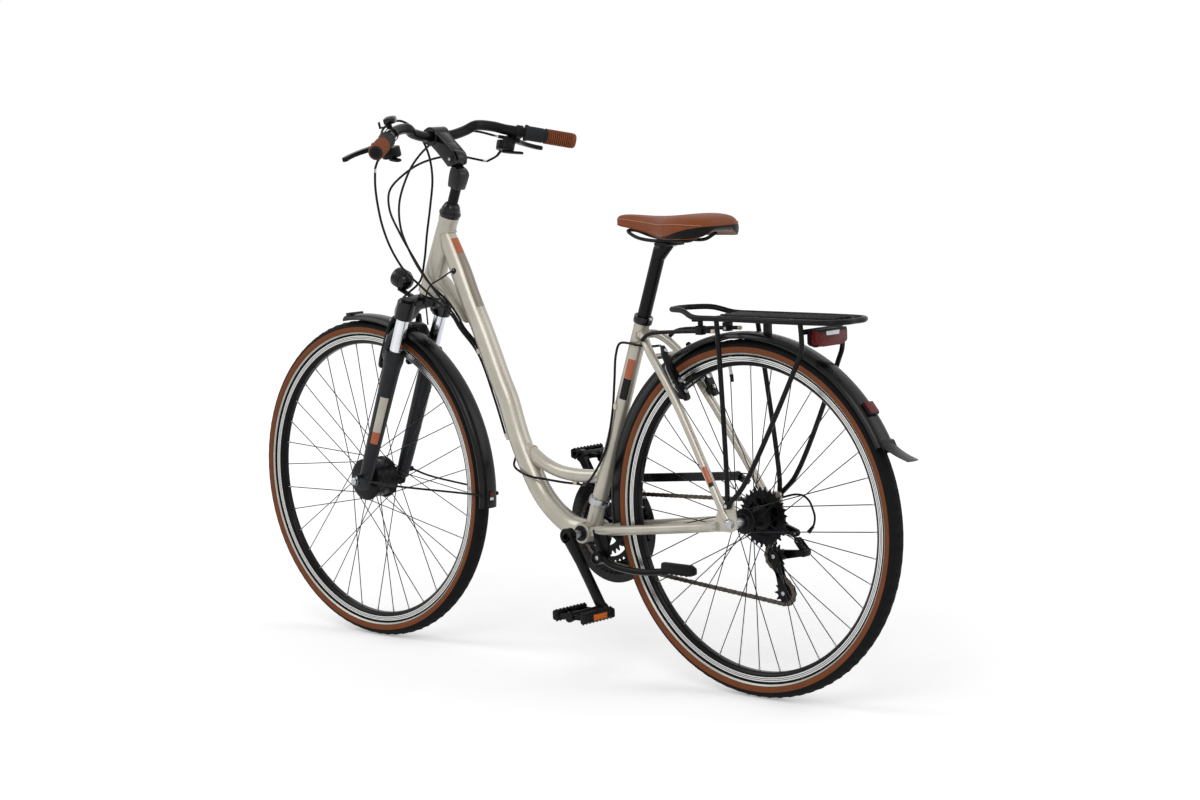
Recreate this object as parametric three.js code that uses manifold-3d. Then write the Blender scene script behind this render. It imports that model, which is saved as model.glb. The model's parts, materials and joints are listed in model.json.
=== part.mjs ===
// A step-through trekking bicycle in millimetres: +X forward, +Y to the rider's left, +Z up, wheels on Z = 0.
import * as THREE from "three";
import { mergeVertices } from "three/addons/utils/BufferGeometryUtils.js";
import Module from "manifold-3d";

const wasm = await Module();
wasm.setup();

// Driving dimensions of the whole bicycle
const wheelbase = 1088;
const wheelRadius = 349;
const tyreWidth = 40;
const rimRadius = 317.4;
const rimDepth = 19.4;
const rimWidth = 24;
const rimLip = 6;
const headAngle = 68;
const seatAngle = 69.9;
const forkOffset = 36;
const bracketAhead = 434;
const bracketDrop = 61;
const headTubeRise = 462;
const headTubeLength = 176;
const seatTubeLength = 472.4;
const rearHubWidth = 135;
const frontHubWidth = 100;
const crankLength = 170;
const chainPitch = 12.7;
const chainLine = 50;
const barHalfWidth = 290;
const saddleLength = 270;
const saddleWidth = 158;
const flapReach = 385;
const clearance = 0.3;
const runningGap = 0.5;
const overrun = 2;

// Facets of round work
const wireSides = 6;
const barSides = 8;
const tubeSides = 10;
const roundSides = 12;
const wheelSides = 32;

// Colours of the materials
const finishes = {
  champagne: [0xb5ab98, 0.35, 0.3],
  black: [0x16161a, 0.35, 0.2],
  satin: [0x232327, 0.6, 0.1],
  anthracite: [0x3c3e43, 0.4, 0.4],
  rubber: [0x1b1b1c, 0.9, 0],
  silver: [0xb9bbbd, 0.3, 0.9],
  chrome: [0xd7d9dc, 0.12, 1],
  brown: [0x7c4a36, 0.6, 0],
  red: [0x9c1410, 0.2, 0],
  chainMetal: [0x6d665c, 0.4, 0.8],
  lens: [0xdadfe2, 0.1, 0],
};
const materials = {};
for (const [name, [color, roughness, metalness]] of Object.entries(finishes)) {
  materials[name] = new THREE.MeshStandardMaterial({ name, color, roughness, metalness });
}

// Geometry helpers
const weldGap = 0.001;
const at = (x, y, z) => new THREE.Vector3(x, y, z);
const radians = THREE.MathUtils.degToRad;
const rightAngle = 90;

function solidOf(geometry) {
  const bare = geometry.index ? geometry.toNonIndexed() : geometry.clone();
  for (const name of Object.keys(bare.attributes)) {
    if (name !== "position") bare.deleteAttribute(name);
  }
  const merged = mergeVertices(bare, weldGap);
  const corners = merged.index.array;
  const kept = [];
  for (let i = 0; i < corners.length; i += 3) {
    const [a, b, c] = [corners[i], corners[i + 1], corners[i + 2]];
    if (a !== b && b !== c && c !== a) kept.push(a, b, c);
  }
  const vertProperties = merged.attributes.position.array;
  const outward = new wasm.Manifold(
    new wasm.Mesh({ numProp: 3, vertProperties, triVerts: new Uint32Array(kept) }),
  );
  if (outward.volume() > 0) return outward;
  for (let i = 0; i < kept.length; i += 3) [kept[i], kept[i + 1]] = [kept[i + 1], kept[i]];
  return new wasm.Manifold(
    new wasm.Mesh({ numProp: 3, vertProperties, triVerts: new Uint32Array(kept) }),
  );
}

function geometryOf(solid) {
  const { numProp, vertProperties, triVerts } = solid.getMesh();
  const positions = new Float32Array((vertProperties.length / numProp) * 3);
  for (let i = 0; i < positions.length / 3; i += 1) {
    positions.set(vertProperties.subarray(i * numProp, i * numProp + 3), i * 3);
  }
  const geometry = new THREE.BufferGeometry();
  geometry.setAttribute("position", new THREE.BufferAttribute(positions, 3));
  geometry.setIndex(new THREE.BufferAttribute(new Uint32Array(triVerts), 1));
  geometry.computeVertexNormals();
  return geometry;
}

function join(...pieces) {
  const [first, ...rest] = pieces.flat(2);
  return geometryOf(rest.reduce((whole, piece) => whole.add(solidOf(piece)), solidOf(first)));
}

function cut(piece, ...tools) {
  return geometryOf(
    tools.flat(2).reduce((whole, tool) => whole.subtract(solidOf(tool)), solidOf(piece)),
  );
}

function moved(geometry, x, y, z) {
  return geometry.clone().translate(x, y, z);
}

function mirrored(geometry) {
  return geometryOf(solidOf(geometry.clone().scale(1, -1, 1)));
}

function bothSides(geometry) {
  return [geometry, mirrored(geometry)];
}

// A round bar from one point to another, tapered where the second radius differs
function rod(from, to, radius, endRadius = radius, sides = tubeSides) {
  const run = to.clone().sub(from);
  const bar = new THREE.CylinderGeometry(endRadius, radius, run.length(), sides);
  const turn = new THREE.Quaternion().setFromUnitVectors(at(0, 1, 0), run.clone().normalize());
  bar.applyQuaternion(turn);
  const middle = from.clone().add(to).multiplyScalar(1 / 2);
  return bar.translate(middle.x, middle.y, middle.z);
}

function roundSection(radius, sides) {
  const corners = [];
  for (let i = 0; i < sides; i += 1) {
    const angle = (i * 2 * Math.PI) / sides;
    corners.push(new THREE.Vector2(radius * Math.cos(angle), radius * Math.sin(angle)));
  }
  return new THREE.Shape(corners);
}

// A bent tube through hand-set points
function tube(points, radius, steps, sides = tubeSides) {
  const extrudePath = new THREE.CatmullRomCurve3(points, false, "centripetal");
  const section = roundSection(radius, sides);
  return new THREE.ExtrudeGeometry(section, { steps, bevelEnabled: false, extrudePath });
}

// A form turned about the Y axis, from [radius, y] pairs
function turned(profile, sides = tubeSides) {
  const outline = profile.map(([radius, y]) => new THREE.Vector2(radius, y));
  return new THREE.LatheGeometry(outline, sides);
}

// The radius of a many-sided bore that clears a round piece
function boreFor(radius, sides = tubeSides) {
  return (radius + clearance) / Math.cos(Math.PI / sides);
}

function ring(outer, inner, y1, y2, sides = tubeSides) {
  return turned([[inner, y1], [outer, y1], [outer, y2], [inner, y2], [inner, y1]], sides);
}

function disc(radius, y1, y2, sides = tubeSides) {
  return turned([[0, y1], [radius, y1], [radius, y2], [0, y2]], sides);
}

function box(from, to) {
  const size = to.clone().sub(from);
  const block = new THREE.BoxGeometry(Math.abs(size.x), Math.abs(size.y), Math.abs(size.z));
  const middle = from.clone().add(to).multiplyScalar(1 / 2);
  return block.translate(middle.x, middle.y, middle.z);
}

// A plate standing in the XZ plane, from [x, z] corners, between two values of y
function sidePlate(outline, y1, y2) {
  const shape = new THREE.Shape(outline.map(([x, z]) => new THREE.Vector2(x, z)));
  const depth = Math.abs(y2 - y1);
  const plate = new THREE.ExtrudeGeometry(shape, { depth, bevelEnabled: false });
  return plate.rotateX(Math.PI / 2).translate(0, Math.max(y1, y2), 0);
}

// A plate standing in the YZ plane, from [y, z] corners, between two values of x
function crossPlate(outline, x1, x2) {
  const shape = new THREE.Shape(outline.map(([y, z]) => new THREE.Vector2(y, z)));
  const depth = Math.abs(x2 - x1);
  const plate = new THREE.ExtrudeGeometry(shape, { depth, bevelEnabled: false });
  return plate.rotateX(Math.PI / 2).rotateZ(Math.PI / 2).translate(Math.min(x1, x2), 0, 0);
}

// A skin over rings of equal count; the first and last ring are closed by flat or fanned faces
function loft(rings) {
  const count = rings[0].length;
  const positions = [];
  const face = (...corners) => corners.forEach((p) => positions.push(p.x, p.y, p.z));
  for (let i = 0; i + 1 < rings.length; i += 1) {
    for (let j = 0; j < count; j += 1) {
      const k = (j + 1) % count;
      face(rings[i][j], rings[i][k], rings[i + 1][k]);
      face(rings[i][j], rings[i + 1][k], rings[i + 1][j]);
    }
  }
  const faces = [];
  for (let j = 0; j + 1 < count / 2; j += 1) {
    const [a, b, c, d] = [j, j + 1, count - 2 - j, count - 1 - j];
    faces.push([a, b, d]);
    if (b !== c) faces.push([b, c, d]);
  }
  const [first, last] = [rings[0], rings[rings.length - 1]];
  for (const [a, b, c] of faces) {
    face(first[c], first[b], first[a]);
    face(last[a], last[b], last[c]);
  }
  const geometry = new THREE.BufferGeometry();
  geometry.setAttribute("position", new THREE.Float32BufferAttribute(positions, 3));
  return geometry;
}

// Points, outlines and blocks from tables of shares of one size
function placed(shares, size, origin = at(0, 0, 0)) {
  return shares.map(([x, y, z]) => at(x, y, z).multiplyScalar(size).add(origin));
}

function sized(shares, size, x = 0, z = 0) {
  return shares.map(([a, b]) => [x + size * a, z + size * b]);
}

function block(shares, size, origin) {
  const [from, to] = placed(shares, size, origin);
  return box(from, to);
}

// A foot with its long side across, standing on a point along a normal in the XZ plane
function pad(foot, normal, height, long, wide) {
  const basis = new THREE.Matrix4().makeBasis(normal, at(0, 1, 0), normal.clone().cross(at(0, 1, 0)));
  const body = new THREE.BoxGeometry(height, wide, long).translate(height / 2, 0, 0);
  return body.applyMatrix4(basis.setPosition(foot));
}

const bicycle = new THREE.Group();
bicycle.position.x = -(wheelbase + wheelRadius - flapReach) / 2;

function add(group, name, geometry, finish) {
  const mesh = new THREE.Mesh(geometryOf(solidOf(geometry)), materials[finish]);
  mesh.name = name;
  group.add(mesh);
  return mesh;
}

// Main points: axles, bottom bracket and the steering and seat tube axes
const axle = at(0, 0, wheelRadius);
const bracket = at(bracketAhead, 0, wheelRadius - bracketDrop);
const headUp = at(-Math.cos(radians(headAngle)), 0, Math.sin(radians(headAngle)));
const headForward = at(Math.sin(radians(headAngle)), 0, Math.cos(radians(headAngle)));
const steerFoot = at(wheelbase, 0, wheelRadius).addScaledVector(headForward, -forkOffset);
const seatUp = at(-Math.cos(radians(seatAngle)), 0, Math.sin(radians(seatAngle)));
const onSeat = (distance) => bracket.clone().addScaledVector(seatUp, distance);

// The steering frame: its origin is the steering axis's nearest point to the front axle, its Z the axis
const steering = new THREE.Group();
steering.position.copy(steerFoot);
steering.rotation.y = -radians(rightAngle - headAngle);
bicycle.add(steering);
const toSteering = new THREE.Matrix4()
  .compose(
    steerFoot,
    new THREE.Quaternion().setFromAxisAngle(at(0, 1, 0), -radians(rightAngle - headAngle)),
    at(1, 1, 1),
  );
const steerPoint = (x, y, z) => at(x, y, z).applyMatrix4(toSteering);

// Wheels: spoke pattern shared by both hubs
const spokesPerSide = 18;
const spokeRadius = 1.1;
const spokeStagger = 2.3;
const spokeLean = 62;
const spokeInset = 3;
const spokeSides = 3;

function spokes(flangeRadius, flangeY) {
  const rimInner = (rimRadius - rimDepth) * Math.cos(Math.PI / wheelSides) - clearance;
  const made = [];
  for (let i = 0; i < spokesPerSide; i += 1) {
    const lean = i % 2 ? spokeLean : -spokeLean;
    const side = Math.sign(flangeY);
    const rimTurn = ((i + (side > 0 ? 0 : 1 / 2)) * 2 * Math.PI) / spokesPerSide;
    const hubTurn = rimTurn + radians(lean);
    const y = flangeY + (i % 2 ? spokeStagger : -spokeStagger);
    const hubR = flangeRadius - spokeInset;
    const from = at(hubR * Math.cos(hubTurn), y, hubR * Math.sin(hubTurn));
    const to = at(rimInner * Math.cos(rimTurn), 0, rimInner * Math.sin(rimTurn));
    made.push(rod(from, to, spokeRadius, spokeRadius, spokeSides));
  }
  return made;
}

const tyreSectionShares = [[0, 0.52], [0.26, 0.92], [0.52, 1], [0.84, 0.7], [1, 0]];

function tyre() {
  const foot = rimRadius + clearance;
  const height = wheelRadius - foot;
  const half = tyreWidth / 2;
  const side = tyreSectionShares.map(([up, out]) => [foot + height * up, half * out]);
  const other = side.slice(0, -1).reverse().map(([radius, y]) => [radius, -y]);
  const profile = [...side, ...other, side[0]];
  return turned(profile, wheelSides);
}

function rim() {
  const inner = rimRadius - rimDepth;
  const half = rimWidth / 2;
  const side = [[inner, half / 2], [inner + rimLip, half], [rimRadius, half]];
  const other = side.slice().reverse().map(([radius, y]) => [radius, -y]);
  return turned([...side, ...other, side[0]], wheelSides);
}

// Rear hub, freewheel cassette and axle
const rearFlangeRadius = 25;
const rearFlangeLeft = 32;
const rearFlangeRight = 19;
const hubBarrelRadius = 15;
const flangeThick = 6;
const axleRadius = 5;
const axleBore = 7;
const hubCapReach = 40;
const lockNutRadius = 10;
const dropoutThick = 6;
const axleNutRadius = 9;
const axleNutLength = 8;
const cassetteSpace = 13;
const rearDropoutY = rearHubWidth / 2;

function rearHub() {
  const right = -rearFlangeRight;
  const left = rearFlangeLeft;
  const profile = [
    [axleBore, right - flangeThick / 2],
    [rearFlangeRadius, right - flangeThick / 2],
    [rearFlangeRadius, right + flangeThick / 2],
    [hubBarrelRadius, right + flangeThick],
    [hubBarrelRadius, left - flangeThick],
    [rearFlangeRadius, left - flangeThick / 2],
    [rearFlangeRadius, left + flangeThick / 2],
    [hubBarrelRadius, left + flangeThick],
    [axleBore, hubCapReach],
    [axleBore, right - flangeThick / 2],
  ];
  return join(turned(profile), spokes(rearFlangeRadius, left), spokes(rearFlangeRadius, right));
}

function wheelAxle(dropoutY, coneLeft, coneRight) {
  const end = dropoutY + dropoutThick + axleNutLength;
  const seat = dropoutY - clearance;
  const outside = dropoutY + dropoutThick + clearance;
  return turned([
    [0, -end],
    [axleNutRadius, -end],
    [axleNutRadius, -outside],
    [axleRadius, -outside],
    [axleRadius, -seat],
    [lockNutRadius, -seat],
    [lockNutRadius, -coneRight],
    [axleRadius, -coneRight],
    [axleRadius, coneLeft],
    [lockNutRadius, coneLeft],
    [lockNutRadius, seat],
    [axleRadius, seat],
    [axleRadius, outside],
    [axleNutRadius, outside],
    [axleNutRadius, end],
    [0, end],
  ], barSides);
}

// Sprockets and chainrings share one tooth form: pitch circle from the chain pitch
const toothHeight = 3.4;
const rootDepth = 4.8;
const toothShares = [-0.22, 0.22, 0.38, 0.62];
const plainToothShares = [0, 0.5];
const pitchRadius = (teeth) => chainPitch / (2 * Math.sin(Math.PI / teeth));

function sprocket(teeth, boreRadius, y1, y2, full = true, phase = 0) {
  const pitch = pitchRadius(teeth);
  const shares = full ? toothShares : plainToothShares;
  const outline = [];
  for (let i = 0; i < teeth; i += 1) {
    shares.forEach((share, corner) => {
      const high = corner >= shares.length / 2;
      const angle = phase + ((i + share) * 2 * Math.PI) / teeth;
      const radius = pitch + (high ? toothHeight : -rootDepth);
      outline.push(new THREE.Vector2(radius * Math.cos(angle), radius * Math.sin(angle)));
    });
  }
  const shape = new THREE.Shape(outline);
  shape.holes.push(new THREE.Path(roundSection(boreRadius, barSides).getPoints().reverse()));
  const depth = Math.abs(y2 - y1);
  const plate = new THREE.ExtrudeGeometry(shape, { depth, bevelEnabled: false });
  return plate.rotateX(Math.PI / 2).translate(0, Math.max(y1, y2), 0);
}

// The chain's route: round the middle ring, the lower and upper jockey wheel and one cog of the cassette
const ringTeeth = [48, 36, 26];
const chainRing = 1;
const cassetteTeeth = [28, 24, 21, 18, 16, 14, 12, 11];
const chainCog = 5;
const jockeyTeeth = 11;
const jockeyUpperBack = 7;
const jockeyUpperDrop = 79.5;
const jockeyLowerBack = 29;
const jockeyLowerDrop = 150.3;
const routeSteps = 4;
const jockeyUpper = at(-jockeyUpperBack, -chainLine, wheelRadius - jockeyUpperDrop);
const jockeyLower = at(-jockeyLowerBack, -chainLine, wheelRadius - jockeyLowerDrop);

function chainRoute() {
  const stops = [
    { centre: bracket, radius: pitchRadius(ringTeeth[chainRing]), turn: 1 },
    { centre: jockeyLower, radius: pitchRadius(jockeyTeeth), turn: 1 },
    { centre: jockeyUpper, radius: pitchRadius(jockeyTeeth), turn: -1 },
    { centre: axle, radius: pitchRadius(cassetteTeeth[chainCog]), turn: 1 },
  ];
  const tangents = stops.map((a, i) => {
    const b = stops[(i + 1) % stops.length];
    const [dx, dz] = [b.centre.x - a.centre.x, b.centre.z - a.centre.z];
    const lean = Math.asin((b.turn * b.radius - a.turn * a.radius) / Math.hypot(dx, dz));
    const along = Math.atan2(dz, dx) + lean;
    const side = (c) => [
      c.centre.x - c.turn * c.radius * Math.sin(along),
      c.centre.z + c.turn * c.radius * Math.cos(along),
    ];
    return { from: side(a), to: side(b) };
  });
  const path = [];
  const arcs = [];
  stops.forEach(({ centre, radius, turn }, i) => {
    const before = tangents[(i + stops.length - 1) % stops.length].to;
    const after = tangents[i].from;
    const start = Math.atan2(before[1] - centre.z, before[0] - centre.x);
    let end = Math.atan2(after[1] - centre.z, after[0] - centre.x);
    if ((end - start) * turn > 0) end -= turn * 2 * Math.PI;
    arcs.push({ start, turn, radius, first: path.length });
    const count = Math.ceil((Math.abs(end - start) * radius * routeSteps) / chainPitch);
    for (let k = 0; k <= count; k += 1) {
      const angle = start + ((end - start) * k) / count;
      const [x, z] = [centre.x + radius * Math.cos(angle), centre.z + radius * Math.sin(angle)];
      path.push(at(x, -chainLine, z));
    }
  });
  path.push(path[0].clone());
  const lengths = [0];
  for (let i = 1; i < path.length; i += 1) {
    lengths.push(lengths[i - 1] + path[i].distanceTo(path[i - 1]));
  }
  return { path, arcs, lengths, total: lengths[lengths.length - 1] };
}

const route = chainRoute();
const chainLinks = 2 * Math.round(route.total / chainPitch / 2);
const pinStep = route.total / chainLinks;

function onRoute(distance) {
  const { path, lengths, total } = route;
  const wanted = ((distance % total) + total) % total;
  let i = 1;
  while (lengths[i] < wanted) i += 1;
  const share = (wanted - lengths[i - 1]) / (lengths[i] - lengths[i - 1]);
  return path[i - 1].clone().lerp(path[i], share);
}

// The angle of the first pin on a wheel's arc, where its teeth leave a gap
function pinPhase(stop) {
  const { start, turn, radius, first } = route.arcs[stop];
  const begin = route.lengths[first];
  const along = Math.ceil(begin / pinStep) * pinStep - begin;
  return start - (turn * along) / radius;
}

const cogSpacing = 5;
const cogThick = 1.8;
const freehubRadius = 17;
const freehubBore = 8;

function cassette() {
  const cogs = cassetteTeeth.map((teeth, i) => {
    const y = -chainLine + (chainCog - i) * cogSpacing;
    const full = i === chainCog;
    const phase = full ? pinPhase(3) : 0;
    return sprocket(teeth, freehubRadius - runningGap, y - cogThick / 2, y + cogThick / 2, full, phase);
  });
  const first = -chainLine + (chainCog + 1 / 5) * cogSpacing;
  const last = -chainLine - (cassetteTeeth.length - 1 - chainCog + 1 / 3) * cogSpacing;
  return join(ring(freehubRadius, freehubBore, last, first, barSides), cogs);
}

const rearWheel = new THREE.Group();
rearWheel.position.copy(axle);
bicycle.add(rearWheel);
add(rearWheel, "rear_tyre", tyre(), "rubber");
add(rearWheel, "rear_rim", rim(), "silver");
add(rearWheel, "rear_hub", rearHub(), "black");
const rearCone = hubCapReach + runningGap;
add(rearWheel, "rear_axle", wheelAxle(rearDropoutY, rearCone, chainLine + cassetteSpace), "silver");
add(rearWheel, "cassette", cassette(), "satin");

// Front wheel with a hub dynamo
const dynamoRadius = 46;
const dynamoHalf = 31;
const dynamoChamfer = 6;
const frontLegInner = frontHubWidth / 2;

function frontHub() {
  const waist = dynamoRadius - dynamoChamfer;
  const profile = [
    [axleBore, -dynamoHalf],
    [waist, -dynamoHalf],
    [dynamoRadius, -dynamoHalf + dynamoChamfer / 2],
    [dynamoRadius, -dynamoHalf + dynamoChamfer],
    [waist, -dynamoHalf + 2 * dynamoChamfer],
    [waist, dynamoHalf - 2 * dynamoChamfer],
    [dynamoRadius, dynamoHalf - dynamoChamfer],
    [dynamoRadius, dynamoHalf - dynamoChamfer / 2],
    [waist, dynamoHalf],
    [axleBore, dynamoHalf],
    [axleBore, -dynamoHalf],
  ];
  const flangeY = dynamoHalf - (3 * dynamoChamfer) / 4;
  return join(turned(profile, tubeSides), spokes(dynamoRadius, flangeY), spokes(dynamoRadius, -flangeY));
}

const frontWheel = new THREE.Group();
frontWheel.position.set(forkOffset, 0, 0);
steering.add(frontWheel);
const frontCone = dynamoHalf + runningGap;
add(frontWheel, "front_tyre", tyre(), "rubber");
add(frontWheel, "front_rim", rim(), "silver");
add(frontWheel, "front_hub", frontHub(), "black");
add(frontWheel, "front_axle", wheelAxle(frontLegInner, frontCone, frontCone), "silver");

// Frame: head tube, curved down tube, short second tube, seat tube, bottom bracket shell, stays and dropouts
const headRadiusTop = 20.5;
const headRadiusBottom = 25;
const headBore = 17.5;
const headRingLength = 9;
const headRingWall = 3;
const downTubeRadius = 22.5;
const downTubeRun = 395;
const downTubeRise = 606;
const downTubeShares = [
  [0, 0], [0.137, 0.011], [0.256, 0.055], [0.346, 0.111], [0.427, 0.194], [0.51, 0.306],
  [0.576, 0.427], [0.62, 0.484], [0.748, 0.665], [0.822, 0.759], [0.9, 0.872], [0.995, 0.997],
];
const shortTubeRadius = 14;
const shortTubeStart = 122.5;
const shortTubeRun = 225;
const shortTubeRise = 33;
const shortTubeShares = [[0, 0], [0.33, -0.08], [0.56, 0.05], [0.75, 0.46], [0.93, 1.17], [1.03, 1.5]];
const strutWidth = 30;
const strutSpan = 118;
const strutOutlineShares = [
  [0, 0.42], [-0.16, 0.42], [-0.42, 0.24], [-0.78, -0.2], [-0.98, -0.52], [-0.78, -0.42],
  [-0.42, 0.02], [-0.14, 0.18], [0, 0.18],
];
const seatTubeRadius = 15.9;
const seatPostRadius = 13.6;
const seatPostBore = boreFor(seatPostRadius, roundSides);
const seatBoreDepth = 250;
const shellRadius = 21;
const shellHalf = 34;
const shellBore = 16;
const seatstayRadius = 8.5;
const seatstayTop = 438;
const seatstayShares = [
  [0.98, 0.99, 0.1], [0.905, 0.991, 0.29], [0.781, 0.903, 0.57], [0.544, 0.658, 0.69],
  [0.07, 0.066, 0.99], [0.03, 0.02, 1],
];
const chainstayRadius = 10;
const chainstayShares = [
  [0.977, 0.984, 0.28], [0.896, 0.869, 0.385], [0.829, 0.803, 0.5], [0.691, 0.689, 0.63],
  [0.122, 0.18, 0.89], [0.069, 0.098, 1],
];
const dropoutSize = 60;
const dropoutShares = [
  [-0.25, -0.13], [-0.22, 0.17], [-0.13, 0.72], [0.17, 0.75], [0.5, 0.5], [0.66, 0.1],
  [0.95, -0.1], [0.9, -0.32], [0.33, -0.27], [0, -0.27],
];
const hangerDrop = 29;
const hangerBack = 8;
const hangerRadius = 9;
const bridgeRadius = 6;
const bridgeShares = [0.753, 0.882, 0.62];
const bossRadius = 5;
const seatBossShares = [0.544, 0.658, 0.69];
const seatBossLength = 30;
const seatBossY = 42;
const standPlateThick = 6;
const standPlateY = 30;
const standPivotBack = 61;
const standPivotDrop = 43;
const standPivotY = 45;
const standPinRadius = 5;
const standTilt = at(-0.126, 0.9886, 0.083).normalize();
const standPlateShares = [[-0.2, 0.9], [0.45, 0.9], [0.3, 0.1], [0.16, -0.25], [-0.16, -0.25], [-0.3, 0.1]];
const clipUpperShares = [0.705, 0.604];
const clipLowerShares = [0.5135, 0.312];
const clipReach = 26;
const clipLong = 10;
const clipWide = 26;
const rackEyeletX = 2.5;
const rackEyeletZ = 36;
const eyeletRadius = 7;
const eyeletBore = 2.7;

const stayEndY = rearDropoutY + dropoutThick / 2;
const seatstayRoot = onSeat(seatstayTop);
const stayPoint = ([x, z, y]) =>
  at(seatstayRoot.x * x, stayEndY * y, axle.z + (seatstayRoot.z - axle.z) * z);
const headTube = (distance) => steerPoint(0, 0, headTubeRise + distance);
const standPivot = at(bracket.x - standPivotBack, standPivotY, bracket.z - standPivotDrop);
const hanger = at(-hangerBack, -stayEndY, axle.z - hangerDrop);

// The brake bosses stand behind the stays, square to them and to the bicycle's width
const stayLine = stayPoint(seatstayShares[3]).sub(stayPoint(seatstayShares[4])).setY(0).normalize();
const stayRear = at(-stayLine.z, 0, stayLine.x);
const seatBoss = stayPoint(seatBossShares).setY(seatBossY);

function frame() {
  const head = [
    rod(headTube(0), headTube(headTubeLength), headRadiusBottom, headRadiusTop, roundSides),
    rod(headTube(0), headTube(headRingLength), headRadiusBottom + headRingWall, headRadiusBottom + 1, roundSides),
  ];
  const down = tube(downTubeShares.map(([run, rise]) =>
    at(bracket.x + downTubeRun * run, 0, bracket.z + downTubeRise * rise)), downTubeRadius, roundSides, tubeSides);
  const seat = rod(bracket, onSeat(seatTubeLength), seatTubeRadius, seatTubeRadius, roundSides);
  const shell = ring(shellRadius, shellBore, -shellHalf, shellHalf, roundSides);
  const shellBody = moved(shell, bracket.x, 0, bracket.z);
  const seatJoint = onSeat(shortTubeStart);
  const short = tube(shortTubeShares.map(([run, rise]) =>
    at(seatJoint.x + shortTubeRun * run, 0, seatJoint.z + shortTubeRise * rise)), shortTubeRadius, wireSides, barSides);
  const strut = sidePlate(strutOutlineShares.map(([x, z]) =>
    [headTube(0).x + strutSpan * x, headTube(0).z + strutSpan * z]), -strutWidth / 2, strutWidth / 2);
  const seatstay = tube(seatstayShares.map(stayPoint), seatstayRadius, barSides, wireSides);
  const chainstay = tube(chainstayShares.map(([x, z, y]) =>
    at(bracketAhead * x, stayEndY * y, axle.z - bracketDrop * z)), chainstayRadius, wireSides, wireSides);
  const dropout = sidePlate(dropoutShares.map(([x, z]) =>
    [dropoutSize * x, axle.z + dropoutSize * z]), rearDropoutY, rearDropoutY + dropoutThick);
  const boss = rod(seatBoss, seatBoss.clone().addScaledVector(stayRear, seatBossLength), bossRadius, bossRadius, wireSides);
  const bridge = stayPoint(bridgeShares);
  const brace = rod(bridge, bridge.clone().setY(-bridge.y), bridgeRadius, bridgeRadius, wireSides);
  const hangerPlate = sidePlate([
    [axle.x + hangerRadius, axle.z],
    [hanger.x + hangerRadius, hanger.z - hangerRadius / 2],
    [hanger.x, hanger.z - hangerRadius],
    [hanger.x - hangerRadius, hanger.z - hangerRadius / 2],
    [hanger.x - hangerRadius, axle.z],
  ], -rearDropoutY - dropoutThick, -rearDropoutY);
  const standPlate = sidePlate(standPlateShares.map(([x, z]) =>
    [standPivot.x + dropoutSize * x, standPivot.z + dropoutSize * z]), standPlateY, standPlateY + standPlateThick);
  const standPin = rod(
    standPivot.clone().addScaledVector(standTilt, standPlateY - standPivotY),
    standPivot.clone().addScaledVector(standTilt, standPlateThick * 2),
    standPinRadius, standPinRadius, barSides,
  );
  const clipAt = ([run, rise]) => at(bracket.x + downTubeRun * run, 0, bracket.z + downTubeRise * rise);
  const upperClip = clipAt(clipUpperShares);
  const lowerClip = clipAt(clipLowerShares);
  const downLine = upperClip.clone().sub(lowerClip).normalize();
  const underside = at(downLine.z, 0, -downLine.x);
  const clips = [upperClip, lowerClip].map((foot) => pad(foot, underside, clipReach, clipLong, clipWide));
  const whole = join(head, down, seat, short, strut, bothSides(seatstay), bothSides(chainstay), clips,
    bothSides(dropout), bothSides(boss), brace, hangerPlate, standPlate, standPin, shellBody);
  const bores = [
    rod(headTube(-overrun), headTube(headTubeLength + overrun), headBore, headBore, roundSides),
    rod(onSeat(seatTubeLength - seatBoreDepth), onSeat(seatTubeLength + overrun),
      seatPostBore, seatPostBore, roundSides),
    moved(disc(shellBore, -shellHalf - overrun, shellHalf + overrun, roundSides), bracket.x, 0, bracket.z),
    rod(at(0, -stayEndY - dropoutThick, axle.z), at(0, stayEndY + dropoutThick, axle.z),
      axleRadius + clearance, axleRadius + clearance, barSides),
    rod(hanger.clone().setY(hanger.y - dropoutThick), hanger.clone().setY(hanger.y + dropoutThick),
      eyeletRadius / 2 + clearance, eyeletRadius / 2 + clearance, barSides),
    bothSides(rod(at(rackEyeletX, rearDropoutY - overrun, axle.z + rackEyeletZ),
      at(rackEyeletX, rearDropoutY + dropoutThick + overrun, axle.z + rackEyeletZ), eyeletBore, eyeletBore, wireSides)),
  ];
  return cut(whole, bores);
}

add(bicycle, "frame", frame(), "champagne");

// Headset cups, quill stem and the bearing at the crown
const cupRadius = 24;
const upperCupHeight = 30;
const crownLap = 4;
const steererRadius = 14.3;
const steererBore = 11.6;
const quillRadius = 11.1;

// Turned about the steering axis, in the steering frame
function turnedUp(profile, sides = tubeSides) {
  return turned(profile, sides).rotateX(Math.PI / 2);
}

const headTop = headTubeRise + headTubeLength;

function upperHeadset() {
  const foot = headTop + clearance;
  const bore = steererRadius + runningGap;
  const step = upperCupHeight / 5;
  return turnedUp([
    [bore, foot],
    [headRadiusTop, foot],
    [cupRadius - clearance, foot + step],
    [headRadiusTop, foot + 2 * step],
    [headRadiusTop, foot + 3 * step],
    [quillRadius + 2 * runningGap, foot + upperCupHeight],
    [bore, foot + 3 * step],
    [bore, foot],
  ], roundSides);
}

add(steering, "headset_upper", upperHeadset(), "black");

// Bottom bracket cartridge: spindle bearings in the shell, with a cup on each side
const cupLip = 3;
const spindleRadius = 8.5;
const spindleBore = boreFor(spindleRadius, roundSides);

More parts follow.
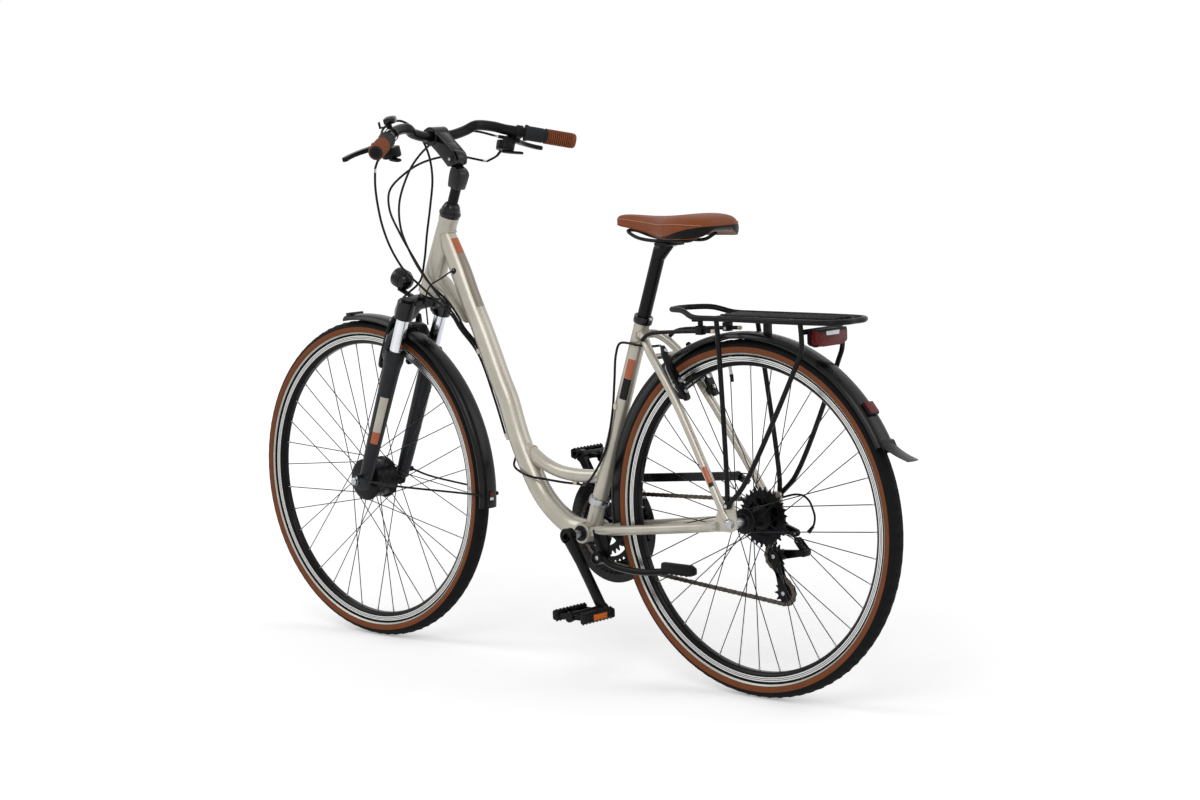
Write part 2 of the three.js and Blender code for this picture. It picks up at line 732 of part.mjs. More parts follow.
function bottomBracket() {
  const cup = shellHalf + clearance;
  return turned([
    [spindleBore, -cup - cupLip],
    [shellBore, -cup - cupLip],
    [shellBore, -cup],
    [shellBore - runningGap, -cup],
    [shellBore - runningGap, cup],
    [shellBore, cup],
    [shellBore, cup + cupLip],
    [spindleBore, cup + cupLip],
    [spindleBore, -cup - cupLip],
  ], roundSides);
}

const drive = new THREE.Group();
drive.position.copy(bracket);
bicycle.add(drive);
add(drive, "bottom_bracket", bottomBracket(), "satin");

// Seat post, its clamp on the frame, saddle rails and saddle
const collarHeight = 14;
const collarLip = 2;
const collarWall = 3.5;
const postExposed = 145;
const postInserted = 150;
const clampSetback = 24;
const clampHalf = 26;
const clampRadius = 13;
const clampLong = 18;
const clampPlate = 7;
const clampCap = 4;
const clampBolt = 6;
const neckStart = 18;
const neckEndRadius = 11.7;
const railRadius = 3.5;
const railSpread = 22;
const saddleRear = 58;
const saddleTopZ = 938;
const saddleDepth = 48;
const railDepth = 53;
const saddleShares = [
  [0, 0.42, 0.62, 0.36], [0.03, 0.7, 0.82, 0.12], [0.1, 0.93, 0.95, 0.02], [0.22, 1, 1, 0],
  [0.36, 0.9, 0.96, 0], [0.5, 0.6, 0.9, 0.06], [0.64, 0.38, 0.88, 0.2], [0.8, 0.27, 0.91, 0.34],
  [0.93, 0.22, 0.93, 0.44], [0.985, 0.15, 0.86, 0.5], [1, 0.07, 0.72, 0.56],
];
const saddleSectionShares = [
  [0, 1], [0.55, 0.97], [0.86, 0.82], [1, 0.5], [0.97, 0.06], [0.88, 0], [0.7, 0.2], [0, 0.24],
];

function seatClamp() {
  const low = onSeat(seatTubeLength + collarLip - collarHeight);
  const high = onSeat(seatTubeLength + collarLip);
  const outer = seatTubeRadius + collarWall;
  const inner = boreFor(seatTubeRadius, roundSides);
  const beyond = onSeat(seatTubeLength + collarHeight);
  const before = onSeat(seatTubeLength - collarHeight);
  return cut(rod(low, high, outer, outer, roundSides), rod(before, beyond, inner, inner, roundSides));
}

const railZ = saddleTopZ - railDepth;
const postTop = onSeat(seatTubeLength + postExposed);
const clampPoint = at(postTop.x - clampSetback, 0, railZ - railRadius - clearance);

function seatPost() {
  const { x, z } = clampPoint;
  const capZ = railZ + railRadius + clearance;
  const post = rod(onSeat(seatTubeLength - postInserted), postTop, seatPostRadius, seatPostRadius, roundSides);
  const neckFoot = onSeat(seatTubeLength + postExposed - neckStart);
  const neck = rod(neckFoot, at(x, 0, z - overrun), seatPostRadius, neckEndRadius);
  const low = box(at(x - clampLong, -clampHalf, z - clampPlate), at(x + clampLong, clampHalf, z));
  const cap = box(at(x - clampRadius, -clampHalf, capZ), at(x + clampRadius, clampHalf, capZ + clampCap));
  const bolt = box(at(x - clampBolt, -clampBolt, z - overrun), at(x + clampBolt, clampBolt, capZ + overrun));
  return join(post, low, neck, cap, bolt);
}

function saddleRings() {
  return saddleShares.map(([along, wide, top, bottom]) => {
    const x = saddleRear + saddleLength * along;
    const low = saddleTopZ - saddleDepth * (1 - bottom);
    const high = saddleTopZ - saddleDepth * (1 - top);
    const half = (saddleWidth / 2) * wide;
    const side = saddleSectionShares.map(([out, rise]) =>
      at(x, half * out, low + (high - low) * rise));
    const other = side.slice(1, -1).reverse().map((p) => at(p.x, -p.y, p.z));
    return [...side, ...other];
  });
}

const railShares = [
  [0.14, 0.3, 1], [0.24, 0.03, 1], [0.4, 0, 1], [0.62, 0, 1], [0.76, 0.12, 1], [0.88, 0.36, 0.5],
];
const railGap = 0.6;

function saddleRails(radius = railRadius) {
  const side = railShares.map(([along, rise, out]) =>
    at(saddleRear + saddleLength * along, railSpread * out, railZ + saddleDepth * rise));
  const other = side.slice().reverse().map((p) => at(p.x, -p.y, p.z));
  return tube([...side, ...other], radius, tubeSides * 2, wireSides);
}

add(bicycle, "seat_clamp", seatClamp(), "black");
add(bicycle, "seat_post", seatPost(), "black");
add(bicycle, "saddle_rails", saddleRails(), "satin");
add(bicycle, "saddle", cut(loft(saddleRings()), saddleRails(railRadius + railGap)), "brown");

// Suspension fork, in the steering frame: crown with steerer and stanchions, and the sliding lowers
const legSpread = 55;
const legAhead = 10;
const stanchionRadius = 14;
const stanchionEnd = 200;
const crownLow = 403;
const crownHigh = 447;
const crownRadius = 20.5;
const crownDepth = 34;
const crownShares = [
  [1.1, 0], [1.25, 0.3], [1.1, 0.85], [0.45, 1.08], [-0.05, 1.1], [-0.05, 0.54], [0.42, 0.5], [0.62, 0],
];
const raceHeight = 6;
const lowersTop = 326;
const lowersBottom = 12;
const lowersTopRadius = 22;
const lowersBottomRadius = 14;
const lowersNeckRadius = 18;
const lowersNeck = 226;
const lowersBulgeRadius = 19;
const lowersBulge = 286;
const lowersCollar = 302;
const lowersBoreEnd = 140;
const slideGap = 0.6;
const forkTipShares = [
  [-0.11, 0], [0.56, -0.39], [1.33, -0.33], [1.39, 0.17], [1, 0.44], [0.56, 1.22], [-0.06, 1.22],
];
const forkTravel = 50;
const braceLow = 365;
const braceThick = 10;
const braceDepth = 16;
const braceShares = [
  [1.12, -0.35], [1.08, 0.4], [0.72, 0.95], [0.3, 1], [-0.05, 1], [-0.05, 0.81], [0.3, 0.81], [0.5, 0.66],
  [0.64, 0.2], [0.64, -0.35],
];
const braceRise = 40;
const forkBossRise = 282;
const forkBossY = 40;
const forkBossAhead = 46;

// A solid of revolution about one fork leg, from [radius, z] pairs
const legTurned = (profile, sides = roundSides) => moved(turnedUp(profile, sides), legAhead, legSpread, 0);

function forkCrown() {
  const outline = crownShares.map(([y, z]) => [legSpread * y, crownLow + (crownHigh - crownLow) * z]);
  const bridge = crossPlate(outline, legAhead - crownDepth / 2, legAhead + crownDepth / 2);
  const raceTop = headTubeRise - clearance;
  const steererTop = headTop + upperCupHeight / 3;
  const leg = legTurned([
    [0, crownLow], [crownRadius, crownLow], [crownRadius, crownHigh - crownLap], [0, crownHigh],
  ], tubeSides);
  const stanchion = legTurned([
    [0, stanchionEnd],
    [stanchionRadius, stanchionEnd],
    [stanchionRadius, crownLow + crownLap],
    [0, crownLow + crownLap],
  ]);
  const race = turnedUp([
    [0, crownHigh - crownLap],
    [cupRadius, crownHigh - crownLap],
    [cupRadius, headTubeRise - raceHeight],
    [headBore - runningGap, raceTop],
    [0, raceTop],
  ], roundSides);
  const steerer = turnedUp([
    [0, crownHigh - crownLap],
    [steererRadius, crownHigh - crownLap],
    [steererRadius, steererTop],
    [0, steererTop],
  ], roundSides);
  const bore = turnedUp([
    [0, crownLow - overrun], [steererBore, crownLow - overrun], [steererBore, steererTop + overrun], [0, steererTop + overrun],
  ], roundSides);
  return cut(join(bothSides(bridge), bothSides(leg), bothSides(stanchion), race, steerer), bore);
}

function forkLowers() {
  const slide = stanchionRadius + slideGap;
  const leg = legTurned([
    [0, lowersBottom],
    [lowersBottomRadius, lowersBottom],
    [lowersNeckRadius, lowersNeck],
    [lowersBulgeRadius, lowersBulge],
    [lowersTopRadius, lowersCollar],
    [lowersTopRadius, lowersTop],
    [0, lowersTop],
  ]);
  const bore = legTurned([
    [0, lowersBoreEnd], [slide, lowersBoreEnd], [slide, lowersTop + overrun], [0, lowersTop + overrun],
  ]);
  const outline = braceShares.map(([y, z]) =>
    [legSpread * y, braceLow - braceRise + (braceRise + braceThick) * z]);
  const braceFoot = legAhead + crownDepth / 2 + runningGap;
  const brace = crossPlate(outline, braceFoot, braceFoot + braceDepth);
  const bossEnd = at(forkOffset + forkBossAhead / 2, forkBossY, forkBossRise);
  const boss = rod(at(legAhead, forkBossY, forkBossRise), bossEnd, bossRadius, bossRadius, barSides);
  const outer = frontLegInner + dropoutThick;
  const plate = sidePlate(sized(forkTipShares, forkOffset), frontLegInner, outer);
  const hole = rod(at(forkOffset, -outer - overrun, 0), at(forkOffset, outer + overrun, 0),
    axleRadius + clearance, axleRadius + clearance, barSides);
  const roomLow = crownLow - forkTravel - clearance;
  const room = legTurned([
    [0, roomLow], [crownRadius + runningGap, roomLow], [crownRadius + runningGap, crownHigh], [0, crownHigh],
  ], tubeSides);
  const whole = join(bothSides(leg), bothSides(brace), bothSides(boss), bothSides(plate));
  return cut(whole, bothSides(bore), bothSides(room), hole);
}

add(steering, "fork_crown", forkCrown(), "black");
add(steering, "fork_lowers", forkLowers(), "anthracite");

// Mudguards: a shallow arched strip round each wheel
const guardInner = 361;
const guardThick = 3;
const guardHalf = 24;
const guardSectionShares = [[1, -0.85], [0.8, -0.25], [0.35, 0], [-0.35, 0], [-0.8, -0.25], [-1, -0.85]];
const guardCrown = 12;
const stayWire = 2.4;

function mudguard(fromAngle, toAngle, steps) {
  const rings = [];
  for (let i = 0; i <= steps; i += 1) {
    const angle = radians(fromAngle + ((toAngle - fromAngle) * i) / steps);
    const outward = at(Math.cos(angle), 0, Math.sin(angle));
    const skin = (radius, list) => list.map(([out, rise]) =>
      outward.clone().multiplyScalar(radius + guardCrown * rise).setY(guardHalf * out));
    rings.push([
      ...skin(guardInner + guardThick, guardSectionShares),
      ...skin(guardInner, guardSectionShares.slice().reverse()),
    ]);
  }
  return loft(rings);
}

const frontGuardFrom = 81;
const frontGuardTo = 186;
const rearGuardFrom = -6;
const rearGuardTo = 153;
const guardSteps = 12;
const stayEyeRadius = 6;
const frontStaySize = 100;
const stayScrewSeat = 14.7;
const frontStayShares = [[-0.26, 0.8, 0.25], [-0.9, 0.71, 0.4], [-3.4, 0.26, 1.29], [-3.54, 0.17, 1.34]];
const frontPadShares = [[-0.09, -0.1, 3.62], [0.04, 0.1, 3.652]];
const frontReflectorSize = 10;
const frontReflectorAngle = 160;

// Front mudguard: strip, foot under the fork's arch, wire stays screwed to the legs, small rear reflector
function frontMudguard() {
  const tilt = rightAngle - headAngle;
  const strip = mudguard(frontGuardFrom - tilt, frontGuardTo - tilt, guardSteps);
  const foot = block(frontPadShares, frontStaySize);
  const stay = tube(placed(frontStayShares, frontStaySize), stayWire, wireSides, wireSides);
  const eye = frontStaySize * frontStayShares[0][1];
  const legSide = legSpread + stayScrewSeat;
  const [x, , z] = frontStayShares[0];
  const screw = rod(at(frontStaySize * x, legSide, frontStaySize * z),
    at(frontStaySize * x, eye + stayWire, frontStaySize * z), stayEyeRadius, stayEyeRadius, barSides);
  const half = frontReflectorSize / 2;
  const outer = guardInner + guardThick;
  const reflector = box(at(outer - overrun, -half, -half), at(outer + overrun, half, half));
  reflector.rotateY(-radians(frontReflectorAngle));
  return join(strip, foot, bothSides(stay), bothSides(screw), reflector);
}

add(frontWheel, "front_mudguard", frontMudguard(), "black");

// Rear mudguard with its flap, feet at the seatstay bridge and under the rack, and the reflector on it
const reflectorSize = 28;
const reflectorThick = 8;
const reflectorAngle = 141;
const flapShares = [[0.5, 0.5], [-0.38, 0.8], [-2.7, -1], [-2.7, -1.13], [-0.5, -0.5]];
const guardFootRadius = 8;
const bridgePoint = stayPoint(bridgeShares).sub(axle).setY(0);
const rackFootX = -45;
const rackFootHalf = 5;

function rearMudguard() {
  const strip = mudguard(rearGuardFrom, rearGuardTo, guardSteps + 2);
  const end = radians(rearGuardTo);
  const root = at(Math.cos(end), 0, Math.sin(end)).multiplyScalar(guardInner);
  const half = guardHalf - guardThick;
  const outline = sized(flapShares, guardHalf, root.x, root.z);
  const flap = sidePlate(outline.map(([x, z]) => [Math.max(x, -flapReach), z]), -half, half);
  const toBridge = bridgePoint.clone().normalize();
  const seated = bridgePoint.length() - bridgeRadius - clearance;
  const foot = rod(toBridge.clone().multiplyScalar(guardInner + 1), toBridge.clone().multiplyScalar(seated),
    guardFootRadius, guardFootRadius, barSides);
  const rackFoot = box(at(rackFootX - rackFootHalf, -guardFootRadius, guardInner - guardThick),
    at(rackFootX + rackFootHalf, guardFootRadius, rackZ - deckThick - clearance - axle.z));
  return join(strip, flap, foot, rackFoot);
}

function rearReflector() {
  const half = reflectorSize / 2;
  const foot = guardInner + guardThick + clearance;
  const body = box(at(foot, -half, -half), at(foot + reflectorThick, half, half));
  return body.rotateY(-radians(reflectorAngle));
}

// Rack: bent rail with its raised front loop, cross bars, legs and the struts to the seatstays
const rackZ = 741;
const rackBarRadius = 5.5;
const rackHalf = 60;
const rackRailShares = [
  [3, 0, 0.183], [2.87, 0.45, 0.183], [2.17, 0.75, 0.183], [1.5, 1, 0.017], [0.67, 1, 0], [0, 1, 0],
  [-3.25, 1, 0], [-3.95, 0.85, 0], [-4.25, 0.4, 0], [-4.25, 0, 0],
];
const rackCross = [-215, -130, -45, 40];
const deckHalf = 28;
const deckThick = 3;
const deckTop = 5;
const deckFront = 50;
const deckRear = -225;
const rackLegRadius = 5;
const rackLegsX = 32;
const rackFrontLegShares = [[1, 1, 0], [0.875, 1.02, -0.084], [0.031, 1.33, -0.91]];
const rackRearLegs = -171;
const rackRearLegShares = [
  [1, 0.97, 0], [1.023, 1, -0.42], [1.023, 1.03, -0.79], [0.953, 1.07, -1.17], [0.234, 1.33, -4.42],
];
const rackDrop = 71;
const lampPlateLow = 24;
const lampPlateHigh = 14;
const lampPlateBack = 6;
const rackStrutRadius = 4;
const rackClampX = 89;
const rackClampZ = 714;
const rackClampHalf = 8;
const rackClampNear = 32;
const rackClampFar = 48;
const strutRootShares = [0.86, 0.945, 0.47];
const strutSize = 60;
const strutShares = [[2.247, 0.7, -0.2], [1, 0.667, -0.067], [-0.467, 0.667, 0]];
const strutLift = 10;

function rack() {
  const deckPlane = at(0, 0, rackZ);
  const rail = tube(placed(rackRailShares, rackHalf, deckPlane), rackBarRadius, tubeSides, wireSides);
  const bars = rackCross.map((x) =>
    box(at(x - rackBarRadius, -rackHalf, rackZ - deckThick), at(x + rackBarRadius, rackHalf, rackZ)));
  const deck = box(at(deckRear, -deckHalf, rackZ), at(deckFront, deckHalf, rackZ + deckTop));
  const eyelet = at(rackEyeletX, rearDropoutY + dropoutThick + clearance, axle.z + rackEyeletZ);
  const legY = eyelet.y + rackLegRadius;
  const eye = at(eyelet.x, legY, eyelet.z);
  const frontPoints = rackFrontLegShares.map(([x, y, z]) =>
    at(rackLegsX * x, Math.min(rackHalf * y, legY), rackZ + (rackZ - eyelet.z) * z));
  const rearPoints = rackRearLegShares.map(([x, y, z]) =>
    at(rackRearLegs * x, Math.min(rackHalf * y, legY), rackZ + rackDrop * z));
  const front = tube([...frontPoints, eye], rackLegRadius, wireSides, wireSides);
  const rear = tube([...rearPoints, eye], rackLegRadius, barSides, wireSides);
  const foot = rod(eyelet, at(eyelet.x, legY + rackLegRadius, eyelet.z), eyeletRadius, eyeletRadius, wireSides);
  const lampPlate = box(
    at(rackRearLegs - lampPlateBack, -rackHalf, rackZ - lampPlateLow),
    at(rackRearLegs - overrun, rackHalf, rackZ - lampPlateHigh),
  );
  const clamp = box(
    at(rackClampX - rackClampHalf, rackClampNear, rackClampZ - rackClampHalf),
    at(rackClampX + rackClampHalf, rackClampFar, rackZ),
  );
  const clampBar = box(
    at(rackClampX - rackBarRadius, -rackHalf, rackZ - rackClampHalf),
    at(rackClampX + rackBarRadius, rackHalf, rackZ - overrun),
  );
  const root = stayPoint(strutRootShares);
  const start = at(root.x - overrun, root.y + seatstayRadius - 1, root.z + strutLift);
  const strutPoints = placed(strutShares, strutSize, at(rackClampX, 0, rackClampZ));
  const strut = tube([start, ...strutPoints], rackStrutRadius, wireSides, wireSides);
  return join(rail, mirrored(rail), bars, deck, bothSides(front), bothSides(rear), bothSides(foot),
    lampPlate, bothSides(clamp), clampBar, bothSides(strut));
}

add(bicycle, "rack", rack(), "black");
add(rearWheel, "rear_mudguard", rearMudguard(), "black");
add(rearWheel, "rear_reflector", rearReflector(), "red");

// Tail light behind the rack's lamp plate
const lampZ = 709;
const lampHalf = 47;
const lampDepth = 25;
const lampShares = [[1, 0.38], [1, -0.19], [0.6, -0.38], [-0.6, -0.38], [-1, -0.19], [-1, 0.38]];

function tailLight() {
  const front = rackRearLegs - lampPlateBack - clearance;
  return crossPlate(sized(lampShares, lampHalf, 0, lampZ), front - lampDepth, front);
}

add(bicycle, "tail_light", tailLight(), "red");

// Rim brakes: a left and a right arm on each pair of bosses, hinged on the boss
const armLength = 105;
const armWidth = 18;
const armThick = 9;
const armAhead = 3;
const barrelHalf = 8;
const barrelRunning = 1.6;
const padLength = 62;
const padHigh = 9;
const padWide = 9;
const padGap = 2;
const padRise = 25;
const padPost = 4;
const rearPadBack = -4;
const rearBossLap = 10;
const frontBossLap = 8;
const armShares = [
  [-0.5, -0.1], [0.5, -0.1], [0.62, 0.25], [0.45, 0.75], [-0.1, 1], [-0.5, 1], [-0.35, 0.7], [-0.5, 0.25],
];

// In the brake's frame: X out to the left, Y along the boss away from the wheel, Z along the fork or stay
function brakeArm(bossSpread, padY) {
  const outline = armShares.map(([x, z]) => [bossSpread + armWidth * x, armLength * z]);
  const plate = sidePlate(outline, armAhead + armThick / 2, armAhead - armThick / 2);
  const bore = bossRadius + barrelRunning;
  const barrel = moved(ring(armWidth / 2, bore, -barrelHalf, barrelHalf, wireSides), bossSpread, 0, 0);
  const hole = moved(disc(bore, -armWidth, armWidth, wireSides), bossSpread, 0, 0);
  const inner = rimWidth / 2 + padGap;
  const shoe = box(
    at(inner, padY - padLength / 2, padRise - padHigh / 2),
    at(inner + padWide, padY + padLength / 2, padRise + padHigh / 2),
  );
  const post = box(at(inner + padWide - 1, -padPost, padRise - padPost), at(bossSpread, padPost, padRise + padPost));
  return cut(join(plate, barrel, shoe, post), hole);
}

function brakePair(group, name, origin, along, away, bossSpread, padY) {
  const basis = new THREE.Matrix4().makeBasis(at(0, 1, 0), away, along).setPosition(origin);
  const arm = brakeArm(bossSpread, padY);
  const left = arm.clone().applyMatrix4(basis);
  const right = arm.clone().scale(-1, 1, 1).applyMatrix4(basis);
  add(group, name + "_left", left, "black");
  add(group, name + "_right", right, "black");
}

const frontBrakeOrigin = at(forkOffset + forkBossAhead / 2 - frontBossLap, 0, forkBossRise);
const rearBrakeOrigin = seatBoss.clone().setY(0).addScaledVector(stayRear, seatBossLength - rearBossLap);
brakePair(steering, "front_brake_arm", frontBrakeOrigin, at(0, 0, 1), at(1, 0, 0), forkBossY, 0);
brakePair(bicycle, "rear_brake_arm", rearBrakeOrigin, stayLine, stayRear, seatBossY, rearPadBack);

// Headlight ahead of the crown, on a bent bracket
const headlightRadius = 22;
const headlightAhead = 93;
const headlightRise = 454;
const headlightSides = 14;
const headlightShares = [[0, -1.2], [0.6, -1.2], [0.95, -0.6], [1, 0], [1, 0.6], [0.9, 0.75], [0, 0.75]];
const bracketHalf = 8;
const bracketThick = 5;
const bracketLow = 428;
const bracketFoot = 446;

function headlight() {
  const lamp = turned(headlightShares.map(([radius, y]) =>
    [headlightRadius * radius, headlightRadius * y]), headlightSides);
  lamp.rotateZ(-Math.PI / 2).translate(headlightAhead, 0, headlightRise);
  const face = legAhead + crownDepth / 2 + clearance;
  const plate = box(at(face, -bracketHalf, bracketLow), at(face + bracketThick, bracketHalf, bracketFoot));
  const toe = box(
    at(face, -bracketHalf, bracketLow),
    at(headlightAhead, bracketHalf, bracketLow + bracketThick),
  );
  const neck = box(
    at(headlightAhead - bracketHalf, -bracketHalf, bracketLow),
    at(headlightAhead, bracketHalf, headlightRise),
  );
  return join(lamp, plate, toe, neck);
}

add(steering, "headlight", headlight(), "black");

// Stem: quill with its head, and the adjustable arm that holds the bar
const quillLow = 560;
const quillHeadLow = 702;
const quillLap = 10;
const stemPivotAhead = 18.8;
const stemPivotRise = 760.9;
const stemEyeRadius = 16;
const stemEyeHalf = 11;
const stemHalf = 19;
const stemWall = 3;
const stemHeadHalf = 15;
const stemBay = 60;
const barClampAhead = 89.6;
const barClampRise = 784;
const barRadius = 11.1;
const barClampRadius = 20;
const stemHeadShares = [
  [-1, 0], [0.93, 0], [1.13, 1.73], [1.12, 2.59], [0.85, 3.26], [-0.4, 2.99], [-1.13, 2.27],
];
const stemArmShares = [
  [-0.227, -0.085], [0.028, -0.255], [0.6, -0.02], [1, 0.1], [1, 0.553], [0.5, 0.411], [-0.057, 0.227],
];

function stemQuill() {
  const quill = turnedUp([
    [0, quillLow], [quillRadius, quillLow], [quillRadius, quillHeadLow + quillLap], [0, quillHeadLow + quillLap],
  ], roundSides);
  const head = sidePlate(sized(stemHeadShares, stemHeadHalf, 0, quillHeadLow), -stemHeadHalf, stemHeadHalf);
  const eye = disc(stemEyeRadius - 1, -stemEyeHalf, stemEyeHalf, roundSides);
  return join(quill, head, moved(eye, stemPivotAhead, 0, stemPivotRise));
}

// The arm's cheeks stand outside the head's eye; its far end is the bar clamp
function stemArm() {
  const reach = barClampAhead - stemPivotAhead;
  const body = sidePlate(sized(stemArmShares, reach, stemPivotAhead, stemPivotRise), -stemHalf, stemHalf);
  const clampHalfWidth = stemHalf + overrun;
  const clamp = disc(barClampRadius, -clampHalfWidth, clampHalfWidth, roundSides);
  const slot = disc(stemEyeRadius + 1, -stemEyeHalf - clearance, stemEyeHalf + clearance, roundSides);
  const bay = box(
    at(stemPivotAhead - stemBay, -stemHalf + stemWall, stemPivotRise - stemBay),
    at(stemPivotAhead + overrun, stemHalf - stemWall, stemPivotRise + overrun),
  );
  const bore = disc(boreFor(barRadius, roundSides), -clampHalfWidth - overrun, clampHalfWidth + overrun, roundSides);
  return cut(
    join(body, moved(clamp, barClampAhead, 0, barClampRise)),
    moved(slot, stemPivotAhead, 0, stemPivotRise), bay, moved(bore, barClampAhead, 0, barClampRise),
  );
}

add(steering, "stem_quill", stemQuill(), "black");
add(steering, "stem_arm", stemArm(), "black");

// Handlebar: swept back, its last stretch straight for grips and clamps
const barCentre = steerPoint(barClampAhead, 0, barClampRise);
const barReach = 127;
const barRise = 19;
const barSteps = 30;
const barShares = [
  [0, 0, 0], [0, 0.07, 0], [0.031, 0.14, 0.03], [0.063, 0.27, 0.5], [0.13, 0.33, 0.95], [0.14, 0.39, 1],
  [0.22, 0.5, 0.75],
];
const straightShares = [[0.3, 0.569, 0.42], [1, 1, -1.26]];
const barPlace = ([x, y, z]) => at(barCentre.x - barReach * x, barHalfWidth * y, barCentre.z + barRise * z);
const [straightStart, straightEnd] = straightShares.map(barPlace);
const straightRun = straightEnd.clone().sub(straightStart);
const straightLength = straightRun.length();
const outwards = straightRun.clone().normalize();
const forwards = at(1, 0, 0).addScaledVector(outwards, -outwards.x).normalize();
const upwards = forwards.clone().cross(outwards);
const barFrame = new THREE.Matrix4().makeBasis(forwards, outwards, upwards).setPosition(straightStart);
const onBar = (geometry) => geometry.clone().applyMatrix4(barFrame);
const gripInner = 44;
const gripRadius = 16;
const gripWall = 3;
const gripShares = [[1.12, 0], [1.06, 0.06], [0.94, 0.4], [1.06, 0.7], [1.06, 0.96], [0.81, 1]];

function handlebar() {
  const end = straightEnd.clone().addScaledVector(outwards, -gripWall - runningGap);
  const quarter = straightStart.clone().lerp(end, 1 / 8);
  const half = [...barShares.slice(1).map(barPlace), straightStart, quarter, end];
  const other = half.slice().reverse().map((p) => at(p.x, -p.y, p.z));
  return tube([...other, barPlace(barShares[0]), ...half], barRadius, barSteps, barSides);
}

function grip() {
  const end = straightLength;
  const bore = boreFor(barRadius + clearance);
  const skin = gripShares.map(([radius, y]) => [gripRadius * radius, gripInner + (end - gripInner) * y]);
  return turned([
    [bore, gripInner], ...skin, [0, end], [0, end - gripWall], [bore, end - gripWall], [bore, gripInner],
  ]);
}

add(bicycle, "handlebar", handlebar(), "black");
add(bicycle, "grip_left", onBar(grip()), "brown");
add(bicycle, "grip_right", mirrored(onBar(grip())), "brown");

// Lever clamps with shifter housings, brake levers and thumb levers
const clampAt = 32;
const clampWidth = 14;
const clampWall = 3.5;
const leverPivot = at(32, 24, -14);
const leverEarHalf = 9;
const leverSlotHalf = 5;
const leverPinRadius = 2.5;
const leverThick = 9;
const leverSize = 60;
const leverShares = [
  [-0.13, -0.08], [0.12, -0.12], [0.3, 0.12], [0.62, 0.5], [0.84, 0.9], [0.92, 1.22], [0.76, 1.32], [0.66, 1],
  [0.42, 0.6], [0.07, 0.32], [-0.13, 0.13],
];
const housingShares = [[-0.4, -0.23, -0.15], [-0.07, 0.23, 0.15]];
const earShares = [[-0.2, -0.1, 0], [0.1, 0.1, 0]];
const slotShares = [[-0.3, -0.2, 0], [0.4, 0.4, 0]];
const barrelShares = [[-0.17, -0.2, 0], [-0.17, -0.53, 0]];
const barrelRadius = 4;
const neckShares = [[-0.47, -0.37, -0.27], [-0.27, 0.07, -0.03]];
const podPlace = at(6, 8, -34);
const podRadius = 20;
const podHigh = 20;
const thumbSize = 38;
const thumbThick = 5;
const thumbShares = [
  [-0.16, -0.11], [0.16, -0.16], [0.16, 0.21], [-0.05, 0.53], [-0.47, 1], [-0.68, 0.84], [-0.37, 0.37],
];

// A flat form in the bar's own plane, about a place, between two heights
function barPlate(shares, size, place, low, high) {
  const shape = new THREE.Shape(sized(shares, size, place.x, place.y).map(([x, y]) => new THREE.Vector2(x, y)));
  const plate = new THREE.ExtrudeGeometry(shape, { depth: high - low, bevelEnabled: false });
  return plate.translate(0, 0, place.z + low);
}

// A block from a table of shares, with its own low and high face
function earBlock(shares, low, high) {
  const [from, to] = placed(shares, leverSize, leverPivot);
  return box(at(from.x, from.y, leverPivot.z + low), at(to.x, to.y, leverPivot.z + high));
}

function brakeClamp() {
  const band = moved(ring(barRadius + clampWall, boreFor(barRadius), -clampWidth / 2, clampWidth / 2), 0, clampAt, 0);
  const body = block(housingShares, leverSize, leverPivot);
  const neck = block(neckShares, leverSize, leverPivot);
  const half = at(0, 0, podHigh / 2);
  const pod = rod(podPlace.clone().sub(half), podPlace.clone().add(half), podRadius, podRadius);
  const slot = earBlock(slotShares, -leverSlotHalf, leverSlotHalf);
  const ears = [earBlock(earShares, leverSlotHalf, leverEarHalf), earBlock(earShares, -leverEarHalf, -leverSlotHalf)];
  const pinHalf = at(0, 0, leverEarHalf - overrun);
  const pin = rod(leverPivot.clone().sub(pinHalf), leverPivot.clone().add(pinHalf), leverPinRadius, leverPinRadius, barSides);
  const barrel = rod(...placed(barrelShares, leverSize, leverPivot), barrelRadius, barrelRadius, wireSides);
  const hollow = moved(disc(boreFor(barRadius), -clampAt, clampAt), 0, clampAt, 0);
  return cut(join(cut(join(band, body, neck, pod), slot), ears, pin, barrel), hollow);
}

function brakeLever() {
  const half = at(0, 0, leverThick);
  const bore = boreFor(leverPinRadius, barSides);
  const hole = rod(leverPivot.clone().sub(half), leverPivot.clone().add(half), bore, bore, barSides);
  return cut(barPlate(leverShares, leverSize, leverPivot, -leverThick / 2, leverThick / 2), hole);
}

function shiftLever() {
  const high = -podHigh / 2 - clearance;
  return barPlate(thumbShares, thumbSize, podPlace, high - thumbThick, high);
}

for (const [side, turn] of [["left", (g) => g], ["right", mirrored]]) {
  add(bicycle, "brake_clamp_" + side, turn(onBar(brakeClamp())), "black");
  add(bicycle, "brake_lever_" + side, turn(onBar(brakeLever())), "satin");
  add(bicycle, "shift_lever_" + side, turn(onBar(shiftLever())), "satin");
}

// Bell on the left, with its sprung striker
const bellPlace = at(-4, -4, 24);
const bellRadius = 15;
const bellShares = [[0, 0], [1, 0], [1, 0.5], [0.85, 0.85], [0, 1]];
const bellBandWall = 4;
const bellBandGap = 2.2;
const bellBandHalf = 5;
const strikerShares = [[0.64, -0.2, -0.52], [1.73, 0.2, -0.32]];
const strikerTipShares = [[1.47, -0.2, -0.52], [1.73, 0.2, 0.4]];

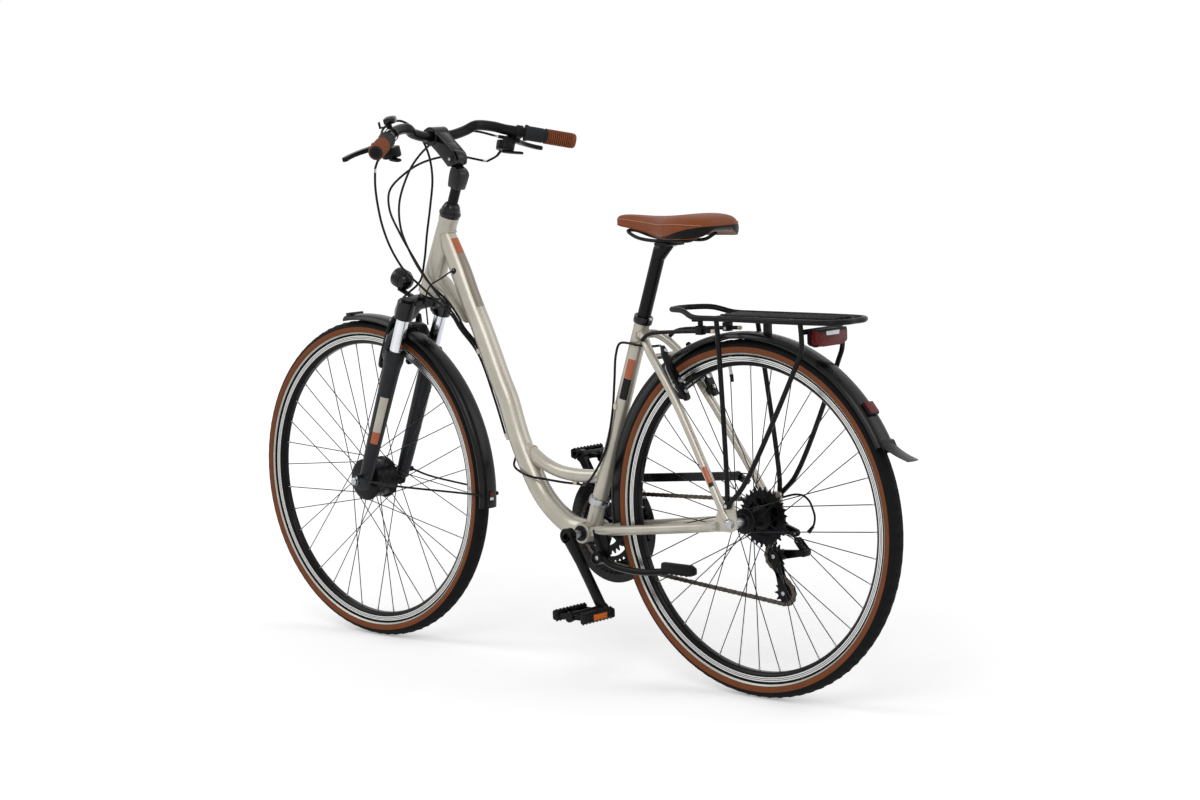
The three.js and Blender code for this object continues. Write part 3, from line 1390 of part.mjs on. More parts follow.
function bell() {
  const cup = turned(bellShares.map(([radius, y]) => [bellRadius * radius, bellRadius * y]), roundSides);
  cup.rotateX(Math.PI / 2).translate(bellPlace.x, bellPlace.y, bellPlace.z);
  const band = ring(barRadius + bellBandWall, barRadius + bellBandGap, -bellBandHalf, bellBandHalf);
  const foot = box(
    at(-bellBandHalf, bellPlace.y - bellBandHalf, barRadius + overrun),
    at(bellBandHalf, bellPlace.y + bellBandHalf, bellPlace.z + overrun),
  );
  return join(cup, moved(band, 0, bellPlace.y, 0), foot);
}

function bellStriker() {
  return join(block(strikerShares, bellRadius, bellPlace), block(strikerTipShares, bellRadius, bellPlace));
}

add(bicycle, "bell", onBar(bell()), "black");
add(bicycle, "bell_striker", onBar(bellStriker()), "satin");

// Cranks, pedals and chainrings
const crankAngle = 54.2;
const crankNear = 66;
const crankOuter = 80;
const crankLap = 4;
const crankWidth = 26;
const crankTipWidth = 20;
const crankBossRadius = 16;
const crankBend = 60;
const crankStep = 2;
const crankEndNear = 76;
const crankEndFar = 90;
const pedalNear = 94;
const pedalWide = 88;
const pedalEnd = 8;
const pedalLong = 92;
const pedalHigh = 24;
const pedalAxle = 5.5;
const pedalBarrel = 11;
const pedalCap = 4;
const ringSpacing = 7.5;
const ringThick = 3;
const ringHubRadius = 22;
const spiderRadius = 64;
const spiderRoot = 14;
const spiderLap = 4;
const spiderArms = 5;
const spiderWide = 14;
const spindleOverhang = 8;

function crankArm() {
  const section = (x, near, far, wide) => [
    at(x, near, -wide / 2), at(x, near, wide / 2), at(x, far, wide / 2), at(x, far, -wide / 2),
  ];
  const boss = disc(crankBossRadius, crankNear - crankLap, crankOuter);
  const arm = loft([
    section(0, crankNear, crankOuter, crankWidth),
    section(crankBend, crankNear + crankStep, crankOuter + crankStep, crankTipWidth),
    section(crankLength, crankEndNear, crankEndFar, crankTipWidth),
  ]);
  const eye = moved(disc(crankWidth / 2, crankEndNear, crankEndFar), crankLength, 0, 0);
  const end = pedalNear + pedalWide - pedalEnd;
  const spindle = rod(at(crankLength, crankEndFar - overrun, 0), at(crankLength, end, 0), pedalAxle, pedalAxle, barSides);
  return join(boss, arm, eye, spindle);
}

const rightTurn = -radians(crankAngle);

function crankLeft() {
  const spindle = rod(at(0, -shellHalf - spindleOverhang, 0), at(0, crankNear, 0), spindleRadius, spindleRadius, roundSides);
  return join(crankArm().rotateY(rightTurn + Math.PI), spindle);
}

function crankRight() {
  return mirrored(crankArm()).rotateY(rightTurn);
}

function chainrings() {
  const outerY = -chainLine - ringSpacing;
  const innerY = -chainLine + ringSpacing;
  const rings = ringTeeth.map((teeth, i) => {
    const y = -chainLine + (i - 1) * ringSpacing;
    const bore = i === 2 ? spindleBore : spiderRadius - spiderLap;
    const full = i === chainRing;
    return sprocket(teeth, bore, y - ringThick / 2, y + ringThick / 2, full, full ? pinPhase(0) : 0);
  });
  const arms = [];
  for (let i = 0; i < spiderArms; i += 1) {
    const turn = (i * 2 * Math.PI) / spiderArms;
    const arm = box(at(spiderRoot, outerY, -spiderWide / 2), at(spiderRadius, -chainLine, spiderWide / 2));
    arms.push(arm.rotateY(turn));
  }
  const hub = ring(ringHubRadius, spindleBore, -crankNear + crankLap + clearance, innerY, roundSides);
  return join(hub, arms, rings);
}

add(drive, "crank_left", crankLeft(), "black");
add(drive, "crank_right", crankRight(), "black");
add(drive, "chainrings", chainrings(), "satin");

// Pedals: a bored barrel, two treads and the end plates
const treadShares = [[-1, -0.17], [-1, 0.17], [-0.87, 0.26], [-0.65, 0.26], [-0.65, -0.26], [-0.87, -0.26]];
const plateShares = [[-0.83, 0, -0.13], [0.83, 0.22, 0.13]];
const pedalInset = 2;

function pedal() {
  const far = pedalNear + pedalWide;
  const half = pedalLong / 2;
  const bore = boreFor(pedalAxle, barSides);
  const barrel = ring(pedalBarrel, bore, pedalNear, far - pedalCap, barSides);
  const cap = disc(pedalBarrel, far - pedalCap, far, barSides);
  const tread = sidePlate(sized(treadShares, half), pedalNear + pedalInset, far - pedalInset);
  const other = tread.clone().rotateY(Math.PI);
  const inner = block(plateShares, half, at(0, pedalNear + pedalInset, 0));
  const outer = block(plateShares, half, at(0, far - pedalHigh / 2, 0));
  const hole = disc(bore, pedalNear - overrun, far - pedalCap, barSides);
  return cut(join(barrel, cap, tread, other, inner, outer), hole);
}

const crankEnd = at(Math.cos(rightTurn), 0, -Math.sin(rightTurn)).multiplyScalar(crankLength);
add(drive, "pedal_left", moved(pedal(), -crankEnd.x, 0, -crankEnd.z), "satin");
add(drive, "pedal_right", moved(mirrored(pedal()), crankEnd.x, 0, crankEnd.z), "satin");

// Rear derailleur: knuckle at the hanger, swinging links with the lower knuckle, cage and two jockey wheels
const jockeyThick = 2.4;
const jockeyBore = 4;
const jockeyPin = 3;
const jockeyNave = 8;
const jockeySide = 1.2;
const cageGap = 5.6;
const cageThick = 1.6;
const cageWide = 20;
const cageEnd = 8;
const knuckleSize = 30;
const knuckleRadius = 10;
const knuckleDeep = 15;
const boltLap = 2;
const knuckleShares = [[-1.2, -0.47, -0.47], [0, -0.17, 0.07]];
const linkShares = [[-2, -0.5, -1.13], [-0.8, -0.1, -0.48]];
const linkFootShares = [[-2, -0.5, -1.7], [-1.1, -0.1, -1.1]];
const pivotRadius = 11;
const pivotFar = 16;
const pivotArmHalf = 6;

function jockey(phase) {
  const wheel = sprocket(jockeyTeeth, jockeyBore, -jockeyThick / 2, jockeyThick / 2, true, phase);
  return join(ring(jockeyNave, jockeyBore, jockeySide - cageGap, cageGap - jockeySide, barSides), wheel);
}

function derailleurKnuckle() {
  const { x, y, z } = hanger;
  const half = eyeletRadius / 2;
  const bolt = rod(at(x, y + boltLap, z), at(x, y - knuckleDeep, z), half, half, barSides);
  const seat = at(x, y - dropoutThick / 2 - clearance, z);
  const body = rod(seat, at(x, y - knuckleDeep, z), knuckleRadius, knuckleRadius);
  return join(bolt, body, block(knuckleShares, knuckleSize, hanger));
}

// The links end in the lower knuckle, which carries the cage's pivot outside the outer plate
function derailleurLinks() {
  const near = -chainLine - cageGap - cageThick - 1 - clearance;
  const lower = at(jockeyUpper.x, near, jockeyUpper.z);
  const knuckle = rod(lower, at(lower.x, near - pivotFar, lower.z), pivotRadius, pivotRadius);
  const foot = block(linkFootShares, knuckleSize, hanger);
  const reach = box(
    at(hanger.x - knuckleSize * 2, near - pivotFar, lower.z - pivotArmHalf),
    at(lower.x, near - pivotFar / 2, lower.z + pivotArmHalf),
  );
  return join(block(linkShares, knuckleSize, hanger), foot, knuckle, reach);
}

function cagePlate(y1, y2) {
  const run = jockeyLower.clone().sub(jockeyUpper);
  const plate = box(at(-cageWide / 2, y1, -run.length() - cageEnd), at(cageWide / 2, y2, cageEnd));
  plate.rotateY(Math.atan2(-run.x, -run.z));
  return plate.translate(jockeyUpper.x, 0, jockeyUpper.z);
}

function derailleurCage() {
  const far = cageGap + cageThick;
  const outer = cagePlate(-chainLine - far, -chainLine - cageGap);
  const inner = cagePlate(-chainLine + cageGap, -chainLine + far);
  const bolts = [jockeyUpper, jockeyLower].map((p) =>
    rod(at(p.x, -chainLine - far - 1, p.z), at(p.x, -chainLine + far + 1, p.z), jockeyPin, jockeyPin, barSides));
  return join(outer, inner, bolts);
}

add(bicycle, "derailleur_knuckle", derailleurKnuckle(), "satin");
add(bicycle, "derailleur_links", derailleurLinks(), "satin");
add(bicycle, "derailleur_cage", derailleurCage(), "satin");
add(bicycle, "jockey_upper", moved(jockey(pinPhase(2)), jockeyUpper.x, jockeyUpper.y, jockeyUpper.z), "satin");
add(bicycle, "jockey_lower", moved(jockey(pinPhase(1)), jockeyLower.x, jockeyLower.y, jockeyLower.z), "satin");

// Chain: pin places at one pitch round the ring, the cog and the two jockey wheels
const plateHigh = 8;
const rollerLong = 4.2;
const chainInner = 2.3;
const chainOuter = 3.9;

function chainSections() {
  const sections = [];
  for (let i = 0; i < chainLinks; i += 1) {
    const pin = i * pinStep;
    for (const offset of [-rollerLong / 2, rollerLong / 2]) {
      const p = onRoute(pin + offset);
      const ahead = onRoute(pin + offset + 1).sub(onRoute(pin + offset - 1)).normalize();
      const out = at(-ahead.z, 0, ahead.x).multiplyScalar(plateHigh / 2);
      sections.push([-chainOuter, -chainInner, chainInner, chainOuter].map((y) =>
        [p.clone().add(out).setY(p.y + y), p.clone().sub(out).setY(p.y + y)]));
    }
  }
  return sections;
}

// Two side bands all the way round, joined by a roller block at each pin
function chain() {
  const positions = [];
  const quad = (a, b, c, d) => {
    for (const p of [a, b, c, a, c, d]) positions.push(p.x, p.y, p.z);
  };
  const sections = chainSections();
  for (let i = 0; i < sections.length; i += 1) {
    const a = sections[i];
    const b = sections[(i + 1) % sections.length];
    const roller = i % 2 === 0;
    const bands = roller ? [[0, 1], [1, 2], [2, 3]] : [[0, 1], [2, 3]];
    for (const [l, r] of bands) {
      quad(a[l][0], b[l][0], b[r][0], a[r][0]);
      quad(a[l][1], a[r][1], b[r][1], b[l][1]);
    }
    quad(a[0][1], b[0][1], b[0][0], a[0][0]);
    quad(a[3][0], b[3][0], b[3][1], a[3][1]);
    if (roller) {
      quad(a[1][1], a[1][0], a[2][0], a[2][1]);
      quad(b[1][0], b[1][1], b[2][1], b[2][0]);
    } else {
      quad(a[1][0], b[1][0], b[1][1], a[1][1]);
      quad(a[2][1], b[2][1], b[2][0], a[2][0]);
    }
  }
  const geometry = new THREE.BufferGeometry();
  geometry.setAttribute("position", new THREE.Float32BufferAttribute(positions, 3));
  return geometry;
}

add(bicycle, "chain", chain(), "chainMetal");

// Chainguard: a ring outside the chainrings and a strip over the upper run, held at the right seatstay
const guardRingOuter = 117;
const guardRingInner = 78;
const guardRingNear = 61.5;
const guardRingFar = 64;
const guardStripHigh = 17;
const guardStripFar = 69.5;
const guardTabFar = 75;
const guardRearX = 92;
const guardRearZ = 418;
const guardFrontZ = 386;
const guardFront = 40;
const guardFrontStep = 20;
const guardSides = 24;
const guardPlate = 3;
const guardPegRadius = 5;
const guardTabShares = [[0.6, 0.5], [-1.3, -0.5], [-0.94, -1], [0.6, -0.5]];
const guardStayShares = [0.22, 0.22, 0.89];

function chainguard() {
  const { x, z } = bracket;
  const plate = moved(ring(guardRingOuter, guardRingInner, -guardRingFar, -guardRingNear, guardSides), x, 0, z);
  const half = guardStripHigh / 2;
  const strip = sidePlate([
    [x + guardFront, guardFrontZ - half - overrun],
    [x + guardFrontStep, guardFrontZ + half],
    [guardRearX, guardRearZ + half],
    [guardRearX, guardRearZ - half],
  ], -guardStripFar, -guardRingNear);
  const tabOutline = sized(guardTabShares, guardStripHigh, guardRearX, guardRearZ);
  const tab = sidePlate(tabOutline, -guardTabFar, overrun - guardStripFar);
  const stay = stayPoint(guardStayShares);
  const peg = rod(at(stay.x, -stay.y - seatstayRadius - clearance, stay.z), at(stay.x, -guardTabFar, stay.z),
    guardPegRadius, guardPegRadius, wireSides);
  const arm = box(
    at(stay.x - guardPegRadius, -guardTabFar, stay.z - guardPegRadius),
    at(guardRearX + guardPegRadius, guardPlate - guardTabFar, guardRearZ + guardPegRadius),
  );
  return join(plate, strip, tab, peg, arm);
}

add(bicycle, "chainguard", chainguard(), "black");

// Front derailleur: clamp and body on the seat tube, and its swinging cage over the chain
const mechRise = 62;
const mechBand = 5;
const mechWide = 14;
const mechCageGap = 6;
const mechCageThick = 1.5;
const mechSize = 100;
const mechBodyFar = 32;
const mechSwingGap = 0.9;
const mechBodyShares = [[-0.08, 0.04], [0.12, 0.54]];
const mechTopShares = [[-0.28, 1.14], [0.06, 1.18]];
const mechArmShares = [[-0.3, 0.92], [-0.16, 1.08]];
const mechOuterShares = [
  [-0.98, 0.66], [-0.84, 0.64], [-0.7, 0.78], [-0.5, 0.92], [-0.25, 1.02], [0.1, 1.05], [0.14, 1.18],
  [-0.3, 1.2], [-0.7, 1.02], [-0.98, 0.82],
];
const mechInnerShares = [
  [-0.98, 0.62], [-0.55, 0.62], [-0.3, 0.75], [0.1, 0.8], [0.26, 0.86], [0.14, 1.18], [-0.3, 1.2],
  [-0.7, 1.02], [-0.98, 0.82],
];

// A block between two values of y, from shares of the derailleur's size in X and Z
function mechBlock(shares, origin, y1, y2) {
  const [[x1, z1], [x2, z2]] = sized(shares, mechSize, origin.x, origin.z);
  return box(at(x1, y1, z1), at(x2, y2, z2));
}

function frontDerailleur() {
  const low = onSeat(mechRise);
  const outer = seatTubeRadius + mechBand;
  const inner = boreFor(seatTubeRadius, roundSides);
  const band = rod(low, onSeat(mechRise + mechWide), outer, outer, roundSides);
  const hole = rod(onSeat(mechRise - mechWide), onSeat(mechRise + mechWide * 2), inner, inner, roundSides);
  return cut(join(band, mechBlock(mechBodyShares, low, -mechBodyFar, -seatTubeRadius - overrun)), hole);
}

function frontMechCage() {
  const plate = (shares, y) => sidePlate(sized(shares, mechSize, bracket.x, bracket.z), y, y + mechCageThick);
  const inner = -chainLine + mechCageGap;
  const outer = -chainLine - mechCageGap - mechCageThick;
  const top = mechBlock(mechTopShares, bracket, outer, inner + mechCageThick);
  const arm = mechBlock(mechArmShares, bracket, inner, -mechBodyFar - mechSwingGap);
  return join(plate(mechInnerShares, inner), plate(mechOuterShares, outer), top, arm);
}

add(bicycle, "front_derailleur", frontDerailleur(), "satin");
add(bicycle, "front_derailleur_cage", frontMechCage(), "silver");

// Kickstand leg, folded back along the left chainstay
const standLegRadius = 7;
const standLegSize = 100;
const standLegShares = [[0, 0.03, 0], [-0.36, 0.02, -0.12], [-1.1, 0.02, -0.18], [-1.79, 0.06, -0.1]];
const standFootShares = [[-2.61, -0.01, -0.14], [-1.73, 0.13, 0.1]];
const standHubRadius = 13;
const standHubNear = -6.7;
const standHubFar = 14;
const standHoleReach = 30;

function kickstandLeg() {
  const along = (distance) => standPivot.clone().addScaledVector(standTilt, distance);
  const bore = boreFor(standPinRadius, barSides);
  const hub = rod(along(standHubNear), along(standHubFar), standHubRadius, standHubRadius);
  const leg = tube(placed(standLegShares, standLegSize, standPivot), standLegRadius, wireSides, barSides);
  const foot = block(standFootShares, standLegSize, standPivot);
  const hole = rod(along(-standHoleReach), along(standHoleReach), bore, bore, barSides);
  return cut(join(hub, leg, foot), hole);
}

add(bicycle, "kickstand_leg", kickstandLeg(), "black");

// Brake and shift housings, along hand-set points
const cableRadius = 2.5;
const cableSize = 100;
const cableSteps = 22;
const cableSides = 4;
const frontBrakeShares = [
  [8.29, 1.665, 10.89], [8.62, 1.38, 11.12], [8.7, 1.1, 11.28], [8.72, 0.75, 11.32], [8.72, 0.4, 11.15],
  [8.76, 0.08, 10.84], [8.8, -0.12, 10.46], [8.86, -0.22, 10.03], [8.96, -0.22, 9.48], [9.08, -0.2, 8.88],
  [9.18, -0.18, 8.29], [9.3, -0.14, 7.86], [9.44, 0.2, 7.56], [9.54, 0.33, 7.37], [9.59, 0.36, 7.19],
];
const rearBrakeShares = [
  [8.29, -1.665, 10.89], [8.65, -1.32, 11.02], [9.15, -1.1, 10.98], [9.55, -0.85, 10.76], [9.76, -0.54, 10.38],
  [9.84, -0.32, 9.97], [9.82, -0.12, 9.54], [9.6, 0.08, 9.04], [9.2, 0.24, 8.57], [8.76, 0.34, 8.13],
  [8.42, 0.34, 7.81], [8.02, 0.28, 7.5], [7.8, 0.22, 7.2], [7.66, 0.19, 6.96], [7.395, -0.08, 6.42],
  [6.942, -0.08, 5.47], [6.643, -0.08, 4.672], [6.5, -0.04, 4.3], [6.38, 0.14, 4.11], [6, 0.285, 3.99],
  [5.75, 0.28, 3.93], [5.49, 0.18, 3.89], [5, 0.08, 3.84], [4.7, 0.02, 3.825], [4.45, 0.09, 3.83],
  [4.28, 0.19, 3.88], [4.1, 0.205, 4.03], [3.71, 0.195, 4.6], [3.48, 0.192, 5.39], [3.44, 0.14, 6.04],
  [3.37, 0.15, 6.54], [3.23, 0.18, 6.78], [2.95, 0.2, 6.8], [2.75, 0.2, 6.77], [2.56, 0.165, 6.76],
  [2.35, 0.155, 6.76], [2.18, 0.19, 6.78], [2.08, 0.25, 6.79], [2.01, 0.31, 6.79],
];
const leftShiftShares = [
  [8.36, 1.86, 10.36], [8.4, 1.84, 10.0], [8.46, 1.74, 9.6], [8.5, 1.6, 9.16], [8.52, 1.36, 8.66],
  [8.48, 1.04, 8.18], [8.42, 0.74, 7.9], [8.34, 0.58, 7.72], [8.08, 0.46, 7.46], [7.82, 0.35, 7.19],
  [7.66, 0.32, 6.95], [7.395, 0.08, 6.42], [6.942, 0.08, 5.47], [6.643, 0.08, 4.672],
];
const rightShiftShares = [
  [8.6, -1.62, 10.36], [9.28, -1.22, 10.5], [9.72, -0.76, 10.38], [9.93, -0.35, 10.12], [9.93, 0.04, 9.82],
  [9.68, 0.3, 9.42], [9.22, 0.45, 8.92], [8.76, 0.48, 8.37], [8.44, 0.46, 7.96], [8.16, 0.4, 7.62],
  [7.84, 0.285, 7.22], [7.67, 0.255, 6.97], [7.395, 0, 6.42], [6.942, 0, 5.47], [6.643, 0, 4.672],
];

function cable(shares, steps) {
  return tube(placed(shares, cableSize), cableRadius, steps, cableSides);
}

add(bicycle, "brake_cable_front", cable(frontBrakeShares, cableSteps), "rubber");
add(bicycle, "brake_cable_rear", cable(rearBrakeShares, cableSteps * 2), "rubber");
add(bicycle, "shift_cable_left", cable(leftShiftShares, cableSteps), "rubber");
add(bicycle, "shift_cable_right", cable(rightShiftShares, cableSteps), "rubber");

export default bicycle;
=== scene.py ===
"""The looks of a step-through trekking bicycle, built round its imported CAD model."""

import json
import logging
import math
from dataclasses import dataclass
from enum import Enum
from typing import Callable, Optional, Sequence

import bpy
from mathutils import Matrix, Vector

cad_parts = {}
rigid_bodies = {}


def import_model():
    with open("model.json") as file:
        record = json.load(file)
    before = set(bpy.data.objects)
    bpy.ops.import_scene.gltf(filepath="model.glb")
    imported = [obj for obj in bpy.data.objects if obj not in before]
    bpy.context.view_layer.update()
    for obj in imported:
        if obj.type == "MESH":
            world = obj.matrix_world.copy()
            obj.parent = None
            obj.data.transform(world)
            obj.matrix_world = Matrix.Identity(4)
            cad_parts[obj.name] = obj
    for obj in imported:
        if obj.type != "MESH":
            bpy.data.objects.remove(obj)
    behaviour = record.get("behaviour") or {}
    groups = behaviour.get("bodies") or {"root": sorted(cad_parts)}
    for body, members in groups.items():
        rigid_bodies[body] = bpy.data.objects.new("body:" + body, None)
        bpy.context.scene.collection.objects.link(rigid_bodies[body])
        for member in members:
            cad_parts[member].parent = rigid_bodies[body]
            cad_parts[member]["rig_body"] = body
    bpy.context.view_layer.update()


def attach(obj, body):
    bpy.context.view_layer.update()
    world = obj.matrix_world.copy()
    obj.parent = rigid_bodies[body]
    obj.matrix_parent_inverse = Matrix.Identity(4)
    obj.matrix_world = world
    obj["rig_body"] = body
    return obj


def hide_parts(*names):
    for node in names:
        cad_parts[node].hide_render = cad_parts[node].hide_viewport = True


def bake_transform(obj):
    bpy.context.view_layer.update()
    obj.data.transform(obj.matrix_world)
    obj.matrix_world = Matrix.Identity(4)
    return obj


LOG = logging.getLogger("bicycle")

# Driving dimensions, in mm: +X forward from the rear axle, +Y to the rider's left, +Z up from the ground
MM = 0.001
MIDDLE = 526.0
WHEEL_RADIUS = 349.0
WHEELBASE = 1088.0
BRACKET = Vector((434.0, 0.0, 288.0))
REAR_AXLE = Vector((0.0, 0.0, WHEEL_RADIUS))
FORK_OFFSET = 36.0
HEAD_ANGLE = math.radians(68.0)
SEAT_ANGLE = math.radians(69.9)
HEAD_UP = Vector((-math.cos(HEAD_ANGLE), 0.0, math.sin(HEAD_ANGLE)))
HEAD_AHEAD = Vector((math.sin(HEAD_ANGLE), 0.0, math.cos(HEAD_ANGLE)))
SEAT_UP = Vector((-math.cos(SEAT_ANGLE), 0.0, math.sin(SEAT_ANGLE)))
STEER_FOOT = Vector((WHEELBASE, 0.0, WHEEL_RADIUS)) - HEAD_AHEAD * FORK_OFFSET
BAR_CENTRE = STEER_FOOT + HEAD_AHEAD * 89.6 + HEAD_UP * 784.0
BAR_START = BAR_CENTRE + Vector((-38.1, 165.0, 8.0))
BAR_END = BAR_CENTRE + Vector((-127.0, 290.0, -23.9))

# How fine and how strict the modelling is: merging in mm, angles in radians
MERGE_DISTANCE = 0.002
EDGE_ANGLE = math.radians(32)
MELT_ANGLE = math.radians(1.5)
FULL_TURN = 2 * math.pi
MARCH = 0.5
MARCH_STEPS = 400
FILM_COLUMNS = 17

Profile = Sequence[tuple[float, float]]
Points = Sequence[Vector]


def vec(x: float, y: float, z: float) -> Vector:
    """A point or a direction, in mm."""
    return Vector((x, y, z))


def basis(x_axis: Vector, y_axis: Vector, z_axis: Vector, origin: Vector) -> Matrix:
    """A matrix that carries a part's own axes to the bicycle's.

    Args:
        x_axis: Where the part's X goes.
        y_axis: Where the part's Y goes.
        z_axis: Where the part's Z goes.
        origin: Where the part's origin goes.

    Returns:
        The matrix, in mm.
    """
    turn = Matrix((x_axis, y_axis, z_axis)).transposed().to_4x4()
    return Matrix.Translation(origin) @ turn


BAR_OUT = (BAR_END - BAR_START).normalized()
BAR_AHEAD = (Vector((1, 0, 0)) - BAR_OUT * BAR_OUT.x).normalized()
MIRROR = Matrix.Scale(-1, 4, Vector((0, 1, 0)))
BIKE = Matrix.Translation((-MIDDLE * MM, 0, 0)) @ Matrix.Scale(MM, 4)
STEERING = BIKE @ basis(HEAD_AHEAD, Vector((0, 1, 0)), HEAD_UP, STEER_FOOT)
BAR_LEFT = BIKE @ basis(BAR_AHEAD, BAR_OUT, BAR_AHEAD.cross(BAR_OUT), BAR_START)
BAR_RIGHT = MIRROR @ BAR_LEFT


def on_seat_tube(distance: float) -> Vector:
    """A point on the seat tube's axis, so many mm above the bottom bracket."""
    return BRACKET + SEAT_UP * distance


class Pattern(Enum):
    """How a finish varies over its surface."""

    CLOUDED = "clouded"
    BRUSHED = "brushed"
    PEBBLED = "pebbled"
    SPUN = "spun"


def linear(colour: str) -> tuple[float, float, float, float]:
    """Turn an sRGB hex colour into the linear one that Blender's sockets take."""
    parts = [int(colour[i : i + 2], 16) / 255 for i in (1, 3, 5)]
    channels = [c / 12.92 if c <= 0.04045 else ((c + 0.055) / 1.055) ** 2.4 for c in parts]
    return (channels[0], channels[1], channels[2], 1.0)


def add_node(
    tree: bpy.types.NodeTree, kind: str, inputs: Optional[dict] = None, **settings: object
) -> bpy.types.Node:
    """Add a node with its settings, and set or link its inputs.

    Args:
        tree: The node tree.
        kind: The node's type name.
        inputs: Each input's name or number, with a value or the socket it is linked from.
        settings: The node's own properties.

    Returns:
        The new node.
    """
    node = tree.nodes.new(kind)
    for key, value in settings.items():
        setattr(node, key, value)
    for key, value in (inputs or {}).items():
        if isinstance(value, bpy.types.NodeSocket):
            tree.links.new(value, node.inputs[key])
        else:
            node.inputs[key].default_value = value
    return node


@dataclass(frozen=True)
class Finish:
    """A surface: its two shades, its gloss and its grain."""

    name: str
    colour: str
    shade: str
    roughness: float
    metallic: float = 0.0
    spread: float = 0.06
    cloud_mm: float = 30.0
    grain_mm: float = 0.8
    bump: float = 0.15
    coat: float = 0.0
    pattern: Pattern = Pattern.CLOUDED
    clear: float = 0.0
    glow: float = 0.0
    centre: tuple[float, float] = (0.0, 0.0)
    specular: float = 0.5

    def material(self) -> bpy.types.Material:
        """The node material of this finish, made on its first use.

        Returns:
            The material.
        """
        known = bpy.data.materials.get(self.name)
        if known is not None:
            return known
        made = bpy.data.materials.new(self.name)
        made.use_nodes = True
        tree = made.node_tree
        shader = tree.nodes["Principled BSDF"]
        place = add_node(tree, "ShaderNodeTexCoord").outputs["Object"]
        clouds = add_node(
            tree, "ShaderNodeTexNoise", {"Vector": place, "Scale": 1000 / self.cloud_mm, "Detail": 3.0}
        ).outputs["Fac"]
        grain = self._grain(tree, place)
        mixed = add_node(
            tree, "ShaderNodeMath", {0: clouds, 1: grain}, operation="MULTIPLY_ADD"
        )
        mixed.inputs[2].default_value = 0.15
        ramp = add_node(tree, "ShaderNodeValToRGB", {"Fac": mixed.outputs[0]})
        ramp.color_ramp.elements[0].position = 0.2
        ramp.color_ramp.elements[0].color = linear(self.shade)
        ramp.color_ramp.elements[1].position = 0.6
        ramp.color_ramp.elements[1].color = linear(self.colour)
        tree.links.new(ramp.outputs["Color"], shader.inputs["Base Color"])
        gloss = add_node(
            tree,
            "ShaderNodeMapRange",
            {
                "Value": clouds,
                "To Min": max(self.roughness - self.spread, 0.02),
                "To Max": min(self.roughness + self.spread, 1.0),
            },
        )
        tree.links.new(gloss.outputs["Result"], shader.inputs["Roughness"])
        relief = add_node(
            tree,
            "ShaderNodeBump",
            {"Height": grain, "Strength": self.bump, "Distance": self.grain_mm * MM / 2},
        )
        tree.links.new(relief.outputs["Normal"], shader.inputs["Normal"])
        shader.inputs["Metallic"].default_value = self.metallic
        shader.inputs["Specular IOR Level"].default_value = self.specular
        shader.inputs["Coat Weight"].default_value = self.coat
        shader.inputs["Coat Roughness"].default_value = 0.08
        shader.inputs["Transmission Weight"].default_value = self.clear
        if self.glow:
            shader.inputs["Emission Color"].default_value = linear(self.colour)
            shader.inputs["Emission Strength"].default_value = self.glow
        return made

    def _grain(self, tree: bpy.types.NodeTree, place: bpy.types.NodeSocket) -> bpy.types.NodeSocket:
        """The fine relief of the finish, as a height.

        Args:
            tree: The material's node tree.
            place: The object coordinates.

        Returns:
            The socket that gives the height.
        """
        scale = 1000 / self.grain_mm
        if self.pattern is Pattern.PEBBLED:
            cells = add_node(tree, "ShaderNodeTexVoronoi", {"Vector": place, "Scale": scale})
            return cells.outputs["Distance"]
        if self.pattern is Pattern.BRUSHED:
            streaks = add_node(tree, "ShaderNodeMapping", {"Vector": place, "Scale": (0.06, 1.0, 1.0)})
            place = streaks.outputs["Vector"]
        if self.pattern is Pattern.SPUN:
            middle = (-self.centre[0], 0.0, -self.centre[1])
            centred = add_node(tree, "ShaderNodeMapping", {"Vector": place, "Location": middle})
            rings = add_node(
                tree, "ShaderNodeTexWave", {"Vector": centred.outputs["Vector"], "Scale": scale / 6, "Distortion": 0.4},
                wave_type="RINGS", rings_direction="Y",
            )
            return rings.outputs["Fac"]
        noise = add_node(tree, "ShaderNodeTexNoise", {"Vector": place, "Scale": scale, "Detail": 2.0})
        return noise.outputs["Fac"]


# Metallic lacquer over alloy tubes: flakes too fine to see singly give a soft silvery champagne
PAINT = Finish("metallic_lacquer_champagne", "#beb8ab", "#a29c8f", 0.34, 0.45, 0.05, 60, 0.7, 0.05, 0.5)
# The same lacquer under a darker stripe
STRIPE = Finish("metallic_lacquer_taupe", "#857b6c", "#766c5f", 0.36, 0.4, 0.05, 60, 0.7, 0.05, 0.5)
# Copper-orange decal film with a clear coat
ORANGE = Finish("decal_film_copper", "#b0582c", "#9a4a24", 0.4, 0.2, 0.04, 20, 1.2, 0.05, 0.3)
# Black decal film
BLACK_FILM = Finish("decal_film_black", "#161515", "#100f0f", 0.42, 0.0, 0.04, 20, 1.2, 0.05, 0.1, specular=0.14)
# Aluminium weld bead under the lacquer: the same colour, with ripples
WELD = Finish("lacquered_weld_bead", "#b7af9f", "#9c9384", 0.4, 0.45, 0.08, 6, 1.6, 0.6, 0.4)
# Black anodised aluminium: deep grey-black with a fine satin tooth
ANODISED = Finish("anodised_aluminium_black", "#121315", "#0b0b0c", 0.3, 0.2, 0.08, 18, 0.8, 0.12, specular=0.14)
# Black gloss powder coat, as on the stem and the headset
GLOSS_BLACK = Finish(
    "powder_coat_gloss_black", "#0a0a0c", "#060607", 0.16, 0.0, 0.05, 25, 1.5, 0.06, 0.15, specular=0.22
)
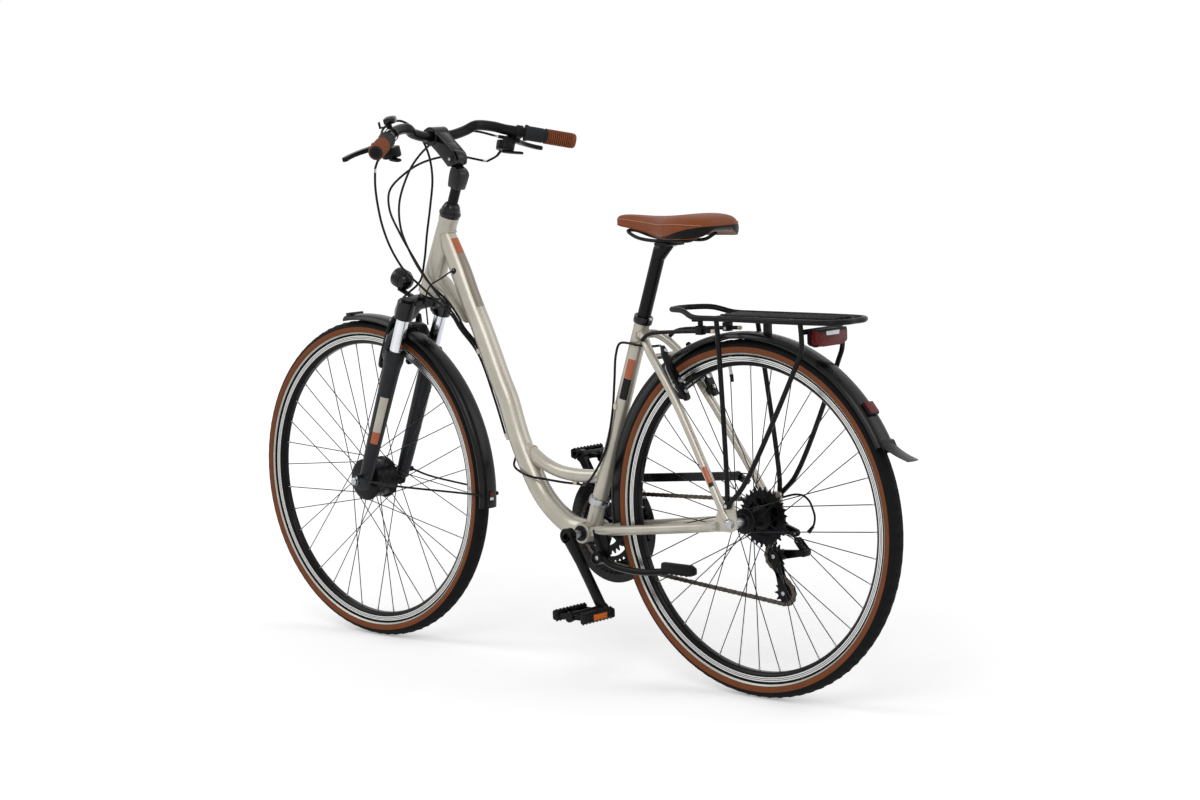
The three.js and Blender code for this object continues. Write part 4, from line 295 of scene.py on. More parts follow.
# Satin black powder coat on steel: rack, seat post, stays
SATIN_BLACK = Finish("powder_coat_satin_black", "#0f0f11", "#09090a", 0.34, 0.0, 0.08, 22, 1.1, 0.12, specular=0.14)
# Cast magnesium fork legs in a dark anthracite coat
ANTHRACITE = Finish(
    "cast_magnesium_anthracite", "#2a2b2f", "#1f2023", 0.4, 0.2, 0.06, 25, 1.0, 0.14, 0.05, specular=0.14
)
# Moulded black nylon and ABS, slightly grained
MOULDED = Finish("moulded_nylon_black", "#0f0f10", "#09090a", 0.42, 0.0, 0.1, 12, 0.9, 0.2, specular=0.12)
# Injection-moulded mudguard plastic, smoother and glossier
GUARD_PLASTIC = Finish(
    "moulded_polycarbonate_black", "#0c0d0f", "#08080a", 0.26, 0.0, 0.06, 40, 1.2, 0.06, 0.05, specular=0.18
)
# Hard-chromed stanchions: a mirror with a faint haze
CHROME = Finish("hard_chrome", "#e2e4e8", "#cfd2d8", 0.08, 1.0, 0.03, 40, 1.0, 0.02)
# Zinc-plated steel of bolts, axles and springs
ZINC = Finish("zinc_plated_steel", "#b9bbbe", "#9b9da0", 0.28, 1.0, 0.08, 9, 0.7, 0.12)
# Black eloxal of the rims' well
RIM_BLACK = Finish("eloxal_black_rim", "#0a0a0b", "#060607", 0.28, 0.2, 0.05, 30, 0.8, 0.08, specular=0.14)
# Stainless spokes with a black coat
SPOKE = Finish("coated_spoke_steel", "#1b1c1e", "#121315", 0.3, 0.5, 0.05, 10, 0.6, 0.05, specular=0.14)
# Vulcanised tread: matt charcoal, dusty in the grooves
TREAD = Finish("vulcanised_rubber_tread", "#151617", "#0e0f10", 0.8, 0.0, 0.08, 14, 0.8, 0.35, specular=0.12)
# Brown sidewall rubber
SIDEWALL = Finish("vulcanised_rubber_brown", "#7a4324", "#6b3a1f", 0.7, 0.0, 0.06, 25, 0.7, 0.22, specular=0.2)
# Reflective tape vulcanised into the sidewall: grey-white by day
REFLEX = Finish("retroreflective_tape", "#bcbdb6", "#a5a69f", 0.35, 0.3, 0.06, 10, 0.8, 0.15)
# Cable housing with a PVC jacket
JACKET = Finish("pvc_jacket_black", "#101012", "#0b0b0c", 0.36, 0.0, 0.06, 15, 0.8, 0.06, specular=0.14)
# Bare stranded inner wire
WIRE = Finish("stranded_steel_wire", "#a3a5a8", "#7d7f82", 0.32, 1.0, 0.08, 3, 0.7, 0.3)
# Oiled chain steel, brown-grey from its oil
CHAIN = Finish("oiled_chain_steel", "#655e55", "#453f39", 0.36, 0.9, 0.1, 5, 0.6, 0.15)
# Blackened sprocket steel
SPROCKET = Finish("blackened_sprocket_steel", "#1c1d20", "#121215", 0.34, 0.6, 0.08, 8, 0.7, 0.12, specular=0.14)
# Synthetic leather in saddle brown: small pebbles and soft clouds
LEATHER = Finish(
    "synthetic_leather_brown", "#864726", "#70381c", 0.5, 0.0, 0.08, 35, 1.5, 0.3, 0.0, Pattern.PEBBLED, specular=0.18
)
# Brown thermoplastic rubber of the grips' ribs
GRIP_BROWN = Finish(
    "thermoplastic_rubber_brown", "#864a2d", "#743d23", 0.58, 0.0, 0.06, 12, 1.0, 0.2, 0.0, Pattern.PEBBLED,
    specular=0.14
)
# Painted shade: the same brown rubber darkened in the grooves between the ribs, where shade falls
GRIP_GROOVE_SHADE = Finish("thermoplastic_rubber_painted_groove_shade", "#3a1f14", "#2e180f", 0.7, 0.0, 0.06, 12, 1.0, 0.2, specular=0.2)
# Dark grey thermoplastic rubber of the grips' sleeves
GRIP_GREY = Finish(
    "thermoplastic_rubber_grey", "#2b2c2e", "#202123", 0.64, 0.0, 0.06, 12, 1.0, 0.2, 0.0, Pattern.PEBBLED,
    specular=0.12
)
# Saddle thread, lighter than the cover
THREAD = Finish("waxed_thread_tan", "#b98563", "#a06e4f", 0.6, 0.0, 0.05, 5, 0.6, 0.1)
# Clear red acrylic over prisms
RED_LENS = Finish(
    "acrylic_lens_red", "#6e0807", "#3c0303", 0.1, 0.0, 0.04, 6, 2.2, 0.35, 0.0, Pattern.PEBBLED, specular=0.18
)
# Orange acrylic of the pedal reflectors
ORANGE_LENS = Finish(
    "acrylic_lens_orange", "#dc6f17", "#b4520c", 0.12, 0.0, 0.04, 6, 1.8, 0.35, 0.0, Pattern.PEBBLED, specular=0.18
)
# Clear acrylic over the lamps
CLEAR_LENS = Finish("acrylic_lens_clear", "#dfe4e6", "#c3c9cc", 0.1, 0.1, 0.04, 6, 2.0, 0.3, 0.5, Pattern.PEBBLED)
# Natural nylon of clips and caps, cream with age
CREAM = Finish("natural_nylon_cream", "#d8d0bd", "#c4bba6", 0.5, 0.0, 0.06, 10, 0.9, 0.1)


# Each cord of the bicycle repeats the points of its solid, in hundreds of mm
HUNDRED = 100.0


def catmull(points: Points, steps: int) -> list[Vector]:
    """Points on the smooth curve through given ones, spaced as the solids' curves are.

    Args:
        points: The points that the curve passes through.
        steps: How many stretches lie between two of them.

    Returns:
        The curve's points.
    """
    first = points[0] * 2 - points[1]
    last = points[-1] * 2 - points[-2]
    held = [first, *points, last]
    curve = []
    for a, b, c, d in zip(held, held[1:], held[2:], held[3:]):
        t0 = max((b - a).length, 1e-6) ** 0.5
        t1 = max((c - b).length, 1e-6) ** 0.5
        t2 = max((d - c).length, 1e-6) ** 0.5
        begin = ((b - a) / t0 - (c - a) / (t0 + t1) + (c - b) / t1) * t1
        end = ((c - b) / t1 - (d - b) / (t1 + t2) + (d - c) / t2) * t1
        for step in range(steps):
            u = step / steps
            curve.append(
                b * (2 * u**3 - 3 * u**2 + 1)
                + begin * (u**3 - 2 * u**2 + u)
                + c * (3 * u**2 - 2 * u**3)
                + end * (u**3 - u**2)
            )
    return [*curve, points[-1].copy()]


def only(*pieces: bpy.types.Object) -> bpy.types.Object:
    """Select nothing but these objects and make the first one active."""
    bpy.ops.object.select_all(action="DESELECT")
    for piece in pieces:
        piece.select_set(True)
    bpy.context.view_layer.objects.active = pieces[0]
    return pieces[0]


def edit(
    part: bpy.types.Object, operate: Callable[[], object], picks: Optional[Callable[[Vector, Vector], bool]] = None
) -> bpy.types.Object:
    """Run edit-mode operators on a part's faces.

    Args:
        part: The mesh object.
        operate: Calls the operators.
        picks: Says from its middle and its normal whether a face is selected; all are without it.

    Returns:
        The part.
    """
    only(part)
    bpy.context.tool_settings.mesh_select_mode = (False, False, True)
    for kind in (part.data.vertices, part.data.edges):
        kind.foreach_set("select", [picks is None] * len(kind))
    for face in part.data.polygons:
        face.select = picks is None or picks(face.center, face.normal)
    bpy.ops.object.mode_set(mode="EDIT")
    operate()
    bpy.ops.object.mode_set(mode="OBJECT")
    return part


def modify(part: bpy.types.Object, kind: str, **settings: object) -> bpy.types.Object:
    """Put a modifier on a part and apply it."""
    only(part)
    modifier = part.modifiers.new(kind.lower(), kind)
    for key, value in settings.items():
        setattr(modifier, key, value)
    bpy.ops.object.modifier_apply(modifier=modifier.name)
    return part


def outward() -> None:
    """Merge doubles and turn all faces of the edited mesh outwards."""
    bpy.ops.mesh.select_all(action="SELECT")
    bpy.ops.mesh.remove_doubles(threshold=MERGE_DISTANCE)
    bpy.ops.mesh.normals_make_consistent(inside=False)


def set_in_mesh() -> None:
    """Apply the active part's place, turn and size to its mesh."""
    bpy.ops.object.transform_apply(location=True, rotation=True, scale=True)


def shape(
    name: str, points: Points, edges: Sequence[tuple[int, int]], faces: Sequence[Sequence[int]]
) -> bpy.types.Object:
    """A mesh object from its points, edges and faces, linked to the scene."""
    mesh = bpy.data.meshes.new(name)
    mesh.from_pydata(points, edges, faces)
    part = bpy.data.objects.new(name, mesh)
    bpy.context.collection.objects.link(part)
    return part


class Piece:
    """One piece of the scene: parts modelled in mm, joined, placed, dressed and handed over."""

    def __init__(self, name: str, place: Matrix = BIKE) -> None:
        """Start an empty piece.

        Args:
            name: The piece's name.
            place: Carries the parts' mm to the scene's metres.
        """
        self.name = name
        self.place = place
        self.parts: list[bpy.types.Object] = []

    def keep(self, part: bpy.types.Object, finish: Finish, bevel: float = 0.0) -> bpy.types.Object:
        """Take a part in, with its finish and a rounded edge.

        Args:
            part: The mesh object, in mm.
            finish: Its finish.
            bevel: The edge's radius in mm, or 0.

        Returns:
            The part.
        """
        part.data.materials.clear()
        part.data.materials.append(finish.material())
        if bevel:
            modify(part, "BEVEL", width=bevel, segments=2, limit_method="ANGLE", angle_limit=EDGE_ANGLE)
        self.parts.append(part)
        return part

    def block(self, low: Vector, high: Vector, finish: Finish, bevel: float = 0.6) -> bpy.types.Object:
        """A box from corner to corner with rounded edges."""
        bpy.ops.mesh.primitive_cube_add(size=1, location=(low + high) / 2)
        part = bpy.context.object
        part.scale = high - low
        set_in_mesh()
        return self.keep(part, finish, bevel)

    def rod(
        self, start: Vector, end: Vector, radius: float, finish: Finish, tip: float = -1.0, sides: int = 20,
        bevel: float = 0.0,
    ) -> bpy.types.Object:
        """A straight round bar, tapered where tip is another radius."""
        run = end - start
        bpy.ops.mesh.primitive_cone_add(
            vertices=sides, radius1=radius, radius2=radius if tip < 0 else tip, depth=run.length
        )
        part = bpy.context.object
        part.rotation_mode = "QUATERNION"
        part.rotation_quaternion = run.to_track_quat("Z", "Y")
        part.location = (start + end) / 2
        set_in_mesh()
        return self.keep(part, finish, bevel)

    def ball(
        self, centre: Vector, radius: float, finish: Finish, squash: Vector = Vector((1, 1, 1))
    ) -> bpy.types.Object:
        """A ball, flattened by squash along each axis."""
        bpy.ops.mesh.primitive_uv_sphere_add(segments=20, ring_count=12, radius=radius, location=centre)
        part = bpy.context.object
        part.scale = squash
        set_in_mesh()
        return self.keep(part, finish)

    def tube(
        self, points: Points, radius: float, finish: Finish, steps: int = 6, sides: int = 12,
        radii: Sequence[float] = (),
    ) -> bpy.types.Object:
        """A bent round tube through given points.

        Args:
            points: The points, in mm.
            radius: The tube's radius.
            finish: Its finish.
            steps: Stretches between two points.
            sides: Sides of its section.
            radii: Its radius at each point, where it changes.

        Returns:
            The part.
        """
        path = catmull(points, steps) if steps > 1 else list(points)
        bpy.ops.curve.primitive_bezier_curve_add()
        part = bpy.context.object
        curve = part.data
        curve.splines.clear()
        spline = curve.splines.new("POLY")
        spline.points.add(len(path) - 1)
        for i, point in enumerate(path):
            spline.points[i].co = (*point, 1.0)
            if radii:
                share = min(i / steps, len(radii) - 1.001)
                low = int(share)
                spline.points[i].radius = (radii[low] + (radii[low + 1] - radii[low]) * (share - low)) / radius
        curve.dimensions = "3D"
        curve.bevel_depth = radius
        curve.bevel_resolution = max(sides // 2 - 2, 0)
        curve.use_fill_caps = True
        part.location = (0, 0, 0)
        bpy.ops.object.convert(target="MESH")
        part = bpy.context.object
        edit(part, outward)
        return self.keep(part, finish)

    def turned(
        self, profile: Profile, finish: Finish, centre: Vector = Vector((0, 0, 0)),
        axis: Vector = Vector((0, 1, 0)), steps: int = 32, closed: bool = True,
    ) -> bpy.types.Object:
        """A form spun round an axis.

        Args:
            profile: Pairs of radius and distance along the axis.
            finish: Its finish.
            centre: A point of the axis.
            axis: The axis.
            steps: Steps in a full turn.
            closed: Whether the outline's last point joins its first.

        Returns:
            The part.
        """
        along = axis.normalized()
        side = along.orthogonal().normalized()
        points = [centre + side * radius + along * distance for radius, distance in profile]
        count = len(points)
        links = [(i, (i + 1) % count) for i in range(count if closed else count - 1)]
        part = shape("outline", points, links, [])
        only(part)
        bpy.context.tool_settings.mesh_select_mode = (True, False, False)
        bpy.ops.object.mode_set(mode="EDIT")
        bpy.ops.mesh.select_all(action="SELECT")
        bpy.ops.mesh.spin(steps=steps, angle=FULL_TURN, center=centre, axis=along)
        outward()
        bpy.ops.object.mode_set(mode="OBJECT")
        return self.keep(part, finish)

    def plate(
        self, outline: Profile, low: float, high: float, finish: Finish, across: str = "y",
        bevel: float = 0.6, origin: Vector = Vector((0, 0, 0)),
    ) -> bpy.types.Object:
        """A flat outline extruded between two distances.

        Args:
            outline: Its corners, in the two axes that across isn't.
            low: Where it starts along across.
            high: Where it ends.
            finish: Its finish.
            across: The axis that it is extruded along.
            bevel: The radius of its edges.
            origin: Where the outline's origin lies.

        Returns:
            The part.
        """
        orders = {
            "x": lambda u, v, w: vec(w, u, v),
            "y": lambda u, v, w: vec(u, w, v),
            "z": lambda u, v, w: vec(u, v, w),
        }
        spot = orders[across]
        corners = [origin + spot(u, v, low) for u, v in outline]
        part = shape("outline", corners, [], [list(range(len(outline)))])

        def thicken() -> None:
            """Extrude the outline to its other face."""
            bpy.ops.mesh.extrude_region_move(TRANSFORM_OT_translate={"value": spot(0, 0, high - low)})
            outward()

        edit(part, thicken)
        return self.keep(part, finish, bevel)

    def loft(self, rings: Sequence[Points], finish: Finish, ends: bool = True, levels: int = 0) -> bpy.types.Object:
        """A skin over rings of equal count, subdivided where levels is over 0."""
        count = len(rings[0])
        points = [point for ring in rings for point in ring]
        faces = []
        for i in range(len(rings) - 1):
            for j in range(count):
                k = (j + 1) % count
                faces.append((i * count + j, i * count + k, (i + 1) * count + k, (i + 1) * count + j))
        if ends:
            faces.append(list(range(count)))
            faces.append([(len(rings) - 1) * count + j for j in range(count)])
        part = shape("skin", points, [], faces)
        edit(part, outward)
        if levels:
            modify(part, "SUBSURF", levels=levels, render_levels=levels)
        return self.keep(part, finish)

    def solid(self, node: str, finish: Finish, bevel: float = 0.0) -> bpy.types.Object:
        """A merged copy of a CAD node, brought into the piece's own mm."""
        source = next(o for o in bpy.data.objects if o.name == node)
        part = source.copy()
        part.data = source.data.copy()
        part.parent = None
        part.matrix_world = Matrix.Identity(4)
        bpy.context.collection.objects.link(part)
        part.hide_render = False
        part.hide_viewport = False
        part.data.transform(self.place.inverted())

        def merge() -> None:
            """Merge the loose triangles and melt flat faces together."""
            outward()
            bpy.ops.mesh.dissolve_limited(angle_limit=MELT_ANGLE)

        edit(part, merge)
        return self.keep(part, finish, bevel)

    def repeat(
        self, part: bpy.types.Object, count: int, centre: Vector, axis: Vector = Vector((0, 1, 0))
    ) -> None:
        """Copy a part round an axis until there are count of it, evenly spaced."""
        for i in range(1, count):
            turn = Matrix.Translation(centre) @ Matrix.Rotation(FULL_TURN * i / count, 4, axis)
            self.copy(part, turn @ Matrix.Translation(-centre))

    def copy(self, part: bpy.types.Object, move: Matrix) -> bpy.types.Object:
        """A copy of a part with its own mesh, moved in mm."""
        other = part.copy()
        other.data = part.data.copy()
        other.data.transform(move)
        if move.determinant() < 0:
            other.data.flip_normals()
        bpy.context.collection.objects.link(other)
        self.parts.append(other)
        return other

    def both_sides(self, first: int = 0) -> None:
        """Mirror the parts from one number on to the bicycle's other side."""
        for part in self.parts[first:]:
            self.copy(part, MIRROR)

    def paint(self, part: bpy.types.Object, finish: Finish, picks: Callable[[Vector, Vector], bool]) -> None:
        """Give the faces that a test picks another finish, from their middle and normal in mm."""
        part.data.materials.append(finish.material())
        number = len(part.data.materials) - 1
        for face in part.data.polygons:
            if picks(face.center, face.normal):
                face.material_index = number

    def finish(self, body: str, slot: str, *nodes: str, smooth: float = 35.0) -> bpy.types.Object:
        """Join the parts, place the piece, and hand it over.

        Args:
            body: The CAD body that it rides on.
            slot: Not used.
            nodes: The CAD nodes that it stands for.
            smooth: The angle in degrees up to which faces are shaded as one.

        Returns:
            The finished piece.
        """
        piece = only(*self.parts)
        if len(self.parts) > 1:
            bpy.ops.object.join()
        piece.name = self.name
        piece.data.name = self.name
        piece.data.transform(self.place)
        if self.place.determinant() < 0:
            piece.data.flip_normals()
        only(piece)
        bpy.ops.object.shade_smooth_by_angle(angle=math.radians(smooth))
        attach(piece, body)
        if nodes:
            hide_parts(*nodes)
        LOG.info("%s: %d faces on %s", self.name, len(piece.data.polygons), body)
        return piece


def junction(
    start: Vector, along: Vector, radius: float, other: Vector, other_along: Vector, other_radius: float,
    count: int = 40,
) -> list[Vector]:
    """The closed line where a tube meets a thicker one.

    Args:
        start: A point of the tube's axis, well outside the thicker tube.
        along: The tube's direction, towards the thicker tube.
        radius: The tube's radius.
        other: A point of the thicker tube's axis.
        other_along: The thicker tube's direction.
        other_radius: The thicker tube's radius.
        count: How many points the line has.

    Returns:
        The line's points, with the first one again at the end.
    """
    along = along.normalized()
    other_along = other_along.normalized()
    side = along.orthogonal().normalized()
    up = along.cross(side)
    line = []
    for i in range(count + 1):
        angle = FULL_TURN * i / count
        point = start + side * (radius * math.cos(angle)) + up * (radius * math.sin(angle))
        for _ in range(MARCH_STEPS):
            away = point - other
            if (away - other_along * away.dot(other_along)).length <= other_radius:
                break
            point = point + along * MARCH
        line.append(point)
    return line


def bead(piece: Piece, line: Points, radius: float = 2.0) -> None:
    """Lay a rippled weld bead along a closed line."""
    fine = [a.lerp(b, share) for a, b in zip(line, line[1:]) for share in (0.0, 0.5)]
    sizes = [radius * (1.12 if i % 2 else 0.85) for i in range(len(fine))]
    piece.tube([*fine, fine[0]], radius, WELD, steps=1, sides=6, radii=[*sizes, sizes[0]])


def arc(radius: float, start: float, end: float, count: int) -> list[tuple[float, float]]:
    """Pairs of x and z on an arc, from one angle in degrees to another."""
    turns = [math.radians(start + (end - start) * i / count) for i in range(count + 1)]
    return [(radius * math.cos(t), radius * math.sin(t)) for t in turns]

# The hubs' outlines, as pairs of radius and distance along the axle
REAR_HUB = [
    (7, -22), (24.4, -22), (25, -21), (25, -17), (24.4, -16), (17, -13), (14.6, -9), (14.6, 24), (17, 28.4), (24.4, 29),
    (25, 30), (25, 34), (24.4, 35), (17, 36), (14, 39.6), (7, 39.8),
]
FRONT_HUB = [
    (7, -31), (38, -31), (43.4, -29.6), (45.6, -28), (46, -26.5), (45.6, -25), (42, -22.4), (40, -20), (40, -4),
    (40.8, -3.4), (40.8, 3.4), (40, 4), (40, 20), (42, 22.4), (45.6, 25), (46, 26.5), (45.6, 28), (43.4, 29.6),
    (38, 31), (7, 31),
]


@dataclass
class Wheel:
    """A spoked wheel: tyre, rim, spokes, hub and axle."""

    name: str
    place: Matrix
    body: str
    holder: str
    centre: tuple[float, float]
    flange_radius: float
    flanges: tuple[float, float]
    hub: Profile
    axle_half: float
    cones: tuple[float, float]
    rim_inner: float = 298.0
    spoke_radius: float = 1.05
    spokes_per_side: int = 18
    spoke_lean: float = 62.0
    tread_pitches: int = 84

    def build(self) -> None:
        """Build the wheel's pieces."""
        self._tyre()
        self._rim()
        self._hub()
        self._axle()

    def _tyre(self) -> None:
        """Casing with brown sidewalls and the tread's blocks."""
        piece = Piece(self.name + "_tyre_dressed", self.place)
        half = [
            (317.75, 10.3), (319.4, 13.2), (320.6, 14.6), (323.8, 17.4), (324.4, 17.8), (328.0, 19.4), (332.0, 19.9),
            (335.6, 19.6), (339.5, 18.0), (343.2, 14.8), (346.0, 10.4), (347.8, 5.2),
        ]
        outline = [*half, (348.4, 0.0), *((r, -y) for r, y in reversed(half))]
        casing = piece.turned(outline, TREAD, steps=160)
        piece.paint(casing, SIDEWALL, lambda m, n: 324.2 < math.hypot(m.x, m.z) < 335.8 and abs(m.y) > 12)
        piece.paint(casing, REFLEX, lambda m, n: 320.7 < math.hypot(m.x, m.z) < 323.8 and abs(m.y) > 12)
        first = len(piece.parts)
        for y0, r0, y1, r1, low, high in (
            (-4.6, 348.9, 4.6, 348.9, -4.4, 4.4), (6.4, 347.8, 11.2, 345.9, -6.0, 2.4),
            (12.2, 345.2, 16.4, 341.7, -1.0, 6.2), (17.0, 341.0, 19.0, 337.4, -4.6, 1.6),
            (-11.2, 345.9, -6.4, 347.8, -2.4, 6.0), (-16.4, 341.7, -12.2, 345.2, -6.2, 1.0),
            (-19.0, 337.4, -17.0, 341.0, -1.6, 4.6),
        ):
            piece.loft(
                [
                    [vec(r - 3, y, low), vec(r, y, low + 0.3), vec(r, y, high - 0.3), vec(r - 3, y, high)]
                    for r, y in ((r0, y0), (r1, y1))
                ],
                TREAD,
            )
        block = weld(piece, first)
        piece.repeat(block, self.tread_pitches, vec(0, 0, 0))
        piece.finish(self.body, "tyre", self.name + "_tyre", smooth=40)

    def _rim(self) -> None:
        """Rim with grooved brake tracks, a black well and a valve."""
        piece = Piece(self.name + "_rim_dressed", self.place)
        track = [(307.0, 12.0)]
        for radius in (309.2, 312.4):
            track += [(radius, 12.0), (radius + 0.1, 11.3), (radius + 1.2, 11.3), (radius + 1.3, 12.0)]
        half = [
            (298.0, 5.0), (298.3, 6.4), (300.5, 8.6), (303.8, 11.2), (305.6, 12.0), *track, (316.0, 12.0),
            (316.1, 11.6), (317.3, 11.4)
        ]
        outline = [*half, (317.4, 10.0), (317.4, -10.0), *((r, -y) for r, y in reversed(half))]
        ring = piece.turned(outline, RIM_BLACK, steps=144)
        spun = Finish(
            self.name + "_turned_aluminium_track", "#e0e0df", "#cfcfce", 0.28, 0.9, 0.03, 14, 0.8, 0.04,
            pattern=Pattern.SPUN, centre=self.centre,
        )
        piece.paint(ring, spun, lambda m, n: 307 < math.hypot(m.x, m.z) < 317.2 and abs(m.y) > 11.9)
        valve = Matrix.Rotation(math.radians(10), 4, Vector((0, 1, 0)))
        stem = [valve @ vec(0, 0, z) for z in (298.2, 283.0, 268.0)]
        piece.rod(stem[0], stem[1], 3.4, ZINC, sides=12)
        piece.rod(stem[1], stem[2], 4.1, MOULDED, tip=3.2, sides=12, bevel=0.5)
        piece.finish(self.body, "rim", self.name + "_rim")

    def _hub(self) -> None:
        """Hub shell with its flanges, the crossed spokes and their nipples."""
        piece = Piece(self.name + "_hub_dressed", self.place)
        piece.turned(self.hub, ANODISED, steps=48)
        inner = self.rim_inner - 0.2
        pairs = self.spokes_per_side // 2
        for number, flange in enumerate(self.flanges):
            first = len(piece.parts)
            for i, lean in enumerate((-self.spoke_lean, self.spoke_lean)):
                turn = math.radians((i + number * 0.5) * 360 / self.spokes_per_side)
                root = turn + math.radians(lean)
                y = flange + (2.3 if i else -2.3)
                reach = self.flange_radius - 3.2
                start = vec(reach * math.cos(root), y, reach * math.sin(root))
                end = vec(inner * math.cos(turn), 0, inner * math.sin(turn))
                along = (end - start).normalized()
                piece.rod(start, end - along * 9, self.spoke_radius, SPOKE, sides=6)
                piece.rod(end - along * 9.5, end, 1.6, ZINC, tip=1.9, sides=8)
                piece.ball(start, 2.1, SPOKE, vec(1, 0.55, 1))
            piece.repeat(weld(piece, first), pairs, vec(0, 0, 0))
        piece.finish(self.body, "black_alloy", self.name + "_hub")

    def _axle(self) -> None:
        """Axle with its lock nuts and the domed hexagon nuts outside the dropouts."""
        piece = Piece(self.name + "_axle_dressed", self.place)
        end = self.axle_half + 14
        piece.rod(vec(0, -end, 0), vec(0, end, 0), 4.9, ZINC, sides=24, bevel=0.8)
        for side, cone in zip((1, -1), self.cones):
            seat = self.axle_half - 0.3
            piece.turned([(5, side * cone), (9.9, side * cone), (9.9, side * seat), (5, side * seat)], ZINC, steps=24)
            out = self.axle_half + 6.3
            piece.turned(
                [(4.6, side * out), (8.9, side * out), (8.9, side * (out + 1.4)), (4.6, side * (out + 1.4))], ZINC,
                steps=32
            )
            piece.turned(
                [
                    (4.6, side * (out + 1.4)), (8.6, side * (out + 1.4)), (8.6, side * (out + 6.6)),
                    (6.8, side * (end - 0.1)), (4.6, side * (end - 0.1))
                ],
                ZINC, steps=6,
            )
        piece.finish(self.holder, "steel", self.name + "_axle", smooth=25)


def weld(piece: Piece, first: int) -> bpy.types.Object:
    """Join the piece's parts from one number on into one part."""
    made = only(*piece.parts[first:])
    if len(piece.parts) - first > 1:
        bpy.ops.object.join()
    del piece.parts[first:]
    piece.parts.append(made)
    return made


# Shares of the seatstay's reach, height and spread, from the seat tube to the dropout
SEATSTAY = [
    (0.98, 0.99, 0.1), (0.905, 0.991, 0.29), (0.781, 0.903, 0.57), (0.544, 0.658, 0.69), (0.07, 0.066, 0.99),
    (0.03, 0.02, 1),
]


def wrap(piece: Piece, line: Points, radii: Sequence[float], film: Finish, facing: Vector, half: float) -> None:
    """Lay a film round part of a tube.

    Args:
        piece: The piece that gets it.
        line: Points on the tube's axis.
        radii: How far from the axis it lies at each of them.
        film: Its finish.
        facing: The side that it lies on.
        half: Half its width, as an angle in radians.
    """
    rings = []
    for i, (point, radius) in enumerate(zip(line, radii)):
        along = (line[min(i + 1, len(line) - 1)] - line[max(i - 1, 0)]).normalized()
        out = (facing - along * facing.dot(along)).normalized()
        turns = [half * (2 * j / (FILM_COLUMNS - 1) - 1) for j in range(FILM_COLUMNS)]
        rings += [point + (out * math.cos(t) + along.cross(out) * math.sin(t)) * radius for t in turns]
    faces = []
    for i in range(len(line) - 1):
        for low in range(FILM_COLUMNS * i, FILM_COLUMNS * (i + 1) - 1):
            faces.append((low, low + 1, low + FILM_COLUMNS + 1, low + FILM_COLUMNS))
    piece.keep(shape("film", rings, [], faces), film)


